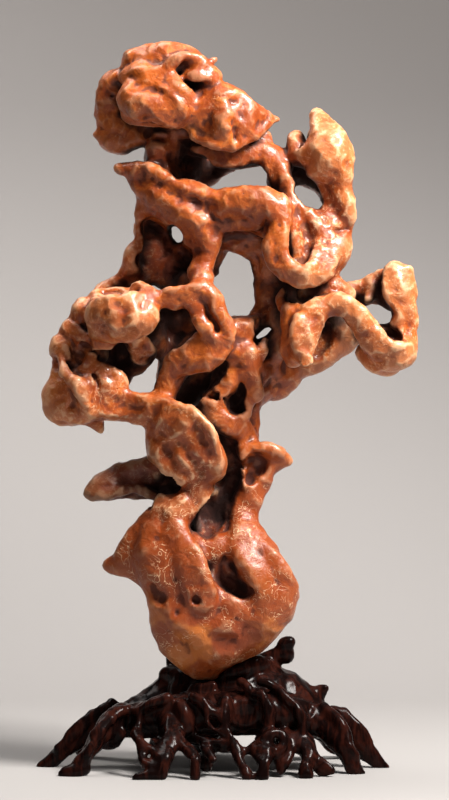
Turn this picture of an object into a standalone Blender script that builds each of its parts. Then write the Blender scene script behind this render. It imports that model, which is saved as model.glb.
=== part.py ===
"""Scholars rock standing in the socket of a carved root-wood stand.

Frame: metres, +Z up, origin on the floor under the middle of the object,
+X to the viewer's right, the show side facing -Y.

Both pieces are modelled like clay.  Runs of balls follow smooth routes, a voxel
remesh fuses them, a smooth pass melts the joints, and a second set of balls is
cut away for the openings, hollows and pits.  A station is (x, y, z, radius) in
design units, and the number before a run is its depth along Y over its width.
"""
import math

import bmesh
import bpy
from mathutils import Matrix, Vector, noise

# Driving dimensions, metres
OVERALL_HEIGHT = 0.508        # feet to the crown of the cap
DESIGN_HEIGHT = 508.0         # the same height in design units
UNIT = OVERALL_HEIGHT / DESIGN_HEIGHT
ROCK_VOXEL = 0.0024
STAND_VOXEL = 0.0018
FILLET_SWELL = 0.0006         # makes up for what the smooth pass takes off
BALL_SPACING = 0.45           # step along a run over the local radius
SOCKET_GAP = 0.0004           # clearance between the rock and its socket
ROCK_TRIANGLES = 6000
STAND_TRIANGLES = 3400
ROCK_FILLET = 8                # smoothing passes on the stone
STAND_FILLET = 7
FLOOR_TRIM = 0.03             # depth of the block that trims the feet flat

# Weathering of the stone, metres: slow swells, then bowls and dents that meet at crests
SWELL_LENGTH = 0.022
SWELL_HEIGHT = 0.0010
BOWL_LENGTH = 0.018
BOWL_HEIGHT = 0.0030
BOWL_SHIFT = Vector((0.1, 0.2, 0.3))
DENT_LENGTH = 0.0075
DENT_HEIGHT = 0.0014
CREST = 0.32                  # height of the crests over the mean, share of the depth
CALM_LOW = 0.150              # below this height the stone is worn smoother
CALM_HIGH = 0.185
CALM_SHARE = 0.50

# Carving of the stand, metres: flutes drawn out down the roots
FLUTE_LENGTH = 0.010
FLUTE_HEIGHT = 0.0016
FLUTE_STRETCH = 0.45

# Colours, linear
STONE_COLOUR = (0.40, 0.13, 0.045, 1.0)
WOOD_COLOUR = (0.020, 0.008, 0.006, 1.0)

# Cap at the top: a blunt muzzle, a crown, a pleated shell and the wall behind them.
HEAD = {
    "head_core": (1.2, [
        (-66, 6, 473, 13.5), (-52, 2, 471, 19), (-37, 0, 470, 21), (-21, -2, 466, 19.5),
        (-7, -2, 460, 14.5)]),
    "head_core_low": (1.1, [
        (-59, 2, 453, 11), (-45, 2, 449, 12.5), (-28, 0, 449, 12.5), (-14, -2, 447, 10.5)]),
    "head_dome": (1.1, [
        (-59, 14, 482, 12.5), (-42, 16, 482, 15.5), (-24, 12, 477, 14), (-7, 8, 469, 11)]),
    "head_muzzle": (0.8, [
        (-62, -27, 466, 12), (-54, -32, 466, 13), (-43, -33, 464, 13), (-33, -32, 462, 11.5),
        (-24, -28, 460, 9)]),
    "head_muzzle_top": (0.8, [
        (-65, -28, 474, 6), (-57, -31, 476, 6), (-48, -32, 473, 6), (-39, -33, 472, 5.5),
        (-31, -33, 471, 5), (-24, -32, 467, 4.5), (-18, -29, 463, 4)]),
    "head_tier": (0.85, [
        (-67, -17, 482, 6.5), (-57, -26, 484, 7.5), (-48, -31, 482, 7.5), (-40, -33, 480, 6.5),
        (-35, -33, 478, 5)]),
    "head_crown": (0.95, [
        (-52, -12, 494, 12), (-43, -18, 494, 12.5), (-34, -19, 493, 12), (-25, -19, 494, 9.5),
        (-19, -18, 491, 7)]),
    "head_knob": (1, [(-61, -10, 496, 8), (-67, -8, 493, 6)]),
    "head_arch": (0.9, [
        (-46, -35, 480, 3.5), (-40, -34, 488, 3.5), (-34, -34, 494, 3.5), (-27, -33, 497, 3.5),
        (-20, -32, 496, 3.5), (-16, -29, 492, 3.5)]),
    "head_bar": (0.9, [
        (-27, -31, 482, 3), (-21, -34, 482, 3), (-15, -34, 481, 3.5), (-9, -29, 481, 3.5)]),
    "head_spike": (1, [(-13, -14, 489, 4), (-9, -14, 493, 2.5), (-5, -13, 496, 1.5)]),
    "head_back_bumps": (1, [
        (-75, -8, 483, 5), (-83, -6, 475, 4.5), (-85, -4, 468, 4.5), (-83, -6, 459, 4.5),
        (-80, -4, 452, 4)]),
    "head_snout": (1, [(-84, 0, 443, 6.5), (-89, 0, 443, 3.5)]),
    "head_jaw": (0.95, [(-78, 0, 440, 10), (-70, -2, 440, 10), (-62, -4, 442, 8.5)]),
    "shell_base": (0.8, [
        (-12, -20, 468, 12), (-2, -24, 463, 14.5), (9, -22, 459, 13), (20, -16, 455, 9)]),
    "shell_base_low": (0.8, [
        (-15, -21, 450, 10.5), (-7, -26, 447, 12), (3, -27, 446, 12), (12, -23, 448, 10.5),
        (20, -17, 450, 7)]),
    "head_bar_bed": (0.9, [(-23, -24, 487, 5.5), (-16, -24, 486, 5.5), (-10, -20, 483, 5)]),
    "head_pink": (0.9, [(-20, -27, 490, 6), (-14, -28, 487, 6), (-8, -24, 483, 6)]),
    "head_left": (1, [
        (-72, -2, 482, 7.5), (-78, 0, 475, 10.5), (-80, 0, 464, 10), (-79, 0, 454, 10),
        (-72, -2, 447, 10)]),
    "shell_crest_a": (0.9, [
        (-9, -23, 476, 5), (-11, -27, 469, 5.5), (-13, -30, 460, 6), (-16, -29, 452, 6),
        (-19, -25, 445, 5.5)]),
    "shell_crest_b": (0.9, [
        (-2, -26, 469, 5.5), (-1, -31, 460, 6.5), (0, -34, 452, 7), (0, -33, 444, 6.5),
        (0, -28, 438, 5)]),
    "shell_crest_c": (0.9, [
        (11, -22, 468, 5.5), (14, -26, 461, 6), (16, -28, 454, 6), (15, -26, 447, 5.5),
        (13, -22, 442, 4.5)]),
    "shell_crest_d": (0.9, [(22, -18, 459, 5), (23, -19, 452, 4.5)]),
    "shell_tip": (0.9, [(27, -16, 456, 4), (32, -14, 454, 2.5), (37, -12, 453, 1.5)]),
    "head_muzzle_low": (0.8, [
        (-63, -22, 458, 8.5), (-53, -28, 456, 9), (-42, -29, 456, 9), (-31, -27, 455, 8.5),
        (-21, -24, 454, 7)]),
    "head_cheek": (0.8, [(-67, -30, 463, 6), (-63, -34, 469, 7), (-59, -36, 460, 7.5)]),
    "head_brow": (0.8, [
        (-42, -36, 475, 4), (-36, -37, 475, 4.5), (-30, -37, 473, 4), (-25, -36, 469, 3.5)]),
    "head_underlip": (0.8, [(-54, -31, 453, 5.5), (-46, -32, 451, 5.5), (-38, -31, 451, 5.5)]),
    "shell_hem": (0.9, [
        (-21, -28, 441, 3.5), (-13, -31, 438, 3.5), (-4, -33, 434, 3.5), (4, -32, 434, 3.5),
        (12, -30, 437, 3.5), (20, -25, 441, 3), (26, -20, 446, 3), (32, -16, 450, 2.5)]),
}

# Neck below the cap and the strand that leaves it to the right.
NECK = {
    "neck": (1.1, [(-40, 2, 446, 14), (-42, 2, 434, 12.5), (-43, 2, 425, 12), (-41, 0, 415, 11)]),
    "neck_back": (1, [
        (-24, 12, 446, 12), (-23, 14, 432, 10.5), (-28, 12, 417, 10), (-33, 10, 404, 10.5)]),
    "neck_front": (0.9, [
        (-45, -12, 439, 7), (-48, -10, 431, 6.5), (-46, -8, 423, 5.5), (-42, -10, 417, 5.5)]),
    "strand_top": (0.9, [
        (-24, 0, 436, 6.5), (-14, -6, 433, 6.5), (-5, -10, 429, 7.5), (5, -12, 429, 7.5),
        (15, -12, 432, 7.5), (23, -10, 431, 7.5), (33, -8, 428, 6.5), (43, -4, 425, 7)]),
    "strand_rim": (0.9, [
        (-13, -14, 426, 2.5), (-6, -17, 422, 2.5), (2, -18, 421, 2), (9, -18, 424, 2),
        (18, -16, 426, 2), (25, -12, 425, 3), (30, -8, 419, 3.5), (33, -6, 412, 3.5)]),
    "strand_back": (0.9, [(5, 4, 425, 5.5), (15, 5, 427, 7), (23, 5, 427, 7)]),
    "strand_bulge": (1, [(22, -10, 442, 4), (27, -8, 443, 3.5), (30, -6, 438, 4)]),
    "h1_back": (0.8, [
        (-34, 20, 427, 10.5), (-26, 21, 421, 11.5), (-17, 21, 417, 10.5), (-9, 19, 417, 7.5),
        (0, 15, 421, 5.5), (7, 10, 425, 5)]),
    "strand_top_sheet": (0.6, [
        (-18, -12, 430, 7.5), (-9, -14, 428, 8.5), (2, -15, 428, 8.5), (14, -14, 429, 8.5),
        (23, -12, 430, 8.5)]),
    "strand_top_sheet_r": (0.6, [
        (26, -12, 429, 7.5), (33, -13, 423, 8.5), (39, -14, 414, 8.5), (43, -15, 405, 7.5)]),
}

# Horned plate, its column and the walled cave beneath it.
PLATE = {
    "horn_up": (0.9, [
        (-73, -12, 419, 4.5), (-65, -13, 418, 5), (-56, -15, 417, 6.5), (-47, -18, 413, 7),
        (-38, -21, 407, 7), (-30, -23, 401, 6.5)]),
    "horn_rim": (0.9, [
        (-60, -18, 422, 2), (-52, -22, 420, 2.5), (-43, -26, 416, 2.5), (-36, -28, 411, 2.5),
        (-29, -29, 404, 2.5), (-24, -29, 399, 2.5)]),
    "plate_mid": (0.8, [
        (-66, -9, 415, 4), (-57, -13, 408, 6.5), (-49, -17, 402, 8.5), (-40, -20, 396, 9.5),
        (-30, -23, 389, 10.5), (-21, -25, 382, 10), (-14, -27, 373, 9), (-11, -27, 364, 7.5),
        (-13, -27, 354, 6.5), (-15, -28, 344, 6)]),
    "plate_low": (0.8, [
        (-55, -6, 403, 6.5), (-53, -8, 395, 6.5), (-46, -12, 392, 7), (-38, -16, 388, 7.5),
        (-30, -19, 382, 7.5), (-23, -22, 373, 7), (-18, -24, 363, 5.5), (-18, -25, 354, 5),
        (-20, -26, 345, 5.5)]),
    "plate_crest": (0.9, [
        (-28, -24, 408, 4), (-19, -27, 404, 4.5), (-10, -29, 400, 4.5), (-2, -29, 396, 4)]),
    "plate_right": (0.9, [(-14, -24, 391, 9), (-8, -24, 382, 7.5), (-7, -23, 372, 6.5)]),
    "cave_rim": (1, [
        (-57, -4, 392, 5.5), (-58, -4, 385, 4), (-59, -3, 376, 3.5), (-60, -1, 367, 4),
        (-64, 0, 359, 6.5), (-65, 2, 352, 6.5), (-68, 4, 345, 5), (-77, 4, 339, 4), (-86, 4, 334, 4),
        (-91, 0, 329, 4)]),
    "cave_roof": (0.9, [
        (-51, 2, 393, 8.5), (-41, 6, 388, 9), (-31, 8, 381, 9), (-23, 6, 372, 8.5),
        (-16, 2, 362, 7.5), (-13, 0, 353, 6.5), (-14, -2, 343, 6.5)]),
    "cave_wall": (0.7, [
        (-54, 15, 381, 9), (-52, 16, 368, 10.5), (-50, 16, 355, 11.5), (-40, 16, 350, 12.5),
        (-27, 16, 354, 12), (-17, 12, 365, 11), (-13, 8, 379, 11)]),
    "cave_wall_mid": (0.6, [
        (-45, 18, 382, 10.5), (-34, 18, 375, 11.5), (-28, 17, 365, 11.5), (-40, 18, 362, 11.5)]),
    "cave_floor": (0.9, [
        (-63, 6, 337, 6.5), (-55, 12, 344, 6.5), (-41, 12, 341, 7), (-30, 6, 338, 7.5),
        (-21, -4, 339, 7)]),
    "cave_side": (1, [(-4, -10, 371, 7.5), (-5, -6, 361, 7), (-9, -2, 353, 6.5), (-12, 0, 345, 5.5)]),
    "column_foot": (0.9, [(-15, -30, 344, 7), (-15, -34, 338, 7), (-13, -36, 333, 5.5)]),
    "plate_fold": (0.8, [
        (-52, -18, 407, 5.5), (-45, -24, 400, 6), (-36, -28, 393, 6), (-27, -30, 387, 6),
        (-18, -31, 382, 7)]),
    "plate_rim_crisp": (0.9, [
        (-29, -30, 407, 2), (-24, -33, 404, 2), (-17, -33, 401, 2), (-9, -33, 398, 2),
        (-2, -33, 394, 2)]),
}

# Hood, the lip that hangs from it in a loop and the wall behind the tall opening.
FUNNEL = {
    "hood": (0.85, [
        (-9, -25, 393, 9.5), (1, -29, 394, 10.5), (11, -32, 395, 10.5), (21, -34, 396, 10.5),
        (29, -35, 394, 10.5), (36, -36, 389, 8.5)]),
    "hood_low": (0.8, [
        (-7, -22, 384, 7.5), (2, -25, 384, 8.5), (12, -27, 385, 9), (22, -29, 386, 9),
        (30, -31, 384, 8)]),
    "lip": (0.85, [
        (38, -34, 394, 7), (39, -36, 386, 6), (36, -38, 376, 6), (33, -39, 366, 6.5),
        (34, -40, 358, 6.5), (39, -40, 351, 7), (47, -40, 344, 6.5), (57, -40, 342, 6.5),
        (65, -38, 344, 6.5), (72, -35, 351, 6.5), (74, -31, 362, 5.5), (72, -28, 371, 5)]),
    "hood_wall": (0.7, [
        (-2, -14, 378, 9), (8, -14, 375, 10.5), (18, -12, 371, 10.5), (27, -10, 362, 10.5),
        (30, -8, 351, 10.5), (32, -6, 340, 11), (32, -6, 329, 10.5), (29, -4, 319, 9),
        (23, -4, 311, 7)]),
    "hood_back": (0.7, [
        (0, 8, 380, 10), (14, 8, 380, 11), (26, 8, 373, 11), (33, 8, 361, 11), (36, 6, 347, 11),
        (36, 4, 333, 10.5), (33, 4, 320, 9)]),
    "funnel_back": (0.8, [
        (46, -4, 387, 7), (46, -6, 375, 8.5), (47, -10, 362, 8.5), (55, -14, 355, 8.5),
        (62, -8, 364, 7.5), (63, -4, 375, 7)]),
    "hood_mid": (0.7, [(0, -20, 382, 7), (11, -22, 382, 7.5), (22, -23, 382, 7.5), (30, -24, 378, 7)]),
    "lip_edge": (0.9, [
        (43, -38, 388, 3.5), (41, -41, 377, 3.5), (40, -43, 366, 3.5), (41, -44, 357, 4),
        (46, -44, 351, 4), (53, -44, 347, 3.5), (60, -42, 351, 3.5), (63, -38, 360, 3)]),
    "funnel_left": (0.8, [
        (44, -22, 386, 5.5), (45, -24, 376, 6), (45, -26, 366, 7.5), (49, -28, 357, 7.5)]),
    "funnel_floor": (0.9, [(52, -31, 352, 7), (59, -31, 354, 6)]),
    "hood_apron": (0.8, [
        (-3, -12, 375, 8.5), (5, -12, 372, 10), (14, -11, 369, 10), (23, -10, 364, 9)]),
    "hood_crest": (0.8, [
        (1, -35, 399, 3), (11, -38, 401, 3), (20, -40, 402, 3), (29, -40, 399, 3), (36, -40, 395, 3)]),
    "funnel_scoop": (0.6, [
        (47, -19, 387, 7.5), (50, -21, 378, 9), (54, -23, 368, 9.5), (54, -26, 359, 8.5)]),
    "funnel_fold": (0.8, [
        (44, -28, 391, 3.5), (47, -31, 382, 3.5), (48, -33, 372, 3.5), (51, -35, 362, 3.5)]),
}

# Peaked lobe on the upper right and its diagonal strand.
LOBE = {
    "lobe_tip": (1, [(64, -4, 459, 3.5), (67, -9, 452, 6.5)]),
    "lobe_mass": (0.85, [
        (67, -12, 449, 7.5), (71, -17, 440, 12), (72, -21, 430, 15), (68, -19, 421, 12.5),
        (78, -20, 423, 10.5), (59, -17, 427, 9.5)]),
    "lobe_back": (1, [
        (65, 4, 443, 7), (72, 4, 431, 10.5), (77, 2, 418, 8.5), (79, 2, 404, 7.5), (81, 2, 390, 8.5),
        (78, 0, 376, 9), (72, -2, 362, 10), (63, -4, 354, 9)]),
    "lobe_left": (0.9, [(51, -4, 441, 5.5), (51, -8, 433, 6.5), (55, -12, 426, 7)]),
    "lobe_left_rib": (1, [(48, -8, 442, 3), (47, -12, 435, 3), (48, -14, 428, 3)]),
    "lobe_rim": (0.9, [
        (83, -19, 433, 6.5), (83, -22, 421, 6.5), (82, -22, 412, 6.5), (82, -21, 403, 6.5),
        (84, -21, 394, 6.5), (86, -20, 386, 6), (87, -18, 380, 4)]),
    "lobe_web": (0.8, [
        (76, -4, 415, 8.5), (78, -3, 404, 8.5), (80, -3, 393, 9), (79, -4, 383, 8.5),
        (71, -6, 383, 6.5), (63, -7, 384, 5)]),
    "lobe_low": (0.9, [(77, -17, 371, 9), (79, -20, 363, 9.5), (75, -25, 355, 9), (72, -27, 348, 7.5)]),
    "h2_top": (0.9, [(46, 4, 421, 7), (54, 8, 418, 8.5), (64, 8, 414, 8.5)]),
    "strand_diag_rim": (0.9, [
        (37, -17, 423, 3.5), (42, -20, 413, 3.5), (47, -22, 403, 3.5), (52, -24, 394, 3.5),
        (59, -26, 386, 3.5), (64, -28, 378, 4), (66, -30, 368, 4.5), (67, -34, 359, 5),
        (66, -37, 351, 4.5)]),
    "strand_fold": (0.9, [
        (42, -19, 401, 4), (45, -22, 393, 5), (48, -24, 384, 5.5), (50, -25, 375, 6),
        (51, -26, 366, 6), (51, -28, 359, 5.5)]),
    "strand_diag": (0.9, [
        (28, -8, 427, 7), (34, -10, 419, 8), (39, -12, 410, 8.5), (44, -14, 401, 8),
        (51, -16, 393, 7), (58, -18, 385, 6.5), (64, -20, 378, 6.5), (68, -22, 370, 7)]),
    "h2_back": (0.8, [(47, 12, 423, 10.5), (55, 14, 417, 12), (64, 13, 410, 10.5), (73, 11, 401, 7.5)]),
    "lobe_low_crest": (0.9, [(81, -24, 371, 4), (79, -27, 362, 4.5), (74, -31, 354, 4.5)]),
    "lobe_band": (0.6, [
        (75, -16, 421, 12), (77, -16, 410, 11.5), (79, -16, 398, 11), (81, -17, 387, 10),
        (81, -17, 378, 8.5)]),
    "lobe_skirt": (0.7, [
        (73, -18, 385, 8.5), (72, -22, 375, 9), (73, -25, 366, 9), (70, -28, 357, 8.5)]),
}

# Arm on the right: an arched limb, the loop at its end and the wall under it.
ARM = {
    "rough_neck": (0.9, [
        (57, -20, 332, 6.5), (66, -24, 334, 7.5), (76, -24, 335, 8), (84, -22, 332, 6.5)]),
    "rough_back": (0.9, [(51, -4, 336, 9), (65, 0, 334, 9), (78, 0, 335, 7)]),
    "arch": (0.9, [
        (53, -42, 291, 7.5), (54, -42, 299, 9.5), (56, -40, 307, 10.5), (60, -38, 316, 9.5),
        (67, -38, 322, 8), (77, -38, 325, 7.5), (85, -37, 322, 7.5), (92, -36, 316, 8),
        (97, -34, 308, 8.5), (104, -32, 300, 9.5), (110, -30, 293, 10.5), (118, -28, 290, 12),
        (124, -26, 292, 9.5), (127, -24, 296, 6)]),
    "arch_left": (0.9, [
        (47, -32, 321, 7), (46, -33, 311, 7), (45, -34, 301, 6.5), (45, -34, 292, 6),
        (48, -34, 286, 5)]),
    "arch_ridge": (0.9, [
        (65, -42, 315, 4), (70, -42, 323, 4), (78, -42, 327, 4), (87, -41, 326, 4),
        (94, -40, 319, 4), (100, -38, 311, 4), (107, -38, 303, 4), (113, -38, 297, 4),
        (120, -38, 295, 3.5), (127, -33, 295, 3.5)]),
    "arch_foot": (0.9, [(100, -20, 291, 8.5), (107, -20, 285, 8.5), (114, -20, 283, 7.5)]),
    "socket_rim": (1, [
        (51, -50, 283, 1.5), (56, -52, 282, 1.5), (60, -50, 285, 1.5), (58, -50, 289, 1.5),
        (55, -50, 290, 1.5)]),
    "loop": (0.9, [
        (128, -22, 298, 6.5), (127, -18, 306, 6.5), (126, -18, 315, 7.5), (123, -19, 325, 9),
        (121, -19, 335, 9.5), (120, -17, 344, 8.5), (119, -15, 348, 6.5)]),
    "loop_rim": (0.9, [
        (116, -18, 349, 3), (113, -22, 341, 3), (113, -25, 332, 3), (117, -26, 324, 3),
        (122, -25, 317, 3), (123, -25, 308, 3), (122, -27, 301, 3)]),
    "web": (0.8, [
        (85, -8, 333, 5.5), (93, -4, 334, 5.5), (100, -2, 336, 6), (107, -2, 339, 7),
        (114, -6, 343, 7)]),
    "web_low": (0.7, [(92, 0, 329, 7), (100, 0, 332, 7.5), (110, -2, 332, 8.5), (117, -8, 327, 7)]),
    "web_rim": (0.9, [(88, -8, 337, 2), (96, -6, 340, 2), (104, -6, 343, 2), (112, -8, 348, 2)]),
    "strut": (0.8, [(103, -8, 339, 3.5), (102, -9, 332, 4), (99, -14, 327, 3.5)]),
    "loop_pip": (1, [(119, -18, 318, 3), (119, -22, 314, 3), (116, -24, 310, 2.5)]),
    "under_arch": (0.95, [
        (88, 0, 304, 9), (80, 2, 299, 10.5), (70, 4, 294, 12.5), (60, 4, 287, 12), (50, 4, 281, 11),
        (42, 4, 273, 10.5), (35, 4, 267, 10)]),
    "under_arch_top": (0.8, [(66, 4, 315, 10), (77, 2, 315, 10), (88, -2, 312, 8.5)]),
    "under_arch_lit": (0.8, [(78, -8, 315, 5.5), (83, -8, 308, 5.5), (86, -6, 301, 5)]),
    "loop_floor": (0.8, [(109, -14, 302, 8.5), (117, -11, 302, 9), (124, -12, 307, 6.5)]),
    "rough_back_low": (0.8, [(47, 4, 327, 7.5), (55, 4, 322, 8.5), (66, 4, 321, 7.5)]),
    "loop_top": (0.8, [(114, -18, 348, 3.5), (121, -19, 350, 4), (128, -17, 348, 3.5)]),
    "loop_side": (0.8, [
        (128, -17, 344, 3.5), (130, -17, 334, 4), (130, -16, 325, 4), (131, -15, 314, 4)]),
    "arch_keel": (0.8, [
        (51, -46, 315, 3.5), (49, -48, 306, 3.5), (51, -50, 296, 3.5), (55, -50, 289, 3)]),
}

# Trunk between the arm and the cluster, with its thin ridges.
TRUNK = {
    "dark_hole_rim": (0.9, [(41, -26, 335, 3.5), (39, -26, 328, 3.5), (42, -28, 321, 4)]),
    "mid_right": (0.9, [
        (36, -10, 317, 7), (36, -8, 305, 7.5), (35, -8, 294, 8.5), (32, -4, 284, 9),
        (28, -4, 273, 9), (23, -4, 263, 9)]),
    "mid_facet": (0.8, [(26, -14, 281, 5.5), (28, -14, 273, 5.5), (26, -12, 265, 4)]),
    "thin_ridge": (0.9, [(29, -20, 302, 2), (27, -23, 295, 2.5), (27, -23, 288, 2)]),
    "junction": (0.9, [(0, -25, 306, 7), (7, -24, 305, 8.5), (14, -22, 307, 7.5), (20, -17, 312, 5.5)]),
    "junction_low": (0.9, [
        (5, -23, 296, 9), (11, -23, 291, 10.5), (15, -21, 283, 10.5), (16, -20, 275, 9.5),
        (16, -18, 266, 8.5)]),
    "knot": (0.9, [(11, -27, 293, 6), (17, -27, 290, 5.5), (7, -26, 288, 5.5)]),
    "ridge_a": (0.9, [
        (15, -26, 286, 4.5), (18, -27, 279, 4.5), (21, -26, 271, 4.5), (23, -23, 262, 4)]),
    "ridge_b": (0.9, [(7, -25, 282, 4.5), (4, -25, 274, 4.5), (1, -25, 266, 4.5), (-1, -25, 260, 4)]),
    "d13_rim": (0.9, [
        (-5, -22, 252, 4), (-2, -23, 246, 4.5), (5, -23, 243, 4.5), (12, -22, 246, 4),
        (15, -21, 254, 4), (16, -20, 261, 4)]),
    "column": (1, [
        (11, 0, 303, 14), (13, 2, 291, 14), (11, 2, 280, 14.5), (11, 2, 268, 14.5),
        (11, 2, 256, 13.5), (11, 2, 243, 12.5), (10, 2, 229, 12.5), (9, 2, 215, 12.5),
        (8, 2, 201, 12.5)]),
    "column_left": (0.9, [
        (0, -4, 274, 7.5), (-7, -10, 264, 9), (-12, -18, 254, 9), (-8, -20, 245, 9),
        (2, -20, 241, 8.5), (11, -17, 238, 8.5), (15, -14, 230, 7.5)]),
    "column_right": (0.9, [(18, -6, 254, 7), (18, -6, 244, 6.5), (16, -6, 233, 6.5)]),
    "mid_col": (0.9, [(-3, -4, 250, 11), (1, -4, 236, 11), (2, 0, 222, 11), (1, 4, 207, 11)]),
    "right_fill": (0.8, [(26, 2, 296, 10.5), (32, 0, 306, 10.5), (42, -2, 308, 9), (26, 2, 278, 10.5)]),
    "slot_back": (0.8, [(-37, 12, 255, 10), (-24, 14, 265, 11.5), (-12, 12, 277, 11), (0, 8, 288, 11)]),
    "slot_back2": (0.8, [(-37, 12, 277, 8.5), (-26, 12, 288, 10), (-14, 8, 296, 10)]),
    "ridge_b_bed": (0.9, [
        (4, -19, 282, 7.5), (1, -20, 273, 7.5), (-2, -21, 265, 7.5), (-5, -22, 258, 7)]),
    "column_flank": (1.1, [(-2, -6, 258, 9), (1, -6, 237, 9), (1, -4, 215, 8.5)]),
}

# Ring with the eye-shaped hollow and the leg that runs down from it.
EYE = {
    "eye_top": (0.9, [
        (-45, -38, 328, 6), (-38, -38, 328, 6.5), (-30, -38, 329, 7.5), (-22, -38, 331, 7),
        (-16, -38, 335, 5)]),
    "eye_rib_out": (0.9, [
        (-15, -39, 336, 5.5), (-9, -40, 330, 6), (-5, -40, 323, 6), (-2, -40, 315, 6),
        (1, -39, 308, 6), (1, -37, 301, 6)]),
    "eye_rib_in": (0.9, [
        (-22, -38, 326, 5), (-20, -40, 319, 5), (-16, -41, 311, 5), (-11, -41, 306, 5),
        (-7, -40, 301, 5)]),
    "eye_bed": (0.8, [
        (-13, -36, 329, 6), (-11, -37, 319, 7.5), (-8, -36, 310, 8.5), (-4, -34, 301, 8.5),
        (-11, -34, 297, 9)]),
    "eye_leg": (0.85, [
        (-8, -30, 296, 10), (-16, -31, 294, 11.5), (-25, -29, 288, 11.5), (-33, -26, 281, 10),
        (-38, -25, 271, 8), (-42, -26, 263, 7.5)]),
    "eye_back": (0.9, [
        (-44, 20, 316, 12), (-30, 26, 313, 14), (-15, 18, 312, 12.5), (-23, 24, 295, 12.5),
        (-37, 24, 295, 11.5)]),
    "eye_join": (0.9, [(-6, -24, 291, 7.5), (0, -22, 298, 7)]),
    "eye_back_left": (0.8, [(-55, 9, 312, 9), (-52, 9, 303, 10.5), (-50, 9, 295, 9)]),
    "eye_crown": (0.9, [
        (-38, -42, 333, 3.5), (-30, -44, 334, 3.5), (-22, -44, 335, 3.5), (-16, -42, 338, 3.5)]),
    "eye_body": (0.8, [
        (-2, -34, 301, 7.5), (-7, -36, 292, 8.5), (-14, -35, 286, 8.5), (-23, -33, 282, 7.5)]),
    "eye_back_low": (0.9, [(-40, 14, 277, 10), (-27, 16, 279, 10), (-13, 14, 285, 10)]),
}

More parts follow.
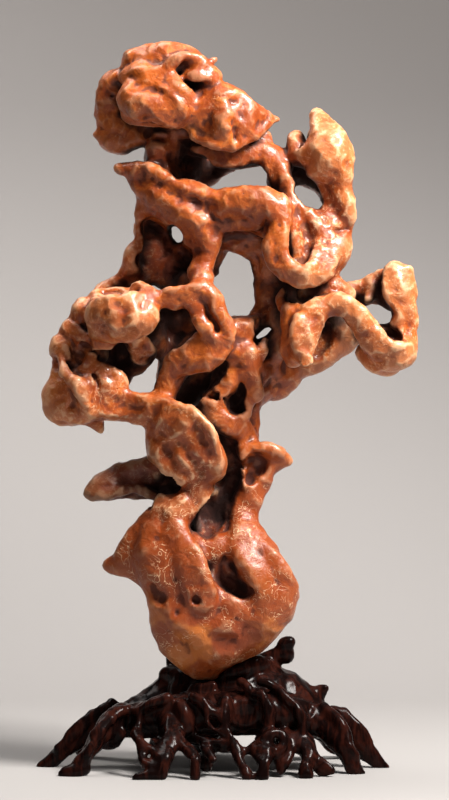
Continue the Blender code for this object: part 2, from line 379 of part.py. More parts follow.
# Knobbly cluster on the left with its cap and the strut beneath.
CLUSTER = {
    "cap": (0.75, [
        (-85, -38, 318, 10.5), (-77, -42, 317, 12.5), (-69, -44, 315, 13.5), (-60, -44, 316, 13),
        (-53, -43, 317, 8.5)]),
    "cap_low": (0.75, [
        (-84, -38, 308, 7.5), (-75, -41, 306, 8), (-65, -41, 307, 7), (-58, -40, 310, 6)]),
    "cap_fold": (0.9, [(-89, -30, 325, 5), (-90, -32, 315, 5), (-89, -33, 306, 5)]),
    "cap_under": (0.8, [(-85, -30, 299, 5.5), (-75, -28, 300, 6), (-63, -28, 301, 6)]),
    "cluster_top": (0.9, [
        (-88, -8, 326, 7.5), (-78, -12, 327, 9), (-66, -14, 327, 9), (-53, -18, 324, 8.5)]),
    "knob_0": (1, [(-90, -14, 331, 4), (-88, -20, 328, 4)]),
    "knob_1": (0.9, [(-98, -18, 320, 8.5), (-92, -23, 316, 7.5)]),
    "knob_2": (0.9, [(-106, -17, 306, 8), (-98, -23, 303, 7.5)]),
    "knob_3": (0.9, [(-114, -17, 295, 8.5), (-109, -21, 291, 7)]),
    "knob_gap": (0.8, [(-102, -12, 291, 7.5), (-94, -16, 293, 7), (-87, -16, 291, 7)]),
    "knob_4": (0.9, [(-114, -14, 284, 5.5), (-113, -18, 276, 7)]),
    "small_pips": (1, [(-95, -26, 296, 3), (-88, -28, 296, 3), (-93, -26, 289, 3)]),
    "lobe_shade": (0.9, [
        (-112, -18, 269, 9), (-116, -18, 261, 10.5), (-115, -18, 252, 10.5), (-109, -18, 248, 8.5)]),
    "ridge_c": (0.8, [
        (-115, -26, 287, 3), (-112, -31, 281, 3.5), (-108, -35, 274, 4.5), (-103, -37, 270, 5),
        (-99, -37, 264, 5), (-96, -35, 257, 4)]),
    "plane": (0.7, [
        (-98, -24, 280, 6), (-91, -26, 279, 7), (-82, -26, 276, 7), (-74, -25, 271, 7),
        (-75, -25, 264, 7), (-84, -28, 267, 8.5), (-93, -30, 268, 7.5), (-96, -30, 260, 7),
        (-88, -28, 256, 7), (-79, -26, 257, 7)]),
    "lobe_lit": (0.8, [(-96, -28, 251, 7), (-88, -27, 251, 6.5), (-81, -25, 250, 7)]),
    "drip": (0.9, [(-92, -18, 244, 5.5), (-87, -16, 238, 3.5), (-86, -15, 236, 2.5)]),
    "strut_low": (0.9, [
        (-78, -22, 254, 8.5), (-70, -21, 253, 9), (-62, -21, 252, 10), (-52, -24, 251, 11),
        (-44, -28, 251, 11)]),
    "strut_lit": (0.9, [
        (-70, -26, 259, 4), (-61, -27, 258, 5), (-53, -30, 258, 5.5), (-45, -32, 257, 6),
        (-38, -34, 253, 6)]),
    "wedge": (0.8, [(-63, -20, 299, 7), (-57, -18, 295, 7), (-59, -14, 288, 6.5)]),
    "wedge_rim": (0.9, [(-55, -26, 302, 2.5), (-51, -24, 296, 2.5), (-48, -20, 291, 2)]),
    "slab": (0.6, [(-52, -8, 291, 5), (-58, -6, 284, 5.5), (-63, -6, 278, 5)]),
    "cluster_back": (0.9, [
        (-98, 2, 298, 12.5), (-101, 2, 281, 12.5), (-101, -2, 263, 12), (-87, 0, 270, 12),
        (-89, 2, 291, 12), (-87, 0, 315, 10.5), (-68, 0, 312, 10.5), (-54, -2, 315, 8.5)]),
    "cluster_back2": (0.8, [
        (-75, 6, 296, 10), (-68, 6, 301, 10), (-79, 4, 284, 9), (-73, 0, 274, 8.5)]),
    "cluster_fill": (0.8, [
        (-70, 0, 291, 8.5), (-61, -2, 293, 7.5), (-63, -2, 284, 6.5), (-54, -4, 292, 5.5)]),
    "lobe_fill": (0.85, [
        (-103, -22, 269, 10.5), (-106, -22, 261, 12), (-107, -22, 252, 10.5), (-98, -22, 251, 9)]),
    "knob_bed": (0.85, [
        (-94, -14, 319, 9), (-99, -14, 308, 9), (-105, -14, 298, 9), (-109, -16, 288, 9)]),
    "cap_crest": (0.8, [
        (-88, -41, 324, 4), (-80, -47, 327, 4.5), (-71, -50, 325, 4.5), (-64, -48, 329, 4.5),
        (-57, -43, 329, 4)]),
    "cap_crest_b": (0.8, [(-77, -50, 322, 4), (-75, -52, 314, 4.5), (-75, -50, 307, 4.5)]),
    "cap_lobe": (0.9, [(-52, -45, 322, 5), (-49, -46, 316, 5), (-52, -45, 310, 4)]),
    "cap_bump": (0.9, [
        (-63, -34, 333, 4), (-58, -36, 336, 4.5), (-52, -38, 333, 4.5), (-47, -39, 329, 4)]),
    "cap_facet": (0.7, [(-62, -46, 322, 6), (-56, -46, 316, 7), (-59, -45, 309, 6)]),
    "cap_crest_c": (0.8, [
        (-67, -50, 328, 3.5), (-63, -53, 322, 3.5), (-63, -54, 314, 3.5), (-66, -51, 307, 3.5)]),
    "cap_shelf": (0.8, [
        (-63, -34, 337, 3.5), (-59, -36, 339, 3.5), (-54, -40, 335, 3.5), (-50, -42, 328, 3.5)]),
}

# Bulging shoulder and the flat horn that points left.
SHOULDER = {
    "shoulder": (0.85, [
        (-39, -33, 245, 10.5), (-31, -37, 242, 12), (-22, -38, 236, 13), (-16, -38, 228, 12.5),
        (-11, -36, 218, 11), (-9, -33, 210, 9.5)]),
    "shoulder_root": (1, [
        (-45, -26, 248, 9.5), (-38, -28, 239, 12), (-29, -28, 228, 13), (-20, -26, 218, 12)]),
    "shoulder_left": (0.9, [(-45, -22, 240, 9.5), (-46, -24, 230, 9.5), (-45, -24, 221, 9.5)]),
    "shoulder_rim": (0.9, [(-50, -22, 237, 3), (-48, -23, 228, 3), (-46, -22, 221, 3)]),
    "shoulder_mid": (0.8, [
        (-39, -25, 235, 12), (-36, -27, 225, 12.5), (-31, -27, 216, 12), (-24, -28, 208, 10.5)]),
    "shoulder_back": (1.1, [
        (-28, 0, 236, 13.5), (-21, 2, 222, 14), (-14, 4, 205, 14), (0, 4, 229, 12.5)]),
    "below_shoulder": (0.85, [
        (-19, -29, 208, 12), (-18, -29, 199, 11.5), (-18, -28, 191, 10.5), (-14, -26, 184, 7.5)]),
    "horn_root": (1, [(-31, -6, 211, 10.5), (-38, -4, 208, 10.5), (-45, -8, 209, 9)]),
    "horn": (0.75, [
        (-44, 0, 203, 13.5), (-52, -1, 201, 12.5), (-61, -2, 200, 12), (-72, -4, 200, 11.5),
        (-81, -6, 198, 10), (-88, -8, 195, 7.5), (-95, -10, 192, 4), (-98, -11, 191, 2)]),
    "horn_crest": (0.8, [
        (-74, -6, 209, 4), (-67, -8, 210, 4.5), (-59, -9, 211, 4.5), (-52, -9, 214, 5),
        (-46, -8, 215, 5.5)]),
    "horn_edge": (0.8, [
        (-94, -12, 191, 2.5), (-84, -15, 192, 3), (-73, -16, 194, 3), (-61, -15, 195, 3),
        (-51, -14, 192, 3.5), (-44, -14, 189, 4)]),
    "horn_back": (0.8, [(-44, 9, 197, 8.5), (-35, 9, 195, 10.5), (-26, 9, 198, 11)]),
    "shoulder_crest": (0.9, [
        (-40, -37, 257, 3.5), (-31, -43, 253, 3.5), (-21, -47, 250, 3.5), (-12, -50, 242, 3.5),
        (-7, -50, 233, 3.5), (-4, -47, 223, 3.5), (-4, -42, 213, 3.5)]),
    "shoulder_fold": (0.9, [
        (-43, -31, 240, 3.5), (-37, -36, 232, 4), (-32, -40, 224, 4), (-27, -41, 215, 4),
        (-21, -38, 207, 3.5)]),
    "shoulder_bits": (0.9, [(-33, -44, 246, 3.5), (-27, -48, 244, 3.5)]),
    "shoulder_step": (0.8, [(-45, -34, 252, 5.5), (-37, -39, 250, 5.5), (-29, -41, 247, 5.5)]),
    "shoulder_face": (0.7, [(-45, -32, 222, 8.5), (-38, -34, 215, 8.5), (-28, -36, 207, 7.5)]),
}

# Cupped horn on the right and the ridge beside the groove.
CUP = {
    "cup": (1, [
        (19, -10, 219, 8.5), (26, -11, 217, 10), (34, -11, 216, 8.5), (39, -11, 215, 5.5),
        (44, -10, 214, 3)]),
    "cup_stem": (0.9, [(26, -14, 208, 8.5), (23, -14, 199, 7.5), (18, -14, 192, 7.5)]),
    "cup_rim": (0.9, [
        (16, -20, 223, 3.5), (25, -23, 225, 4), (33, -22, 224, 4), (39, -19, 220, 4),
        (44, -14, 215, 3)]),
    "groove_ridge": (0.9, [
        (13, -19, 225, 4.5), (15, -22, 218, 4), (16, -23, 209, 4), (17, -22, 202, 4.5),
        (18, -21, 195, 4.5)]),
    "groove_bed": (0.85, [(21, -13, 209, 8.5), (19, -15, 199, 9), (17, -16, 189, 9.5)]),
}

# Heavy lower body that narrows to the tenon held by the stand.
TORSO = {
    "torso_left": (0.7, [
        (-38, -27, 185, 11), (-39, -29, 175, 14), (-43, -30, 161, 18), (-41, -32, 147, 21.5),
        (-34, -32, 132, 22), (-31, -31, 116, 21), (-31, -28, 100, 19.5), (-24, -26, 88, 18.5),
        (-15, -22, 79, 16), (-10, -12, 70, 8.5)]),
    "torso_spur": (0.75, [
        (-52, -26, 152, 14.5), (-60, -24, 149, 12), (-69, -21, 145, 9.5), (-76, -18, 143, 7),
        (-81, -17, 142, 5)]),
    "torso_right": (0.85, [
        (16, -12, 191, 9), (14, -16, 181, 10), (13, -19, 171, 11), (17, -24, 160, 12.5),
        (22, -27, 149, 15.5), (27, -27, 135, 18.5), (29, -27, 123, 22), (23, -26, 111, 22),
        (14, -24, 100, 20.5), (3, -20, 91, 18), (-6, -18, 82, 14)]),
    "torso_corner": (0.8, [(40, -14, 125, 11), (46, -12, 121, 7)]),
    "torso_mid": (0.9, [
        (-9, -8, 184, 12.5), (-7, -10, 170, 14), (-6, -20, 152, 15.5), (-6, -22, 136, 16.5),
        (-5, -28, 119, 18), (-7, -28, 102, 18.5), (-9, -22, 85, 15.5)]),
    "torso_low": (0.8, [
        (-25, -33, 115, 15), (-14, -36, 106, 14.5), (0, -36, 105, 14.5), (13, -34, 113, 14.5)]),
    "torso_low2": (0.85, [(-21, -28, 93, 15.5), (-7, -28, 89, 18), (8, -27, 96, 16.5)]),
    "torso_lip": (0.8, [
        (-27, -41, 166, 4), (-24, -46, 159, 4.5), (-19, -48, 152, 4.5), (-16, -50, 143, 4.5),
        (-13, -50, 134, 4.5), (-9, -49, 126, 4.5)]),
    "torso_lip_r": (0.8, [
        (8, -33, 168, 4), (9, -37, 158, 4.5), (12, -42, 149, 5), (17, -45, 140, 5), (22, -46, 131, 5)]),
    "torso_bump": (0.8, [(4, -43, 118, 5.5), (9, -43, 115, 5.5)]),
    "torso_back": (1, [
        (2, 6, 201, 13.5), (-2, 6, 183, 17), (-7, 4, 166, 21.5), (-10, 4, 146, 26.5),
        (-7, 4, 124, 31.5), (-7, 4, 103, 30), (-9, 0, 85, 22.5), (-9, -2, 74, 13.5)]),
    "tenon": (1, [(-9, -6, 72, 12.5), (-9, -6, 64, 9)]),
    "torso_face": (0.6, [
        (-34, -36, 181, 6), (-33, -40, 169, 8.5), (-29, -43, 156, 10.5), (-24, -45, 144, 11),
        (-19, -46, 132, 11), (-16, -46, 121, 11)]),
    "torso_ledge": (0.8, [
        (-25, -30, 156, 11), (-15, -31, 154, 12), (-4, -31, 154, 11), (6, -30, 156, 10.5)]),
    "torso_right_bed": (0.85, [
        (12, -28, 167, 8.5), (15, -32, 156, 9.5), (18, -36, 146, 10.5), (23, -38, 136, 11),
        (27, -38, 126, 11.5)]),
    "torso_web": (0.6, [
        (-46, -26, 175, 11), (-53, -26, 165, 12.5), (-60, -25, 157, 12), (-67, -23, 149, 9.5),
        (-59, -24, 144, 12), (-50, -26, 139, 13)]),
    "torso_plane": (0.6, [
        (-38, -40, 120, 10.5), (-31, -42, 112, 11), (-24, -42, 104, 11), (-16, -40, 95, 11)]),
    "torso_chin": (0.7, [(2, -42, 116, 7), (9, -42, 112, 7.5), (18, -40, 109, 7.5)]),
    "torso_edge": (0.7, [
        (23, -32, 158, 6), (32, -38, 149, 7), (39, -38, 139, 7.5), (44, -32, 128, 7.5)]),
    "torso_heel": (0.7, [(-39, -34, 102, 9), (-32, -34, 93, 9), (-21, -30, 83, 8.5)]),
    "torso_neck": (0.8, [(-24, -29, 189, 9.5), (-30, -32, 183, 10.5), (-34, -34, 177, 10.5)]),
    "torso_flank_l": (1.2, [
        (-41, -8, 160, 12), (-40, -6, 140, 13.5), (-37, -6, 117, 13.5), (-28, -6, 95, 13.5)]),
    "torso_flank_r": (1.2, [
        (19, -6, 159, 9), (26, -6, 142, 12.5), (32, -6, 123, 15.5), (25, -6, 102, 14)]),
}

# Openings that run right through the rock.
WINDOWS = {
    "h1_view": (9, [
        (1, 0, 408, 3), (8, 0, 411, 4.5), (16, 0, 413, 5.5), (23, 0, 414, 6.5), (27, 0, 411, 4)]),
    "h2_view": (9, [(54, 0, 403, 6), (59, 0, 399, 7), (63, 0, 396, 6.5)]),
    "h3_view": (9, [(-36, 0, 378, 4), (-34, 0, 375, 5), (-32, 0, 371, 4.5)]),
    "h4_view": (9, [
        (6, 0, 350, 5), (9, 0, 345, 7.5), (9, 0, 336, 8.5), (8, 0, 328, 7), (8, 0, 320, 4.5)]),
    "h4_side": (9, [(-7, 0, 341, 2.5), (-1, 0, 339, 5.5), (3, 0, 330, 4)]),
    "h5_view": (9, [(23, 0, 301, 2.5), (28, 0, 305, 3), (32, 0, 308, 2.5)]),
    "h6_view": (9, [(104, 0, 319, 4), (108, 0, 318, 5.5), (112, 0, 315, 5)]),
    "h7_view": (9, [(-59, 0, 266, 5), (-54, 0, 271, 5.5), (-50, 0, 276, 4.5), (-48, 0, 283, 3)]),
    "h8_view": (9, [(-50, 0, 336, 3), (-47, 0, 335, 2)]),
    "h9_view": (9, [(-37, 0, 264, 2), (-35, 0, 266, 1.5)]),
    "h10_view": (9, [(-46, 0, 291, 1.5)]),
}

# Shallow hollows on the far side.
BACK_HOLLOWS = {
    "back_a": (1.2, [(5, 36, 142, 8.5), (-2, 40, 124, 10.5), (-5, 38, 110, 8.5)]),
    "back_b": (1.2, [(-24, 32, 97, 5.5), (-29, 34, 106, 5.5)]),
    "back_c": (1.2, [(8, 26, 182, 7), (5, 24, 194, 6.5)]),
    "back_d": (1.2, [(-53, 36, 477, 6.5), (-42, 38, 471, 8)]),
    "back_e": (1.2, [(-14, 24, 461, 5.5), (-20, 28, 465, 5.5)]),
    "back_f": (1.2, [(-91, 20, 281, 7), (-95, 18, 271, 7)]),
    "back_g": (1.2, [(-17, 26, 369, 6.5), (-24, 28, 378, 5.5)]),
    "back_h": (1.2, [(74, 18, 419, 6.5), (77, 16, 410, 5)]),
    "back_i": (1.2, [(-24, 26, 306, 7), (-33, 26, 312, 5.5)]),
    "back_j": (1.2, [(60, 18, 292, 5.5), (70, 18, 298, 5.5)]),
    "back_k": (1.2, [(13, 19, 285, 6.5), (11, 19, 272, 6.5)]),
    "back_l": (1.2, [(-42, 2, 173, 7), (-45, 0, 162, 7.5)]),
    "back_m": (1.2, [(-17, 20, 211, 7), (-23, 20, 220, 5.5)]),
    "back_n": (1.2, [(-24, 34, 143, 6.5), (-27, 36, 132, 7)]),
}

# Hollows, pits and grooves that end inside the rock.
HOLLOWS = {
    "head_pit": (2, [
        (-24, -38, 475, 2.5), (-19, -38, 474, 4), (-17, -37, 472, 4.5), (-17, -35, 469, 3)]),
    "head_pit_up": (1.5, [
        (-24, -38, 493, 2), (-28, -39, 490, 3), (-30, -38, 487, 3), (-30, -37, 484, 2)]),
    "head_pin": (2, [(-34, -54, 468, 2)]),
    "head_eye": (1.5, [(-78, -10, 469, 2.5)]),
    "head_knob_pit": (1.5, [(-64, -18, 494, 1.5)]),
    "head_crack": (1.2, [(-72, -24, 481, 2), (-67, -28, 483, 2)]),
    "head_valley": (1, [
        (-15, -43, 464, 2.5), (-18, -44, 458, 3), (-22, -42, 451, 3), (-26, -37, 444, 3.5)]),
    "under_muzzle": (1.3, [
        (-68, -24, 447, 3), (-58, -30, 447, 3.5), (-48, -32, 446, 4), (-36, -30, 443, 4),
        (-27, -26, 441, 3.5)]),
    "under_head": (1.2, [(-50, -18, 441, 3.5), (-38, -18, 439, 3.5), (-23, -20, 434, 4)]),
    "shell_pit": (1.6, [(4, -40, 468, 2.5), (9, -36, 466, 2.5)]),
    "shell_pit_b": (1.6, [(-7, -44, 455, 2)]),
    "h1_cave": (1.3, [
        (-32, -18, 424, 6.5), (-25, -14, 422, 9), (-16, -10, 419, 10), (-9, -7, 415, 7.5),
        (-2, -4, 414, 5.5)]),
    "neck_pit": (1.4, [(-45, -20, 425, 3), (-41, -20, 423, 2.5)]),
    "cave": (1.15, [
        (-53, -8, 379, 7), (-48, -6, 373, 9), (-45, -4, 365, 10.5), (-39, -4, 357, 11),
        (-31, -6, 354, 10), (-31, -6, 365, 9), (-37, -6, 371, 9)]),
    "cave_low": (1.1, [(-56, -4, 354, 7), (-52, -6, 347, 6.5), (-39, -8, 346, 6.5)]),
    "hood_cave": (1.1, [
        (2, -26, 369, 5), (11, -26, 366, 7), (19, -24, 361, 7), (22, -20, 351, 6.5),
        (23, -19, 340, 6.5), (22, -19, 328, 5.5)]),
    "hood_pit": (1.6, [(25, -38, 373, 3), (27, -40, 377, 3.5), (29, -40, 382, 3), (26, -31, 375, 3.5)]),
    "h4_shadow": (1.2, [(-2, -18, 358, 5), (-5, -16, 350, 5)]),
    "funnel": (1, [(48, -42, 389, 4), (51, -46, 380, 6), (53, -49, 371, 7.5), (54, -51, 362, 6.5)]),
    "funnel_pit": (1, [(56, -36, 383, 3), (58, -38, 374, 4), (57, -40, 366, 4), (55, -42, 360, 3.5)]),
    "lobe_cave": (1.3, [
        (51, -12, 414, 5.5), (58, -10, 411, 6.5), (65, -9, 405, 5.5), (70, -9, 399, 4)]),
    "lobe_cave_low": (1, [(72, -14, 391, 4), (76, -14, 386, 3.5)]),
    "lobe_notch": (1.6, [(73, -32, 377, 2.5), (79, -28, 376, 3), (86, -22, 377, 2)]),
    "lobe_valley": (1.2, [(55, -16, 437, 3), (53, -18, 430, 2.5)]),
    "rough_a": (1.1, [(61, -32, 330, 2.5)]),
    "rough_b": (1.1, [(70, -36, 334, 2.5)]),
    "rough_c": (1.1, [(76, -34, 340, 2.5)]),
    "dark_right": (1.5, [(45, -28, 330, 4), (48, -30, 328, 4.5)]),
    "under_arch_dark": (1.6, [(71, -14, 304, 7), (70, -14, 297, 7.5), (66, -12, 291, 5.5)]),
    "arch_space": (1.1, [
        (80, -38, 313, 5.5), (73, -38, 306, 7.5), (81, -34, 303, 7.5), (68, -38, 295, 6.5),
        (63, -36, 289, 3.5)]),
    "arch_socket": (1.3, [(55, -52, 286, 2)]),
    "loop_pit": (1.5, [(111, -29, 309, 4), (115, -31, 305, 6), (119, -30, 301, 5.5)]),
    "web_pit": (1.2, [(92, -14, 333, 3)]),
    "web_pit_b": (1.2, [(107, -14, 333, 4), (110, -14, 340, 4)]),
    "h5_front": (1.4, [(26, -24, 315, 5), (23, -22, 307, 4.5), (32, -22, 321, 5)]),
    "right_gap": (1.5, [
        (34, -24, 308, 3.5), (34, -24, 298, 3.5), (34, -22, 288, 4), (36, -18, 280, 3.5)]),
    "under_facet": (1.3, [(26, -18, 263, 3), (32, -16, 268, 4), (37, -14, 273, 3.5)]),
    "d13": (1.8, [(12, -24, 267, 3), (11, -22, 260, 5), (6, -24, 253, 6), (11, -22, 252, 5)]),
    "d13_up": (1.5, [(14, -24, 278, 3), (11, -24, 274, 3)]),
    "ridge_gap": (1.2, [(4, -22, 259, 3), (-9, -26, 261, 3.5)]),
    "eye_dark": (1.5, [
        (-41, -26, 309, 7), (-37, -26, 305, 10), (-31, -26, 305, 11), (-38, -24, 298, 7.5),
        (-30, -24, 298, 7.5)]),
    "slot": (1.6, [
        (-31, -16, 257, 7), (-23, -16, 262, 8.5), (-15, -16, 270, 9), (-7, -18, 277, 8),
        (-1, -18, 285, 6.5)]),
    "eye_pit": (2, [(-13, -45, 323, 3), (-10, -46, 317, 4), (-7, -46, 312, 3.5), (-5, -45, 307, 3)]),
    "dent": (1.2, [(-57, -60, 324, 2), (-53, -57, 325, 2)]),
    "h7_front": (1.7, [(-72, -30, 292, 6.5), (-73, -29, 285, 5), (-68, -31, 294, 5.5)]),
    "under_cap": (1.2, [
        (-98, -26, 297, 3), (-92, -27, 293, 2.5), (-84, -28, 291, 3), (-79, -28, 285, 2)]),
    "knob_cut_a": (1.3, [
        (-106, -25, 298, 3), (-105, -25, 291, 3.5), (-101, -27, 285, 4), (-107, -27, 282, 3)]),
    "knob_cut_b": (1.3, [(-99, -26, 311, 3), (-94, -30, 307, 3)]),
    "knob_cut_c": (1.2, [(-88, -40, 322, 1.5), (-95, -26, 326, 2)]),
    "cluster_gap": (1.3, [(-84, -18, 332, 3), (-77, -18, 333, 3), (-71, -20, 332, 2.5)]),
    "slab_cut": (1.1, [(-60, -20, 282, 4), (-53, -20, 286, 4)]),
    "ring_left": (1.5, [(-106, -33, 254, 3.5)]),
    "ring_left2": (1.4, [(-86, -38, 261, 3), (-83, -37, 259, 2.5)]),
    "ring_small": (1.4, [(-76, -35, 277, 2)]),
    "horn_dark": (1.5, [(-43, -22, 199, 6.5), (-38, -24, 201, 9.5), (-34, -25, 205, 9)]),
    "horn_under": (1, [(-74, -26, 187, 3.5), (-61, -28, 187, 4), (-52, -28, 184, 4)]),
    "pit_a": (1.3, [(0, -24, 227, 3), (1, -24, 223, 2.5)]),
    "cup_dark": (1.6, [
        (16, -23, 214, 5), (22, -27, 216, 7), (28, -27, 214, 6), (23, -25, 209, 7), (18, -23, 203, 5)]),
    "groove": (1.6, [
        (4, -22, 218, 4.5), (5, -21, 209, 5), (2, -20, 198, 6.5), (-2, -22, 190, 7.5),
        (-9, -26, 181, 10.5), (-11, -30, 174, 10.5), (-11, -36, 169, 7.5)]),
    "d10": (1.5, [
        (0, -40, 149, 3.5), (-2, -42, 141, 5.5), (0, -42, 135, 7), (6, -42, 131, 7.5),
        (12, -44, 127, 6), (18, -47, 126, 3.5)]),
    "torso_dent": (1.1, [(-51, -44, 127, 6), (-46, -46, 121, 6), (-43, -52, 131, 3.5)]),
    "torso_dent_b": (1.4, [(-20, -52, 121, 4)]),
    "torso_dent_c": (1.3, [(-33, -50, 112, 3.5)]),
    "torso_dent_d": (1.3, [(2, -45, 85, 3.5)]),
    "torso_dent_e": (0.8, [(-2, -58, 115, 5), (-2, -59, 107, 5.5)]),
    "torso_dent_f": (0.8, [(-45, -44, 176, 5.5), (-47, -46, 166, 6)]),
    "cave_top": (1.3, [(-52, -14, 382, 5.5), (-46, -14, 378, 7), (-39, -14, 372, 5.5)]),
    "head_fold_a": (1, [
        (-67, -37, 473, 2.5), (-60, -40, 472, 3), (-53, -40, 474, 3), (-46, -42, 472, 3),
        (-39, -44, 468, 2.5)]),
    "head_fold_b": (1, [
        (-51, -43, 457, 2.5), (-44, -45, 460, 3), (-35, -45, 459, 3), (-29, -42, 457, 2.5)]),
    "head_fold_c": (1, [(-62, -36, 477, 2), (-55, -39, 477, 2.5), (-47, -40, 477, 2)]),
    "shell_valley_a": (1, [
        (-7, -38, 470, 3.5), (-7, -41, 461, 3.5), (-8, -41, 452, 3.5), (-11, -38, 443, 3.5)]),
    "shell_valley_b": (1, [(4, -36, 466, 3), (7, -39, 457, 3.5), (7, -38, 448, 3.5), (7, -35, 439, 3)]),
    "shell_under": (1.3, [(-13, -27, 430, 3), (-5, -28, 427, 3), (4, -28, 427, 3), (13, -26, 430, 3)]),
    "left_valley_a": (1, [
        (-91, -30, 276, 3), (-88, -33, 270, 3), (-88, -35, 263, 3), (-92, -37, 256, 3)]),
    "left_valley_b": (1, [
        (-108, -30, 279, 2.5), (-111, -33, 270, 3), (-112, -36, 261, 3), (-108, -37, 256, 2.5)]),
    "shoulder_valley": (1, [
        (-32, -51, 240, 3), (-25, -54, 233, 3.5), (-20, -55, 225, 3.5), (-15, -53, 217, 3.5),
        (-13, -48, 209, 3)]),
    "torso_crease": (1, [(-42, -54, 135, 2.5), (-44, -53, 125, 3), (-42, -50, 113, 3)]),
    "cluster_notch_a": (1.3, [(-110, -24, 316, 2.5), (-106, -27, 313, 2)]),
    "cluster_notch_b": (1.3, [(-118, -24, 305, 2.5), (-113, -27, 301, 2)]),
}

# Mound of the stand and its skirts.
MOUND = {
    "mound_left": (1.1, [(-34, 10, 52, 14.5), (-48, 8, 41, 14.5), (-61, 4, 36, 12), (-73, 2, 32, 9)]),
    "mound_top": (1.2, [
        (-24, -6, 51, 15.5), (-9, -8, 47, 17), (9, -8, 52, 18), (26, -4, 52, 19), (40, 0, 48, 19.5),
        (54, -2, 40, 15.5), (65, -4, 34, 10)]),
    "mound_front": (1.1, [
        (-66, -16, 33, 12), (-50, -26, 36, 13), (-31, -32, 39, 14.5), (-13, -34, 41, 14.5),
        (7, -34, 41, 15), (26, -32, 41, 15), (46, -28, 38, 14), (64, -20, 33, 11)]),
    "mound_back": (1.2, [
        (-71, 28, 28, 9), (-49, 40, 35, 15), (-25, 44, 39, 18.5), (0, 46, 40, 20), (25, 42, 41, 19),
        (47, 34, 37, 15.5), (63, 24, 30, 9)]),
    "skirt_2": (0.8, [(-84, -30, 23, 7), (-78, -34, 21, 5), (-73, -36, 27, 5)]),
    "skirt_7": (1, [(41, -46, 25, 6), (49, -48, 22, 7), (55, -52, 19, 6)]),
    "leaf_point": (0.7, [(54, 0, 51, 7.5), (62, -2, 50, 6.5), (67, -3, 53, 4.5), (72, -4, 56, 1.5)]),
}

# Collar round the socket, the post behind it and the carved bud.
COLLAR = {
    "collar_right": (1, [
        (2, -20, 65, 5.5), (8, -22, 69, 7), (16, -18, 72, 7), (25, -12, 73, 5.5), (28, -6, 72, 5)]),
    "collar_right_b": (1, [(26, -4, 72, 5.5), (32, 6, 69, 6.5)]),
    "collar_left": (1, [
        (-41, 6, 64, 5.5), (-33, -2, 64, 6.5), (-24, -14, 63, 5.5), (-17, -20, 62, 4.5),
        (-13, -22, 61, 3.5)]),
    "tongue": (0.8, [(-21, -30, 57, 4), (-14, -34, 58, 4), (-9, -35, 60, 4)]),
    "post": (0.7, [(-34, 16, 77, 7), (-34, 15, 70, 7), (-33, 12, 62, 7.5)]),
    "collar_back": (1, [
        (-28, 24, 64, 8.5), (-14, 34, 66, 8.5), (2, 36, 67, 8.5), (18, 30, 68, 8.5), (29, 18, 67, 7.5)]),
    "bud_stem": (1, [(26, 4, 73, 5), (32, 6, 76, 5), (38, 6, 78, 5.5), (43, 6, 78, 6)]),
    "bud": (1, [(41, 4, 85, 4), (45, 4, 87, 4.5)]),
}

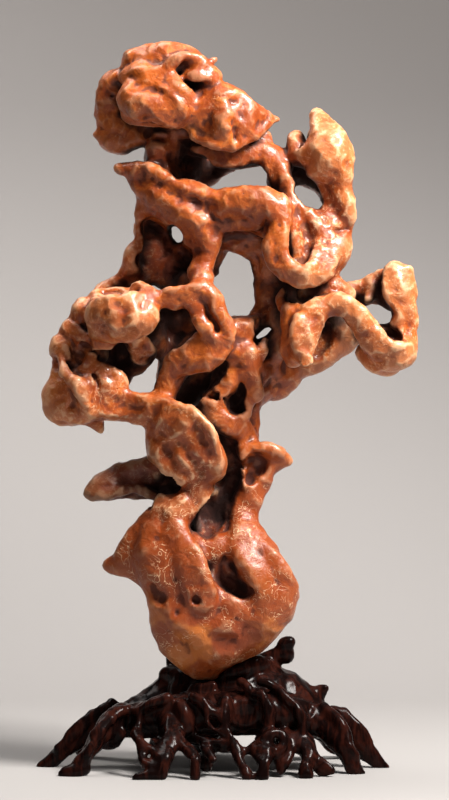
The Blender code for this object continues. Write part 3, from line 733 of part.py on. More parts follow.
# Roots that run down to the feet.
ROOTS = {
    "leg_1": (1, [
        (-72, 4, 35, 6.5), (-83, 2, 34, 7.5), (-94, 0, 26, 7), (-104, -2, 18, 6), (-112, -3, 12, 5),
        (-118, -3, 7, 5.5), (-123, -3, 3, 5), (-129, -3, 0, 3)]),
    "leg_1_pips": (1, [(-81, -2, 43, 3), (-79, -2, 46, 2)]),
    "leg_1_pip2": (1, [(-93, 0, 33, 4), (-102, 0, 27, 3.5)]),
    "leg_2": (1, [
        (-71, -26, 40, 7.5), (-81, -36, 33, 7), (-88, -44, 24, 6), (-93, -50, 16, 5), (-99, -55, 9, 5)]),
    "foot_2": (1, [(-113, -57, 1, 2), (-108, -57, 3, 4), (-102, -57, 3, 5), (-96, -53, 5, 4)]),
    "leg_3": (1, [
        (-36, -44, 33, 9), (-38, -56, 25, 7), (-39, -66, 18, 5), (-41, -73, 12, 4.5),
        (-44, -76, 3, 4.5)]),
    "toe_3": (1, [(-43, -76, 3, 4), (-51, -77, 3, 3.5), (-58, -78, 2, 2.5), (-62, -78, 1, 1.5)]),
    "strand_3": (1, [
        (-61, -50, 28, 4), (-58, -58, 24, 3), (-57, -64, 17, 3), (-55, -70, 11, 3), (-48, -74, 8, 4)]),
    "strand_3b": (1, [(-57, -60, 25, 2.5), (-52, -64, 20, 2.5), (-44, -68, 19, 2.5)]),
    "strand_3c": (1, [(-46, -54, 26, 4), (-43, -60, 21, 3.5)]),
    "strand_3d": (1, [(-48, -68, 18, 2.5), (-46, -71, 13, 3.5)]),
    "leg_4": (1, [
        (-33, -54, 29, 5), (-30, -62, 23, 4), (-24, -68, 18, 4), (-20, -72, 14, 3.5),
        (-20, -76, 12, 3), (-20, -78, 2, 3.5)]),
    "rear_ball": (1, [(-14, -50, 12, 4), (-13, -56, 8, 5)]),
    "bar_4": (1, [
        (-24, -46, 25, 4), (-14, -52, 24, 4), (-4, -56, 21, 4), (5, -60, 20, 4), (15, -64, 18, 2),
        (26, -66, 20, 3.5)]),
    "bar_4b": (1, [(-13, -54, 23, 4), (-11, -56, 16, 3.5)]),
    "rear_tip": (1, [(2, -44, 15, 5), (4, -44, 8, 3.5), (5, -46, 5, 2.5)]),
    "rear_bow": (1, [(-11, -40, 9, 3), (-7, -40, 13, 3), (-2, -40, 15, 3.5)]),
    "leg_5": (1, [(7, -62, 21, 4.5), (10, -68, 14, 3.5), (13, -73, 8, 3), (16, -76, 2, 3.5)]),
    "leg_6": (1, [
        (26, -56, 26, 5), (29, -64, 19, 4.5), (29, -70, 14, 3.5), (27, -75, 10, 3.5), (26, -77, 2, 4)]),
    "leg_6_leaf": (1, [(35, -58, 17, 4), (38, -60, 11, 4), (39, -64, 4, 2.5)]),
    "ring_6": (1, [
        (29, -62, 25, 3), (31, -60, 29, 3), (35, -58, 30, 3), (40, -58, 28, 3), (41, -60, 23, 3),
        (39, -62, 19, 3), (34, -63, 17, 3), (29, -63, 19, 3)]),
    "leg_7": (1, [
        (56, -48, 22, 6), (58, -56, 16, 5), (57, -62, 10, 4.5), (56, -66, 8, 4.5), (56, -68, 2, 5)]),
    "leg_8_leaf": (0.7, [(60, -54, 16, 2.5), (64, -57, 12, 2.5), (69, -60, 8, 3), (74, -62, 4, 2.5)]),
    "leg_8_web": (0.5, [(64, -58, 8, 3.5), (66, -60, 5, 4), (69, -61, 4, 4)]),
    "leg_9": (1, [
        (62, -20, 37, 9), (72, -30, 29, 8.5), (80, -37, 21, 7.5), (85, -41, 14, 6),
        (88, -43, 7, 5.5), (91, -43, 2, 5), (95, -43, 0, 3)]),
    "leg_10": (1, [
        (75, -2, 33, 7.5), (85, -4, 29, 7.5), (92, -6, 20, 7), (98, -7, 12, 6), (104, -8, 7, 5),
        (109, -8, 2, 4), (113, -8, 0, 3)]),
    "leg_10_pip": (1, [(76, -4, 39, 3.5), (83, -5, 39, 2.5)]),
    "back_1": (1, [(-74, 34, 29, 9), (-89, 46, 15, 8.5), (-100, 54, 6, 7)]),
    "back_2": (1, [(-40, 56, 25, 8.5), (-46, 66, 9, 7), (-51, 72, 4, 5.5)]),
    "back_3": (1, [(-9, 60, 23, 10), (-15, 70, 9, 7), (-18, 76, 4, 5.5)]),
    "back_4": (1, [(27, 56, 25, 8.5), (34, 66, 9, 7), (40, 72, 4, 5.5)]),
    "back_5": (1, [(65, 32, 28, 9), (79, 44, 13, 8.5), (90, 50, 6, 7)]),
    "leg_1_crest": (0.8, [
        (-76, -2, 43, 3), (-84, -6, 42, 3), (-93, -8, 35, 3), (-101, -9, 28, 3), (-110, -9, 20, 3),
        (-117, -9, 13, 3)]),
    "leg_2_crest": (0.8, [
        (-67, -34, 44, 3), (-75, -42, 41, 3), (-83, -50, 33, 3), (-89, -55, 24, 3),
        (-95, -59, 15, 2.5)]),
    "leg_9_crest": (0.8, [
        (65, -26, 44, 3), (74, -34, 38, 3), (81, -39, 30, 3), (86, -43, 21, 3), (90, -45, 12, 3)]),
    "leg_10_crest": (0.8, [
        (77, -5, 40, 3), (85, -7, 35, 3), (93, -9, 27, 3), (99, -10, 18, 3), (105, -10, 10, 3)]),
    "leg_1_knobs": (1, [(-93, -6, 38, 3), (-96, -8, 34, 3), (-105, -8, 27, 3), (-109, -8, 22, 3)]),
    "leg_2_knobs": (1, [(-75, -38, 44, 3), (-81, -44, 39, 3), (-87, -50, 32, 3), (-91, -52, 28, 2.5)]),
    "leg_9_knobs": (1, [(69, -28, 45, 3), (76, -34, 40, 3), (81, -39, 34, 3), (86, -42, 25, 2.5)]),
    "leg_10_knobs": (1, [(84, -5, 39, 3), (89, -8, 33, 3), (96, -9, 26, 3), (102, -10, 17, 2.5)]),
    "strand_twig_a": (1, [(-14, -60, 20, 3), (-9, -66, 14, 2.5), (-4, -70, 8, 2.5)]),
    "strand_twig_b": (1, [(19, -62, 22, 3), (22, -68, 15, 2.5), (26, -72, 10, 2.5)]),
    "strand_twig_c": (1, [(45, -52, 23, 3.5), (46, -58, 16, 2.5), (42, -64, 9, 2.5)]),
}

# Raised ridges and lips on the mound.
CREASES = {
    "ridge_eye": (1, [
        (-22, -48, 54, 3), (-16, -51, 51, 3.5), (-11, -53, 45, 3), (-6, -54, 43, 2.5),
        (-1, -54, 40, 2.5), (1, -55, 34, 2.5)]),
    "ridge_eye_low": (1, [(-13, -56, 44, 2), (-11, -57, 37, 2), (-6, -58, 32, 2), (1, -59, 29, 2)]),
    "ridge_panel": (1, [
        (11, -38, 63, 3), (16, -42, 60, 3), (20, -46, 56, 3), (26, -48, 56, 3), (29, -50, 51, 3),
        (31, -51, 44, 3.5), (31, -52, 35, 3.5), (28, -54, 29, 3)]),
    "ridge_panel_l": (1, [(1, -48, 52, 3.5), (0, -53, 42, 3.5), (1, -56, 32, 3.5), (7, -60, 24, 3.5)]),
    "ridge_cap": (1, [
        (25, -36, 63, 3), (33, -38, 61, 3), (38, -40, 57, 3), (43, -43, 52, 3), (49, -45, 47, 3),
        (52, -47, 42, 3), (54, -48, 35, 3), (54, -49, 30, 3)]),
    "ridge_left": (1, [(-65, -36, 43, 2), (-58, -40, 44, 2), (-52, -42, 48, 3), (-40, -42, 52, 4)]),
    "ridge_flank": (1, [(-30, -46, 48, 4), (-27, -50, 41, 4), (-25, -50, 32, 4)]),
    "ridge_pocket": (1, [(-59, -40, 42, 2), (-59, -42, 36, 2), (-61, -44, 30, 3)]),
    "ridge_r": (1, [
        (68, -26, 38, 3), (76, -32, 35, 2.5), (81, -38, 31, 2.5), (83, -43, 25, 2), (87, -46, 19, 2),
        (91, -46, 13, 2.5)]),
    "lip": (1, [(-7, -60, 24, 2), (0, -61, 23, 2), (4, -61, 25, 2)]),
}

# Hollow underneath, scooped panels and the openings between the roots.
STAND_HOLLOWS = {
    "under": (0.72, [(-52, 0, 8, 36.5), (-17, 0, 6, 46), (11, 0, 6, 46), (46, 0, 8, 38)]),
    "panel": (0.9, [(15, -57, 51, 11), (15, -58, 42, 13), (15, -59, 34, 11.5)]),
    "panel_gap": (5, [(11, -60, 24, 2), (14, -60, 23, 2.5), (18, -60, 25, 2)]),
    "eye": (1.4, [(-9, -58, 40, 3), (-5, -58, 36, 3.5)]),
    "eye_low": (1.2, [(-6, -62, 28, 2.5), (0, -62, 27, 2)]),
    "rec_1": (1.3, [(45, -52, 42, 5), (44, -52, 38, 4)]),
    "rec_2": (1.2, [(22, -46, 61, 3.5)]),
    "rec_3": (1.2, [(30, -46, 58, 3.5), (34, -47, 55, 3.5)]),
    "rec_4": (1.2, [(49, -42, 53, 3.5)]),
    "rec_5": (1.2, [(-64, -44, 36, 3.5), (-70, -42, 32, 3)]),
    "rec_6": (1.1, [(-50, -56, 36, 7), (-46, -56, 29, 6)]),
    "rec_7": (1.1, [(-20, -58, 28, 4), (-24, -58, 32, 4)]),
    "rec_8": (1.1, [(61, -34, 46, 3.5), (59, -40, 40, 3.5)]),
    "a1_view": (6, [(-92, 0, 6, 3), (-85, 0, 4, 4), (-76, 0, 6, 5), (-68, 0, 13, 6.5), (-68, 0, 4, 7)]),
    "a1_low": (6, [(-87, 0, 0, 6.5), (-77, 0, -1, 7.5), (-68, 0, 0, 6.5)]),
    "h_ring1": (6, [(-52, 0, 16, 2), (-48, 0, 15, 2)]),
    "h_ring2": (6, [(-52, 0, 6, 2), (-52, 0, 5, 2)]),
    "a2_view": (6, [(-31, 0, 1, 5.5), (-31, 0, -4, 6.5)]),
    "h_a": (6, [(-22, 0, 13, 2), (-19, 0, 12, 2.5), (-16, 0, 13, 1.5)]),
    "a3_view": (6, [(-4, -80, 12, 2.5), (-4, -80, 7, 5)]),
    "a4_view": (6, [(21, 0, 4, 5.5), (22, 0, -1, 6.5), (19, 0, 6, 5)]),
    "h_ring6": (6, [(35, 0, 17, 3)]),
    "a5_view": (6, [(46, 0, 1, 4), (47, 0, -3, 5.5)]),
    "a6_view": (6, [(64, 0, 9, 3), (71, 0, 9, 3), (75, 0, 4, 3)]),
    "a6_low": (6, [(78, 0, -1, 2)]),
    "leg_1_cut": (0.8, [(-88, -14, 26, 3), (-98, -15, 18, 3)]),
    "leg_2_cut": (0.8, [(-81, -58, 26, 2.5), (-87, -62, 18, 2.5)]),
    "leg_9_cut": (0.8, [(72, -46, 26, 3), (78, -54, 18, 2.5)]),
}

ROCK_REGIONS = (HEAD, NECK, PLATE, FUNNEL, LOBE, ARM, TRUNK, EYE, CLUSTER, SHOULDER, CUP, TORSO)
ROCK_CUTS = (WINDOWS, BACK_HOLLOWS, HOLLOWS)
STAND_REGIONS = (MOUND, COLLAR, ROOTS, CREASES)
STAND_CUTS = (STAND_HOLLOWS,)


def clear_scene():
    """Start from an empty scene."""
    for item in list(bpy.data.objects):
        bpy.data.objects.remove(item)


def spline_point(a, b, c, d, t):
    """Point at t between b and c on a Catmull-Rom curve."""
    return 0.5 * (2 * b + (c - a) * t + (2 * a - 5 * b + 4 * c - d) * t ** 2
                  + (3 * b - a - 3 * c + d) * t ** 3)


def run_of_balls(stations):
    """Closely spaced (centre, radius) pairs along a smooth route."""
    points = [Vector(station) * UNIT for station in stations]
    first = 2 * points[0] - points[1] if len(points) > 1 else points[0]
    last = 2 * points[-1] - points[-2] if len(points) > 1 else points[-1]
    padded = [first] + points + [last]
    balls = []
    for i in range(1, len(padded) - 2):
        b, c = padded[i], padded[i + 1]
        gap = (c.xyz - b.xyz).length
        steps = max(1, math.ceil(gap / (BALL_SPACING * min(b[3], c[3]))))
        for step in range(steps):
            balls.append(spline_point(padded[i - 1], b, c, padded[i + 2], step / steps))
    balls.append(points[-1])
    return [(ball.xyz, ball[3]) for ball in balls]


def ball_template():
    """Unit ball that every run repeats."""
    bm = bmesh.new()
    bmesh.ops.create_icosphere(bm, subdivisions=3, radius=1.0)
    mesh = bpy.data.meshes.new("ball")
    bm.to_mesh(mesh)
    bm.free()
    return mesh


def clay_object(name, regions, swell):
    """One object that holds all the balls of some regions."""
    ball = ball_template()
    bm = bmesh.new()
    for region in regions:
        for depth, stations in region.values():
            for centre, radius in run_of_balls(stations):
                size = radius + swell
                place = Matrix.Translation(centre) @ Matrix.Diagonal((size, size * depth, size, 1.0))
                ball.transform(place)
                bm.from_mesh(ball)
                ball.transform(place.inverted())
    mesh = bpy.data.meshes.new(name)
    bm.to_mesh(mesh)
    bm.free()
    bpy.data.meshes.remove(ball)
    item = bpy.data.objects.new(name, mesh)
    bpy.context.collection.objects.link(item)
    return item


def add_modifier(item, kind, **settings):
    """Add a modifier with its settings."""
    modifier = item.modifiers.new(kind.title(), kind)
    for key, value in settings.items():
        setattr(modifier, key, value)


def apply_modifiers(item):
    """Turn the evaluated shape into the object's own mesh."""
    graph = bpy.context.evaluated_depsgraph_get()
    mesh = bpy.data.meshes.new_from_object(item.evaluated_get(graph))
    item.modifiers.clear()
    old = item.data
    item.data = mesh
    bpy.data.meshes.remove(old)


def fuse(item, voxel, smoothing):
    """Melt overlapping parts into one skin."""
    add_modifier(item, "REMESH", mode="VOXEL", voxel_size=voxel)
    add_modifier(item, "SMOOTH", factor=0.5, iterations=smoothing)
    apply_modifiers(item)


def carve(item, cutter, solver):
    """Cut one object out of another and remove the cutter."""
    add_modifier(item, "BOOLEAN", operation="DIFFERENCE", object=cutter, solver=solver)
    apply_modifiers(item)
    bpy.data.objects.remove(cutter)


def largest_body(item):
    """Keep the biggest connected body and drop stray crumbs."""
    bm = bmesh.new()
    bm.from_mesh(item.data)
    unseen = set(bm.verts)
    bodies = []
    while unseen:
        stack = [unseen.pop()]
        body = []
        while stack:
            vert = stack.pop()
            body.append(vert)
            for edge in vert.link_edges:
                other = edge.other_vert(vert)
                if other in unseen:
                    unseen.remove(other)
                    stack.append(other)
        bodies.append(body)
    bodies.sort(key=len, reverse=True)
    crumbs = [vert for body in bodies[1:] for vert in body]
    bmesh.ops.delete(bm, geom=crumbs, context="VERTS")
    bm.to_mesh(item.data)
    bm.free()


def sculpt(name, regions, cuts, voxel, fillet):
    """Clay body with its openings and hollows."""
    item = clay_object(name, regions, FILLET_SWELL)
    fuse(item, voxel, fillet)
    cutter = clay_object(name + "_cutter", cuts, 0.0)
    cutter.hide_render = True
    cutter.display_type = "WIRE"
    fuse(cutter, voxel, 2)
    # MANIFOLD, because EXACT leaves torn edges on these many-walled cutters
    carve(item, cutter, "MANIFOLD")
    fuse(item, voxel, 3)
    largest_body(item)
    return item


def bowls(point, length):
    """Smooth bowls that meet along crests, about zero on average."""
    return CREST - abs(noise.noise(point / length))


def stone_height(point):
    """How far wear has raised or lowered the stone at a point."""
    share = min(1.0, max(0.0, (point.z - CALM_LOW) / (CALM_HIGH - CALM_LOW)))
    wear = CALM_SHARE + (1.0 - CALM_SHARE) * share
    swell = SWELL_HEIGHT * noise.fractal(point / SWELL_LENGTH, 0.8, 2.0, 2)
    broad = BOWL_HEIGHT * bowls(point + BOWL_SHIFT, BOWL_LENGTH)
    return swell + wear * (broad + DENT_HEIGHT * bowls(point, DENT_LENGTH))


def wood_height(point):
    """Flutes left by the carver's gouge, drawn out down the roots."""
    drawn = Vector((point.x, point.y, point.z * FLUTE_STRETCH))
    return FLUTE_HEIGHT * bowls(drawn, FLUTE_LENGTH)


def raise_surface(item, height):
    """Move each point along its normal by height(point)."""
    bm = bmesh.new()
    bm.from_mesh(item.data)
    bm.normal_update()
    moves = [vert.normal * height(vert.co) for vert in bm.verts]
    for vert, move in zip(bm.verts, moves):
        vert.co += move
    bm.to_mesh(item.data)
    bm.free()


def simplify(item, triangles):
    """Bring a skin down to a number of triangles."""
    faces = 2 * len(item.data.polygons)
    add_modifier(item, "DECIMATE", ratio=triangles / faces, use_collapse_triangulate=True)
    apply_modifiers(item)


def trim_feet(item):
    """Cut everything below the floor so that the feet are flat."""
    bm = bmesh.new()
    size = Matrix.Diagonal((1.0, 1.0, FLOOR_TRIM, 1.0))
    place = Matrix.Translation((0.0, 0.0, -FLOOR_TRIM / 2)) @ size
    bmesh.ops.create_cube(bm, size=1.0, matrix=place)
    mesh = bpy.data.meshes.new("floor_block")
    bm.to_mesh(mesh)
    bm.free()
    block = bpy.data.objects.new("floor_block", mesh)
    bpy.context.collection.objects.link(block)
    carve(item, block, "EXACT")


def grown_foot(rock):
    """Copy of the rock, a little larger all round, that shapes the socket."""
    copy = bpy.data.objects.new("socket_former", rock.data.copy())
    bpy.context.collection.objects.link(copy)
    add_modifier(copy, "DISPLACE", strength=SOCKET_GAP, mid_level=0.0)
    apply_modifiers(copy)
    return copy


def principled(name, colour, roughness):
    """Plain Principled material."""
    material = bpy.data.materials.new(name)
    material.use_nodes = True
    shader = material.node_tree.nodes["Principled BSDF"]
    shader.inputs["Base Color"].default_value = colour
    shader.inputs["Roughness"].default_value = roughness
    shader.inputs["Metallic"].default_value = 0.0
    material.diffuse_color = colour
    return material


def make_rock():
    """The stone, pierced and hollowed."""
    rock = sculpt("rock", ROCK_REGIONS, ROCK_CUTS, ROCK_VOXEL, ROCK_FILLET)
    raise_surface(rock, stone_height)
    simplify(rock, ROCK_TRIANGLES)
    rock.data.materials.append(principled("polished_stone", STONE_COLOUR, 0.3))
    return rock


def make_stand(rock):
    """The root-wood stand with a socket that fits the rock."""
    stand = sculpt("stand", STAND_REGIONS, STAND_CUTS, STAND_VOXEL, STAND_FILLET)
    raise_surface(stand, wood_height)
    simplify(stand, STAND_TRIANGLES)
    trim_feet(stand)
    carve(stand, grown_foot(rock), "EXACT")
    largest_body(stand)
    stand.data.materials.append(principled("dark_hardwood", WOOD_COLOUR, 0.3))
    return stand


def main():
    """Build both pieces."""
    clear_scene()
    rock = make_rock()
    make_stand(rock)


main()
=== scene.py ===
"""Scholars rock in the socket of its carved root-wood stand, dressed for rendering.

The stone and the stand are modelled like clay: runs of balls follow smooth routes,
a voxel remesh fuses them, and a second set of balls is cut away for the openings,
hollows and pits.  A station is (x, y, z, radius) in millimetres, and the number
before a run is its depth along Y over its width.
"""

import math

import bmesh
import bpy
import numpy as np
from mathutils import Matrix, Vector, noise
from mathutils.bvhtree import BVHTree


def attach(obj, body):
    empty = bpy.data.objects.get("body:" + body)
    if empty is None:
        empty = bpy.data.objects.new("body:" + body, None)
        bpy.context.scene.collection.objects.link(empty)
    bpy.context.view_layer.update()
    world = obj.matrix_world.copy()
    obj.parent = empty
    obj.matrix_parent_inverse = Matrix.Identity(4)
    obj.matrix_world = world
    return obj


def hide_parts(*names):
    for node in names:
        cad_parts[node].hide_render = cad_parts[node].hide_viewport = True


bl_info = {
    "name": "Scholars Rock",
    "version": (1, 0, 0),
    "blender": (4, 5, 0),
    "location": "View3D > Sidebar > Scholars Rock",
    "description": "A pierced, polished stone on a carved root-wood stand",
    "category": "Object",
}

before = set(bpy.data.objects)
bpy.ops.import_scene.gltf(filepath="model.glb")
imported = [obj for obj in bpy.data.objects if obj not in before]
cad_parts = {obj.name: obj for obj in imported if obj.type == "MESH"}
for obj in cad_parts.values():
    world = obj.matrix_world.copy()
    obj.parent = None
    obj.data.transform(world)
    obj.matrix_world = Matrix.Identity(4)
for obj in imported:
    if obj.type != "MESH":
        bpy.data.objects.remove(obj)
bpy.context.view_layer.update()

MM = 0.001
BALL_SPACING = 0.45           # step along a run over the local radius
FILLET_SWELL = 0.0006         # makes up for what the smooth pass takes off
SOCKET_GAP = 0.0004           # clearance between the stone and its socket

# Clay: smoothing passes on the joints and on the carved lips, and triangle limits
STONE_FILLET = 16
STONE_LIP = 3
STONE_TRIANGLES = 192000
STAND_FILLET = 8
STAND_LIP = 3
STAND_TRIANGLES = 150000
BOWL_CREST = 0.32             # height of the crests between bowls
BOWL_SHIFT = Vector((0.1, 0.2, 0.3))
CALM_LOW, CALM_HIGH, CALM_SHARE = 0.150, 0.185, 0.50   # the lower body is worn smoother
FLUTE_STRETCH = 0.45          # flutes run down the roots
EDGE_SCALE = 0.0006           # relief that counts as a sharp edge
HOLLOW_SCALE = 0.0040         # relief that counts as a deep hollow
SHELTER_RAYS = 26             # directions looked in from each point
SHELTER_START = 0.0015        # where a look starts above the surface
SHELTER_REACH = 0.05          # how far it goes
SHELTER_ROUNDS = 3
STONE_GLOSS, WOOD_GLOSS = 0.36, 0.06   # plain reflection of each piece
STONE_COAT, STONE_COAT_LOW = 0.20, 0.05   # wax on the upper stone and on the lower body
COAT_ROUGHNESS = 0.12

# Zones of the stone's colour, metres: each grows from its first place to its second
LOWER_BODY_Z = (0.245, 0.185)          # redder and veined below
FOOT_STAIN_Z = (0.15, 0.09)            # ochre stain towards the foot
HIGHLIGHT_RIGHT_X = (0.035, 0.065)        # painted highlight on the lit right side
HIGHLIGHT_LEFT_X = (-0.030, -0.055)       # and, less, on the left
HIGHLIGHT_LEFT_Z = (0.41, 0.36)
HIGHLIGHT_LEFT_SHARE = 0.55
HIGHLIGHT_SHOULDER_X = (0.005, -0.010)    # and on the shoulder
HIGHLIGHT_SHOULDER_Z = (0.262, 0.245)
HIGHLIGHT_START_Z = (0.165, 0.190)        # never on the lower body
HORN_SHADOW_X = (-0.040, -0.060)              # painted shadow of the shoulder on the flat horn
HORN_SHADOW_LOW_Z = (0.165, 0.180)
HORN_SHADOW_HIGH_Z = (0.232, 0.212)

# Stage, metres
FLOOR_HALF = 4.0
BACKDROP_HALF = 3.0
BACKDROP_BEND = 0.5
BACKDROP_HEIGHT = 1.6
KEY_PLACE, KEY_AIM, KEY_SIZE = (0.70, -0.50, 1.20), (0.0, 0.0, 0.30), 0.40
FILL_PLACE, FILL_AIM, FILL_SIZE = (-0.9, -2.4, 0.7), (0.0, 0.0, 0.28), 0.8
LOW_PLACE, LOW_AIM, LOW_SIZE, LOW_POWER = (-0.5, 0.3, 1.5), (-0.15, 0.95, 0.30), 0.8, 16.0
KEY_TINT = (1.0, 0.96, 0.92)
FILL_TINT = (0.94, 0.97, 1.0)
ROOM_TINT = (0.95, 0.97, 1.0)
ROOM_STRENGTH = 0.025
ROOM_SEEN = 0.30
TOP_PLACE, TOP_AIM, TOP_SIZE, TOP_POWER = (0.0, -0.5, 3.6), (0.0, -0.5, 0.0), 5.0, 46.0
CAMERA_PLACE = (0.0, -3.0, 0.36)
CAMERA_AIM = (0.0, 0.0, 0.2573)
CAMERA_LENS = 192.87
CAMERA_SENSOR = 36.0

# Cap at the top: a blunt muzzle, a crown, a pleated shell and the wall behind them.
HEAD = {
    "head_core": (1.2, [
        (-66, 6, 473, 13.5), (-52, 2, 471, 19), (-37, 0, 470, 21), (-21, -2, 466, 19.5),
        (-7, -2, 460, 14.5)]),
    "head_core_low": (1.1, [
        (-59, 2, 453, 11), (-45, 2, 449, 12.5), (-28, 0, 449, 12.5), (-14, -2, 447, 10.5)]),
    "head_dome": (1.1, [
        (-59, 14, 482, 12.5), (-42, 16, 482, 15.5), (-24, 12, 477, 14), (-7, 8, 469, 11)]),
    "head_muzzle": (0.8, [
        (-62, -27, 466, 12), (-54, -32, 466, 13), (-43, -33, 464, 13), (-33, -32, 462, 11.5),
        (-24, -28, 460, 9)]),
    "head_muzzle_top": (0.8, [
        (-65, -28, 474, 6), (-57, -31, 476, 6), (-48, -32, 473, 6), (-39, -33, 472, 5.5),
        (-31, -33, 471, 5), (-24, -32, 467, 4.5), (-18, -29, 463, 4)]),
    "head_tier": (0.85, [
        (-67, -17, 482, 6.5), (-57, -26, 484, 7.5), (-48, -31, 482, 7.5), (-40, -33, 480, 6.5),
        (-35, -33, 478, 5)]),
    "head_crown": (0.95, [
        (-52, -12, 494, 12), (-43, -18, 494, 12.5), (-34, -19, 493, 12), (-25, -19, 494, 9.5),
        (-19, -18, 491, 7)]),
    "head_knob": (1, [(-61, -10, 496, 8), (-67, -8, 493, 6)]),
    "head_arch": (0.9, [
        (-46, -35, 480, 3.5), (-40, -34, 488, 3.5), (-34, -34, 494, 3.5), (-27, -33, 497, 3.5),
        (-20, -32, 496, 3.5), (-16, -29, 492, 3.5)]),
    "head_bar": (0.9, [
        (-27, -31, 482, 3), (-21, -34, 482, 3), (-15, -34, 481, 3.5), (-9, -29, 481, 3.5)]),
    "head_spike": (1, [(-13, -14, 489, 4), (-9, -14, 493, 2.5), (-5, -13, 496, 1.5)]),
    "head_back_bumps": (1, [
        (-75, -8, 483, 5), (-83, -6, 475, 4.5), (-85, -4, 468, 4.5), (-83, -6, 459, 4.5),
        (-80, -4, 452, 4)]),
    "head_snout": (1, [(-84, 0, 443, 6.5), (-89, 0, 443, 3.5)]),
    "head_jaw": (0.95, [(-78, 0, 440, 10), (-70, -2, 440, 10), (-62, -4, 442, 8.5)]),
    "shell_base": (0.8, [
        (-12, -20, 468, 12), (-2, -24, 463, 14.5), (9, -22, 459, 13), (20, -16, 455, 9)]),
    "shell_base_low": (0.8, [
        (-15, -21, 450, 10.5), (-7, -26, 447, 12), (3, -27, 446, 12), (12, -23, 448, 10.5),
        (20, -17, 450, 7)]),
    "head_bar_bed": (0.9, [(-23, -24, 487, 5.5), (-16, -24, 486, 5.5), (-10, -20, 483, 5)]),
    "head_pink": (0.9, [(-20, -27, 490, 6), (-14, -28, 487, 6), (-8, -24, 483, 6)]),
    "head_left": (1, [
        (-72, -2, 482, 7.5), (-78, 0, 475, 10.5), (-80, 0, 464, 10), (-79, 0, 454, 10),
        (-72, -2, 447, 10)]),
    "shell_crest_a": (0.9, [
        (-9, -23, 476, 5), (-11, -27, 469, 5.5), (-13, -30, 460, 6), (-16, -29, 452, 6),
        (-19, -25, 445, 5.5)]),
    "shell_crest_b": (0.9, [
        (-2, -26, 469, 5.5), (-1, -31, 460, 6.5), (0, -34, 452, 7), (0, -33, 444, 6.5),
        (0, -28, 438, 5)]),
    "shell_crest_c": (0.9, [
        (11, -22, 468, 5.5), (14, -26, 461, 6), (16, -28, 454, 6), (15, -26, 447, 5.5),
        (13, -22, 442, 4.5)]),
    "shell_crest_d": (0.9, [(22, -18, 459, 5), (23, -19, 452, 4.5)]),
    "shell_tip": (0.9, [(27, -16, 456, 4), (32, -14, 454, 2.5), (37, -12, 453, 1.5)]),
    "head_muzzle_low": (0.8, [
        (-63, -22, 458, 8.5), (-53, -28, 456, 9), (-42, -29, 456, 9), (-31, -27, 455, 8.5),
        (-21, -24, 454, 7)]),
    "head_cheek": (0.8, [(-67, -30, 463, 6), (-63, -34, 469, 7), (-59, -36, 460, 7.5)]),
    "head_brow": (0.8, [
        (-42, -36, 475, 4), (-36, -37, 475, 4.5), (-30, -37, 473, 4), (-25, -36, 469, 3.5)]),
    "head_underlip": (0.8, [(-54, -31, 453, 5.5), (-46, -32, 451, 5.5), (-38, -31, 451, 5.5)]),
    "shell_hem": (0.9, [
        (-21, -28, 441, 3.5), (-13, -31, 438, 3.5), (-4, -33, 434, 3.5), (4, -32, 434, 3.5),
        (12, -30, 437, 3.5), (20, -25, 441, 3), (26, -20, 446, 3), (32, -16, 450, 2.5)]),
}

# Neck below the cap and the strand that leaves it to the right.
NECK = {
    "neck": (1.1, [(-40, 2, 446, 14), (-42, 2, 434, 12.5), (-43, 2, 425, 12), (-41, 0, 415, 11)]),
    "neck_back": (1, [
        (-24, 12, 446, 12), (-23, 14, 432, 10.5), (-28, 12, 417, 10), (-33, 10, 404, 10.5)]),
    "neck_front": (0.9, [
        (-45, -12, 439, 7), (-48, -10, 431, 6.5), (-46, -8, 423, 5.5), (-42, -10, 417, 5.5)]),
    "strand_top": (0.9, [
        (-24, 0, 436, 6.5), (-14, -6, 433, 6.5), (-5, -10, 429, 7.5), (5, -12, 429, 7.5),
        (15, -12, 432, 7.5), (23, -10, 431, 7.5), (33, -8, 428, 6.5), (43, -4, 425, 7)]),
    "strand_rim": (0.9, [
        (-13, -14, 426, 2.5), (-6, -17, 422, 2.5), (2, -18, 421, 2), (9, -18, 424, 2),
        (18, -16, 426, 2), (25, -12, 425, 3), (30, -8, 419, 3.5), (33, -6, 412, 3.5)]),
    "strand_back": (0.9, [(5, 4, 425, 5.5), (15, 5, 427, 7), (23, 5, 427, 7)]),
    "strand_bulge": (1, [(22, -10, 442, 4), (27, -8, 443, 3.5), (30, -6, 438, 4)]),
    "h1_back": (0.8, [
        (-34, 20, 427, 10.5), (-26, 21, 421, 11.5), (-17, 21, 417, 10.5), (-9, 19, 417, 7.5),
        (0, 15, 421, 5.5), (7, 10, 425, 5)]),
    "strand_top_sheet": (0.6, [
        (-18, -12, 430, 7.5), (-9, -14, 428, 8.5), (2, -15, 428, 8.5), (14, -14, 429, 8.5),
        (23, -12, 430, 8.5)]),
    "strand_top_sheet_r": (0.6, [
        (26, -12, 429, 7.5), (33, -13, 423, 8.5), (39, -14, 414, 8.5), (43, -15, 405, 7.5)]),
}

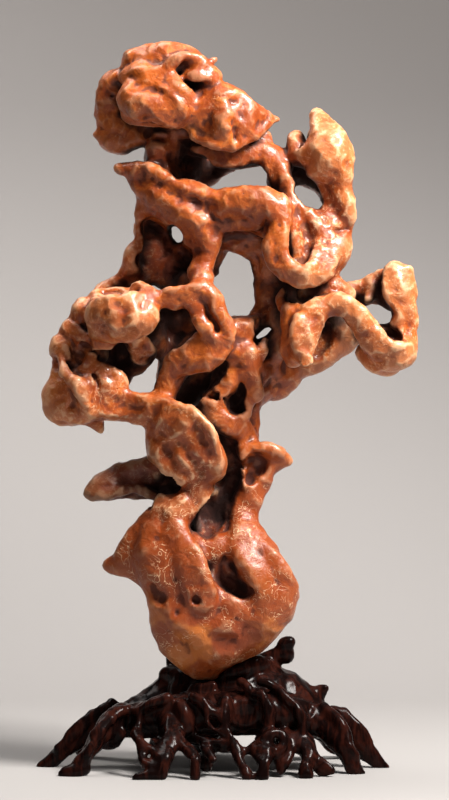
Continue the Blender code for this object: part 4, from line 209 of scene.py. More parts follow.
# Horned plate, its column and the walled cave beneath it.
PLATE = {
    "horn_up": (0.9, [
        (-73, -12, 419, 4.5), (-65, -13, 418, 5), (-56, -15, 417, 6.5), (-47, -18, 413, 7),
        (-38, -21, 407, 7), (-30, -23, 401, 6.5)]),
    "horn_rim": (0.9, [
        (-60, -18, 422, 2), (-52, -22, 420, 2.5), (-43, -26, 416, 2.5), (-36, -28, 411, 2.5),
        (-29, -29, 404, 2.5), (-24, -29, 399, 2.5)]),
    "plate_mid": (0.8, [
        (-66, -9, 415, 4), (-57, -13, 408, 6.5), (-49, -17, 402, 8.5), (-40, -20, 396, 9.5),
        (-30, -23, 389, 10.5), (-21, -25, 382, 10), (-14, -27, 373, 9), (-11, -27, 364, 7.5),
        (-13, -27, 354, 6.5), (-15, -28, 344, 6)]),
    "plate_low": (0.8, [
        (-55, -6, 403, 6.5), (-53, -8, 395, 6.5), (-46, -12, 392, 7), (-38, -16, 388, 7.5),
        (-30, -19, 382, 7.5), (-23, -22, 373, 7), (-18, -24, 363, 5.5), (-18, -25, 354, 5),
        (-20, -26, 345, 5.5)]),
    "plate_crest": (0.9, [
        (-28, -24, 408, 4), (-19, -27, 404, 4.5), (-10, -29, 400, 4.5), (-2, -29, 396, 4)]),
    "plate_right": (0.9, [(-14, -24, 391, 9), (-8, -24, 382, 7.5), (-7, -23, 372, 6.5)]),
    "cave_rim": (1, [
        (-57, -4, 392, 5.5), (-58, -4, 385, 4), (-59, -3, 376, 3.5), (-60, -1, 367, 4),
        (-64, 0, 359, 6.5), (-65, 2, 352, 6.5), (-68, 4, 345, 5), (-77, 4, 339, 4), (-86, 4, 334, 4),
        (-91, 0, 329, 4)]),
    "cave_roof": (0.9, [
        (-51, 2, 393, 8.5), (-41, 6, 388, 9), (-31, 8, 381, 9), (-23, 6, 372, 8.5),
        (-16, 2, 362, 7.5), (-13, 0, 353, 6.5), (-14, -2, 343, 6.5)]),
    "cave_wall": (0.7, [
        (-54, 15, 381, 9), (-52, 16, 368, 10.5), (-50, 16, 355, 11.5), (-40, 16, 350, 12.5),
        (-27, 16, 354, 12), (-17, 12, 365, 11), (-13, 8, 379, 11)]),
    "cave_wall_mid": (0.6, [
        (-45, 18, 382, 10.5), (-34, 18, 375, 11.5), (-28, 17, 365, 11.5), (-40, 18, 362, 11.5)]),
    "cave_floor": (0.9, [
        (-63, 6, 337, 6.5), (-55, 12, 344, 6.5), (-41, 12, 341, 7), (-30, 6, 338, 7.5),
        (-21, -4, 339, 7)]),
    "cave_side": (1, [(-4, -10, 371, 7.5), (-5, -6, 361, 7), (-9, -2, 353, 6.5), (-12, 0, 345, 5.5)]),
    "column_foot": (0.9, [(-15, -30, 344, 7), (-15, -34, 338, 7), (-13, -36, 333, 5.5)]),
    "plate_fold": (0.8, [
        (-52, -18, 407, 5.5), (-45, -24, 400, 6), (-36, -28, 393, 6), (-27, -30, 387, 6),
        (-18, -31, 382, 7)]),
    "plate_rim_crisp": (0.9, [
        (-29, -30, 407, 2), (-24, -33, 404, 2), (-17, -33, 401, 2), (-9, -33, 398, 2),
        (-2, -33, 394, 2)]),
}

# Hood, the lip that hangs from it in a loop and the wall behind the tall opening.
FUNNEL = {
    "hood": (0.85, [
        (-9, -25, 393, 9.5), (1, -29, 394, 10.5), (11, -32, 395, 10.5), (21, -34, 396, 10.5),
        (29, -35, 394, 10.5), (36, -36, 389, 8.5)]),
    "hood_low": (0.8, [
        (-7, -22, 384, 7.5), (2, -25, 384, 8.5), (12, -27, 385, 9), (22, -29, 386, 9),
        (30, -31, 384, 8)]),
    "lip": (0.85, [
        (38, -34, 394, 7), (39, -36, 386, 6), (36, -38, 376, 6), (33, -39, 366, 6.5),
        (34, -40, 358, 6.5), (39, -40, 351, 7), (47, -40, 344, 6.5), (57, -40, 342, 6.5),
        (65, -38, 344, 6.5), (72, -35, 351, 6.5), (74, -31, 362, 5.5), (72, -28, 371, 5)]),
    "hood_wall": (0.7, [
        (-2, -14, 378, 9), (8, -14, 375, 10.5), (18, -12, 371, 10.5), (27, -10, 362, 10.5),
        (30, -8, 351, 10.5), (32, -6, 340, 11), (32, -6, 329, 10.5), (29, -4, 319, 9),
        (23, -4, 311, 7)]),
    "hood_back": (0.7, [
        (0, 8, 380, 10), (14, 8, 380, 11), (26, 8, 373, 11), (33, 8, 361, 11), (36, 6, 347, 11),
        (36, 4, 333, 10.5), (33, 4, 320, 9)]),
    "funnel_back": (0.8, [
        (46, -4, 387, 7), (46, -6, 375, 8.5), (47, -10, 362, 8.5), (55, -14, 355, 8.5),
        (62, -8, 364, 7.5), (63, -4, 375, 7)]),
    "hood_mid": (0.7, [(0, -20, 382, 7), (11, -22, 382, 7.5), (22, -23, 382, 7.5), (30, -24, 378, 7)]),
    "lip_edge": (0.9, [
        (43, -38, 388, 3.5), (41, -41, 377, 3.5), (40, -43, 366, 3.5), (41, -44, 357, 4),
        (46, -44, 351, 4), (53, -44, 347, 3.5), (60, -42, 351, 3.5), (63, -38, 360, 3)]),
    "funnel_left": (0.8, [
        (44, -22, 386, 5.5), (45, -24, 376, 6), (45, -26, 366, 7.5), (49, -28, 357, 7.5)]),
    "funnel_floor": (0.9, [(52, -31, 352, 7), (59, -31, 354, 6)]),
    "hood_apron": (0.8, [
        (-3, -12, 375, 8.5), (5, -12, 372, 10), (14, -11, 369, 10), (23, -10, 364, 9)]),
    "hood_crest": (0.8, [
        (1, -35, 399, 3), (11, -38, 401, 3), (20, -40, 402, 3), (29, -40, 399, 3), (36, -40, 395, 3)]),
    "funnel_scoop": (0.6, [
        (47, -19, 387, 7.5), (50, -21, 378, 9), (54, -23, 368, 9.5), (54, -26, 359, 8.5)]),
    "funnel_fold": (0.8, [
        (44, -28, 391, 3.5), (47, -31, 382, 3.5), (48, -33, 372, 3.5), (51, -35, 362, 3.5)]),
}

# Peaked lobe on the upper right and its diagonal strand.
LOBE = {
    "lobe_tip": (1, [(64, -4, 459, 3.5), (67, -9, 452, 6.5)]),
    "lobe_mass": (0.85, [
        (67, -12, 449, 7.5), (71, -17, 440, 12), (72, -21, 430, 15), (68, -19, 421, 12.5),
        (78, -20, 423, 10.5), (59, -17, 427, 9.5)]),
    "lobe_back": (1, [
        (65, 4, 443, 7), (72, 4, 431, 10.5), (77, 2, 418, 8.5), (79, 2, 404, 7.5), (81, 2, 390, 8.5),
        (78, 0, 376, 9), (72, -2, 362, 10), (63, -4, 354, 9)]),
    "lobe_left": (0.9, [(51, -4, 441, 5.5), (51, -8, 433, 6.5), (55, -12, 426, 7)]),
    "lobe_left_rib": (1, [(48, -8, 442, 3), (47, -12, 435, 3), (48, -14, 428, 3)]),
    "lobe_rim": (0.9, [
        (83, -19, 433, 6.5), (83, -22, 421, 6.5), (82, -22, 412, 6.5), (82, -21, 403, 6.5),
        (84, -21, 394, 6.5), (86, -20, 386, 6), (87, -18, 380, 4)]),
    "lobe_web": (0.8, [
        (76, -4, 415, 8.5), (78, -3, 404, 8.5), (80, -3, 393, 9), (79, -4, 383, 8.5),
        (71, -6, 383, 6.5), (63, -7, 384, 5)]),
    "lobe_low": (0.9, [(77, -17, 371, 9), (79, -20, 363, 9.5), (75, -25, 355, 9), (72, -27, 348, 7.5)]),
    "h2_top": (0.9, [(46, 4, 421, 7), (54, 8, 418, 8.5), (64, 8, 414, 8.5)]),
    "strand_diag_rim": (0.9, [
        (37, -17, 423, 3.5), (42, -20, 413, 3.5), (47, -22, 403, 3.5), (52, -24, 394, 3.5),
        (59, -26, 386, 3.5), (64, -28, 378, 4), (66, -30, 368, 4.5), (67, -34, 359, 5),
        (66, -37, 351, 4.5)]),
    "strand_fold": (0.9, [
        (42, -19, 401, 4), (45, -22, 393, 5), (48, -24, 384, 5.5), (50, -25, 375, 6),
        (51, -26, 366, 6), (51, -28, 359, 5.5)]),
    "strand_diag": (0.9, [
        (28, -8, 427, 7), (34, -10, 419, 8), (39, -12, 410, 8.5), (44, -14, 401, 8),
        (51, -16, 393, 7), (58, -18, 385, 6.5), (64, -20, 378, 6.5), (68, -22, 370, 7)]),
    "h2_back": (0.8, [(47, 12, 423, 10.5), (55, 14, 417, 12), (64, 13, 410, 10.5), (73, 11, 401, 7.5)]),
    "lobe_low_crest": (0.9, [(81, -24, 371, 4), (79, -27, 362, 4.5), (74, -31, 354, 4.5)]),
    "lobe_band": (0.6, [
        (75, -16, 421, 12), (77, -16, 410, 11.5), (79, -16, 398, 11), (81, -17, 387, 10),
        (81, -17, 378, 8.5)]),
    "lobe_skirt": (0.7, [
        (73, -18, 385, 8.5), (72, -22, 375, 9), (73, -25, 366, 9), (70, -28, 357, 8.5)]),
}

# Arm on the right: an arched limb, the loop at its end and the wall under it.
ARM = {
    "rough_neck": (0.9, [
        (57, -20, 332, 6.5), (66, -24, 334, 7.5), (76, -24, 335, 8), (84, -22, 332, 6.5)]),
    "rough_back": (0.9, [(51, -4, 336, 9), (65, 0, 334, 9), (78, 0, 335, 7)]),
    "arch": (0.9, [
        (53, -42, 291, 7.5), (54, -42, 299, 9.5), (56, -40, 307, 10.5), (60, -38, 316, 9.5),
        (67, -38, 322, 8), (77, -38, 325, 7.5), (85, -37, 322, 7.5), (92, -36, 316, 8),
        (97, -34, 308, 8.5), (104, -32, 300, 9.5), (110, -30, 293, 10.5), (118, -28, 290, 12),
        (124, -26, 292, 9.5), (127, -24, 296, 6)]),
    "arch_left": (0.9, [
        (47, -32, 321, 7), (46, -33, 311, 7), (45, -34, 301, 6.5), (45, -34, 292, 6),
        (48, -34, 286, 5)]),
    "arch_ridge": (0.9, [
        (65, -42, 315, 4), (70, -42, 323, 4), (78, -42, 327, 4), (87, -41, 326, 4),
        (94, -40, 319, 4), (100, -38, 311, 4), (107, -38, 303, 4), (113, -38, 297, 4),
        (120, -38, 295, 3.5), (127, -33, 295, 3.5)]),
    "arch_foot": (0.9, [(100, -20, 291, 8.5), (107, -20, 285, 8.5), (114, -20, 283, 7.5)]),
    "socket_rim": (1, [
        (51, -50, 283, 1.5), (56, -52, 282, 1.5), (60, -50, 285, 1.5), (58, -50, 289, 1.5),
        (55, -50, 290, 1.5)]),
    "loop": (0.9, [
        (128, -22, 298, 6.5), (127, -18, 306, 6.5), (126, -18, 315, 7.5), (123, -19, 325, 9),
        (121, -19, 335, 9.5), (120, -17, 344, 8.5), (119, -15, 348, 6.5)]),
    "loop_rim": (0.9, [
        (116, -18, 349, 3), (113, -22, 341, 3), (113, -25, 332, 3), (117, -26, 324, 3),
        (122, -25, 317, 3), (123, -25, 308, 3), (122, -27, 301, 3)]),
    "web": (0.8, [
        (85, -8, 333, 5.5), (93, -4, 334, 5.5), (100, -2, 336, 6), (107, -2, 339, 7),
        (114, -6, 343, 7)]),
    "web_low": (0.7, [(92, 0, 329, 7), (100, 0, 332, 7.5), (110, -2, 332, 8.5), (117, -8, 327, 7)]),
    "web_rim": (0.9, [(88, -8, 337, 2), (96, -6, 340, 2), (104, -6, 343, 2), (112, -8, 348, 2)]),
    "strut": (0.8, [(103, -8, 339, 3.5), (102, -9, 332, 4), (99, -14, 327, 3.5)]),
    "loop_pip": (1, [(119, -18, 318, 3), (119, -22, 314, 3), (116, -24, 310, 2.5)]),
    "under_arch": (0.95, [
        (88, 0, 304, 9), (80, 2, 299, 10.5), (70, 4, 294, 12.5), (60, 4, 287, 12), (50, 4, 281, 11),
        (42, 4, 273, 10.5), (35, 4, 267, 10)]),
    "under_arch_top": (0.8, [(66, 4, 315, 10), (77, 2, 315, 10), (88, -2, 312, 8.5)]),
    "under_arch_lit": (0.8, [(78, -8, 315, 5.5), (83, -8, 308, 5.5), (86, -6, 301, 5)]),
    "loop_floor": (0.8, [(109, -14, 302, 8.5), (117, -11, 302, 9), (124, -12, 307, 6.5)]),
    "rough_back_low": (0.8, [(47, 4, 327, 7.5), (55, 4, 322, 8.5), (66, 4, 321, 7.5)]),
    "loop_top": (0.8, [(114, -18, 348, 3.5), (121, -19, 350, 4), (128, -17, 348, 3.5)]),
    "loop_side": (0.8, [
        (128, -17, 344, 3.5), (130, -17, 334, 4), (130, -16, 325, 4), (131, -15, 314, 4)]),
    "arch_keel": (0.8, [
        (51, -46, 315, 3.5), (49, -48, 306, 3.5), (51, -50, 296, 3.5), (55, -50, 289, 3)]),
}

# Trunk between the arm and the cluster, with its thin ridges.
TRUNK = {
    "dark_hole_rim": (0.9, [(41, -26, 335, 3.5), (39, -26, 328, 3.5), (42, -28, 321, 4)]),
    "mid_right": (0.9, [
        (36, -10, 317, 7), (36, -8, 305, 7.5), (35, -8, 294, 8.5), (32, -4, 284, 9),
        (28, -4, 273, 9), (23, -4, 263, 9)]),
    "mid_facet": (0.8, [(26, -14, 281, 5.5), (28, -14, 273, 5.5), (26, -12, 265, 4)]),
    "thin_ridge": (0.9, [(29, -20, 302, 2), (27, -23, 295, 2.5), (27, -23, 288, 2)]),
    "junction": (0.9, [(0, -25, 306, 7), (7, -24, 305, 8.5), (14, -22, 307, 7.5), (20, -17, 312, 5.5)]),
    "junction_low": (0.9, [
        (5, -23, 296, 9), (11, -23, 291, 10.5), (15, -21, 283, 10.5), (16, -20, 275, 9.5),
        (16, -18, 266, 8.5)]),
    "knot": (0.9, [(11, -27, 293, 6), (17, -27, 290, 5.5), (7, -26, 288, 5.5)]),
    "ridge_a": (0.9, [
        (15, -26, 286, 4.5), (18, -27, 279, 4.5), (21, -26, 271, 4.5), (23, -23, 262, 4)]),
    "ridge_b": (0.9, [(7, -25, 282, 4.5), (4, -25, 274, 4.5), (1, -25, 266, 4.5), (-1, -25, 260, 4)]),
    "d13_rim": (0.9, [
        (-5, -22, 252, 4), (-2, -23, 246, 4.5), (5, -23, 243, 4.5), (12, -22, 246, 4),
        (15, -21, 254, 4), (16, -20, 261, 4)]),
    "column": (1, [
        (11, 0, 303, 14), (13, 2, 291, 14), (11, 2, 280, 14.5), (11, 2, 268, 14.5),
        (11, 2, 256, 13.5), (11, 2, 243, 12.5), (10, 2, 229, 12.5), (9, 2, 215, 12.5),
        (8, 2, 201, 12.5)]),
    "column_left": (0.9, [
        (0, -4, 274, 7.5), (-7, -10, 264, 9), (-12, -18, 254, 9), (-8, -20, 245, 9),
        (2, -20, 241, 8.5), (11, -17, 238, 8.5), (15, -14, 230, 7.5)]),
    "column_right": (0.9, [(18, -6, 254, 7), (18, -6, 244, 6.5), (16, -6, 233, 6.5)]),
    "mid_col": (0.9, [(-3, -4, 250, 11), (1, -4, 236, 11), (2, 0, 222, 11), (1, 4, 207, 11)]),
    "right_fill": (0.8, [(26, 2, 296, 10.5), (32, 0, 306, 10.5), (42, -2, 308, 9), (26, 2, 278, 10.5)]),
    "slot_back": (0.8, [(-37, 12, 255, 10), (-24, 14, 265, 11.5), (-12, 12, 277, 11), (0, 8, 288, 11)]),
    "slot_back2": (0.8, [(-37, 12, 277, 8.5), (-26, 12, 288, 10), (-14, 8, 296, 10)]),
    "ridge_b_bed": (0.9, [
        (4, -19, 282, 7.5), (1, -20, 273, 7.5), (-2, -21, 265, 7.5), (-5, -22, 258, 7)]),
    "column_flank": (1.1, [(-2, -6, 258, 9), (1, -6, 237, 9), (1, -4, 215, 8.5)]),
}

# Ring with the eye-shaped hollow and the leg that runs down from it.
EYE = {
    "eye_top": (0.9, [
        (-45, -38, 328, 6), (-38, -38, 328, 6.5), (-30, -38, 329, 7.5), (-22, -38, 331, 7),
        (-16, -38, 335, 5)]),
    "eye_rib_out": (0.9, [
        (-15, -39, 336, 5.5), (-9, -40, 330, 6), (-5, -40, 323, 6), (-2, -40, 315, 6),
        (1, -39, 308, 6), (1, -37, 301, 6)]),
    "eye_rib_in": (0.9, [
        (-22, -38, 326, 5), (-20, -40, 319, 5), (-16, -41, 311, 5), (-11, -41, 306, 5),
        (-7, -40, 301, 5)]),
    "eye_bed": (0.8, [
        (-13, -36, 329, 6), (-11, -37, 319, 7.5), (-8, -36, 310, 8.5), (-4, -34, 301, 8.5),
        (-11, -34, 297, 9)]),
    "eye_leg": (0.85, [
        (-8, -30, 296, 10), (-16, -31, 294, 11.5), (-25, -29, 288, 11.5), (-33, -26, 281, 10),
        (-38, -25, 271, 8), (-42, -26, 263, 7.5)]),
    "eye_back": (0.9, [
        (-44, 20, 316, 12), (-30, 26, 313, 14), (-15, 18, 312, 12.5), (-23, 24, 295, 12.5),
        (-37, 24, 295, 11.5)]),
    "eye_join": (0.9, [(-6, -24, 291, 7.5), (0, -22, 298, 7)]),
    "eye_back_left": (0.8, [(-55, 9, 312, 9), (-52, 9, 303, 10.5), (-50, 9, 295, 9)]),
    "eye_crown": (0.9, [
        (-38, -42, 333, 3.5), (-30, -44, 334, 3.5), (-22, -44, 335, 3.5), (-16, -42, 338, 3.5)]),
    "eye_body": (0.8, [
        (-2, -34, 301, 7.5), (-7, -36, 292, 8.5), (-14, -35, 286, 8.5), (-23, -33, 282, 7.5)]),
    "eye_back_low": (0.9, [(-40, 14, 277, 10), (-27, 16, 279, 10), (-13, 14, 285, 10)]),
}

# Knobbly cluster on the left with its cap and the strut beneath.
CLUSTER = {
    "cap": (0.75, [
        (-85, -38, 318, 10.5), (-77, -42, 317, 12.5), (-69, -44, 315, 13.5), (-60, -44, 316, 13),
        (-53, -43, 317, 8.5)]),
    "cap_low": (0.75, [
        (-84, -38, 308, 7.5), (-75, -41, 306, 8), (-65, -41, 307, 7), (-58, -40, 310, 6)]),
    "cap_fold": (0.9, [(-89, -30, 325, 5), (-90, -32, 315, 5), (-89, -33, 306, 5)]),
    "cap_under": (0.8, [(-85, -30, 299, 5.5), (-75, -28, 300, 6), (-63, -28, 301, 6)]),
    "cluster_top": (0.9, [
        (-88, -8, 326, 7.5), (-78, -12, 327, 9), (-66, -14, 327, 9), (-53, -18, 324, 8.5)]),
    "knob_0": (1, [(-90, -14, 331, 4), (-88, -20, 328, 4)]),
    "knob_1": (0.9, [(-98, -18, 320, 8.5), (-92, -23, 316, 7.5)]),
    "knob_2": (0.9, [(-106, -17, 306, 8), (-98, -23, 303, 7.5)]),
    "knob_3": (0.9, [(-114, -17, 295, 8.5), (-109, -21, 291, 7)]),
    "knob_gap": (0.8, [(-102, -12, 291, 7.5), (-94, -16, 293, 7), (-87, -16, 291, 7)]),
    "knob_4": (0.9, [(-114, -14, 284, 5.5), (-113, -18, 276, 7)]),
    "small_pips": (1, [(-95, -26, 296, 3), (-88, -28, 296, 3), (-93, -26, 289, 3)]),
    "lobe_shade": (0.9, [
        (-112, -18, 269, 9), (-116, -18, 261, 10.5), (-115, -18, 252, 10.5), (-109, -18, 248, 8.5)]),
    "ridge_c": (0.8, [
        (-115, -26, 287, 3), (-112, -31, 281, 3.5), (-108, -35, 274, 4.5), (-103, -37, 270, 5),
        (-99, -37, 264, 5), (-96, -35, 257, 4)]),
    "plane": (0.7, [
        (-98, -24, 280, 6), (-91, -26, 279, 7), (-82, -26, 276, 7), (-74, -25, 271, 7),
        (-75, -25, 264, 7), (-84, -28, 267, 8.5), (-93, -30, 268, 7.5), (-96, -30, 260, 7),
        (-88, -28, 256, 7), (-79, -26, 257, 7)]),
    "lobe_lit": (0.8, [(-96, -28, 251, 7), (-88, -27, 251, 6.5), (-81, -25, 250, 7)]),
    "drip": (0.9, [(-92, -18, 244, 5.5), (-87, -16, 238, 3.5), (-86, -15, 236, 2.5)]),
    "strut_low": (0.9, [
        (-78, -22, 254, 8.5), (-70, -21, 253, 9), (-62, -21, 252, 10), (-52, -24, 251, 11),
        (-44, -28, 251, 11)]),
    "strut_lit": (0.9, [
        (-70, -26, 259, 4), (-61, -27, 258, 5), (-53, -30, 258, 5.5), (-45, -32, 257, 6),
        (-38, -34, 253, 6)]),
    "wedge": (0.8, [(-63, -20, 299, 7), (-57, -18, 295, 7), (-59, -14, 288, 6.5)]),
    "wedge_rim": (0.9, [(-55, -26, 302, 2.5), (-51, -24, 296, 2.5), (-48, -20, 291, 2)]),
    "slab": (0.6, [(-52, -8, 291, 5), (-58, -6, 284, 5.5), (-63, -6, 278, 5)]),
    "cluster_back": (0.9, [
        (-98, 2, 298, 12.5), (-101, 2, 281, 12.5), (-101, -2, 263, 12), (-87, 0, 270, 12),
        (-89, 2, 291, 12), (-87, 0, 315, 10.5), (-68, 0, 312, 10.5), (-54, -2, 315, 8.5)]),
    "cluster_back2": (0.8, [
        (-75, 6, 296, 10), (-68, 6, 301, 10), (-79, 4, 284, 9), (-73, 0, 274, 8.5)]),
    "cluster_fill": (0.8, [
        (-70, 0, 291, 8.5), (-61, -2, 293, 7.5), (-63, -2, 284, 6.5), (-54, -4, 292, 5.5)]),
    "lobe_fill": (0.85, [
        (-103, -22, 269, 10.5), (-106, -22, 261, 12), (-107, -22, 252, 10.5), (-98, -22, 251, 9)]),
    "knob_bed": (0.85, [
        (-94, -14, 319, 9), (-99, -14, 308, 9), (-105, -14, 298, 9), (-109, -16, 288, 9)]),
    "cap_crest": (0.8, [
        (-88, -41, 324, 4), (-80, -47, 327, 4.5), (-71, -50, 325, 4.5), (-64, -48, 329, 4.5),
        (-57, -43, 329, 4)]),
    "cap_crest_b": (0.8, [(-77, -50, 322, 4), (-75, -52, 314, 4.5), (-75, -50, 307, 4.5)]),
    "cap_lobe": (0.9, [(-52, -45, 322, 5), (-49, -46, 316, 5), (-52, -45, 310, 4)]),
    "cap_bump": (0.9, [
        (-63, -34, 333, 4), (-58, -36, 336, 4.5), (-52, -38, 333, 4.5), (-47, -39, 329, 4)]),
    "cap_facet": (0.7, [(-62, -46, 322, 6), (-56, -46, 316, 7), (-59, -45, 309, 6)]),
    "cap_crest_c": (0.8, [
        (-67, -50, 328, 3.5), (-63, -53, 322, 3.5), (-63, -54, 314, 3.5), (-66, -51, 307, 3.5)]),
    "cap_shelf": (0.8, [
        (-63, -34, 337, 3.5), (-59, -36, 339, 3.5), (-54, -40, 335, 3.5), (-50, -42, 328, 3.5)]),
}

# Bulging shoulder and the flat horn that points left.
SHOULDER = {
    "shoulder": (0.85, [
        (-39, -33, 245, 10.5), (-31, -37, 242, 12), (-22, -38, 236, 13), (-16, -38, 228, 12.5),
        (-11, -36, 218, 11), (-9, -33, 210, 9.5)]),
    "shoulder_root": (1, [
        (-45, -26, 248, 9.5), (-38, -28, 239, 12), (-29, -28, 228, 13), (-20, -26, 218, 12)]),
    "shoulder_left": (0.9, [(-45, -22, 240, 9.5), (-46, -24, 230, 9.5), (-45, -24, 221, 9.5)]),
    "shoulder_rim": (0.9, [(-50, -22, 237, 3), (-48, -23, 228, 3), (-46, -22, 221, 3)]),
    "shoulder_mid": (0.8, [
        (-39, -25, 235, 12), (-36, -27, 225, 12.5), (-31, -27, 216, 12), (-24, -28, 208, 10.5)]),
    "shoulder_back": (1.1, [
        (-28, 0, 236, 13.5), (-21, 2, 222, 14), (-14, 4, 205, 14), (0, 4, 229, 12.5)]),
    "below_shoulder": (0.85, [
        (-19, -29, 208, 12), (-18, -29, 199, 11.5), (-18, -28, 191, 10.5), (-14, -26, 184, 7.5)]),
    "horn_root": (1, [(-31, -6, 211, 10.5), (-38, -4, 208, 10.5), (-45, -8, 209, 9)]),
    "horn": (0.75, [
        (-44, 0, 203, 13.5), (-52, -1, 201, 12.5), (-61, -2, 200, 12), (-72, -4, 200, 11.5),
        (-81, -6, 198, 10), (-88, -8, 195, 7.5), (-95, -10, 192, 4), (-98, -11, 191, 2)]),
    "horn_crest": (0.8, [
        (-74, -6, 209, 4), (-67, -8, 210, 4.5), (-59, -9, 211, 4.5), (-52, -9, 214, 5),
        (-46, -8, 215, 5.5)]),
    "horn_edge": (0.8, [
        (-94, -12, 191, 2.5), (-84, -15, 192, 3), (-73, -16, 194, 3), (-61, -15, 195, 3),
        (-51, -14, 192, 3.5), (-44, -14, 189, 4)]),
    "horn_back": (0.8, [(-44, 9, 197, 8.5), (-35, 9, 195, 10.5), (-26, 9, 198, 11)]),
    "shoulder_crest": (0.9, [
        (-40, -37, 257, 3.5), (-31, -43, 253, 3.5), (-21, -47, 250, 3.5), (-12, -50, 242, 3.5),
        (-7, -50, 233, 3.5), (-4, -47, 223, 3.5), (-4, -42, 213, 3.5)]),
    "shoulder_fold": (0.9, [
        (-43, -31, 240, 3.5), (-37, -36, 232, 4), (-32, -40, 224, 4), (-27, -41, 215, 4),
        (-21, -38, 207, 3.5)]),
    "shoulder_bits": (0.9, [(-33, -44, 246, 3.5), (-27, -48, 244, 3.5)]),
    "shoulder_step": (0.8, [(-45, -34, 252, 5.5), (-37, -39, 250, 5.5), (-29, -41, 247, 5.5)]),
    "shoulder_face": (0.7, [(-45, -32, 222, 8.5), (-38, -34, 215, 8.5), (-28, -36, 207, 7.5)]),
}

# Cupped horn on the right and the ridge beside the groove.
CUP = {
    "cup": (1, [
        (19, -10, 219, 8.5), (26, -11, 217, 10), (34, -11, 216, 8.5), (39, -11, 215, 5.5),
        (44, -10, 214, 3)]),
    "cup_stem": (0.9, [(26, -14, 208, 8.5), (23, -14, 199, 7.5), (18, -14, 192, 7.5)]),
    "cup_rim": (0.9, [
        (16, -20, 223, 3.5), (25, -23, 225, 4), (33, -22, 224, 4), (39, -19, 220, 4),
        (44, -14, 215, 3)]),
    "groove_ridge": (0.9, [
        (13, -19, 225, 4.5), (15, -22, 218, 4), (16, -23, 209, 4), (17, -22, 202, 4.5),
        (18, -21, 195, 4.5)]),
    "groove_bed": (0.85, [(21, -13, 209, 8.5), (19, -15, 199, 9), (17, -16, 189, 9.5)]),
}

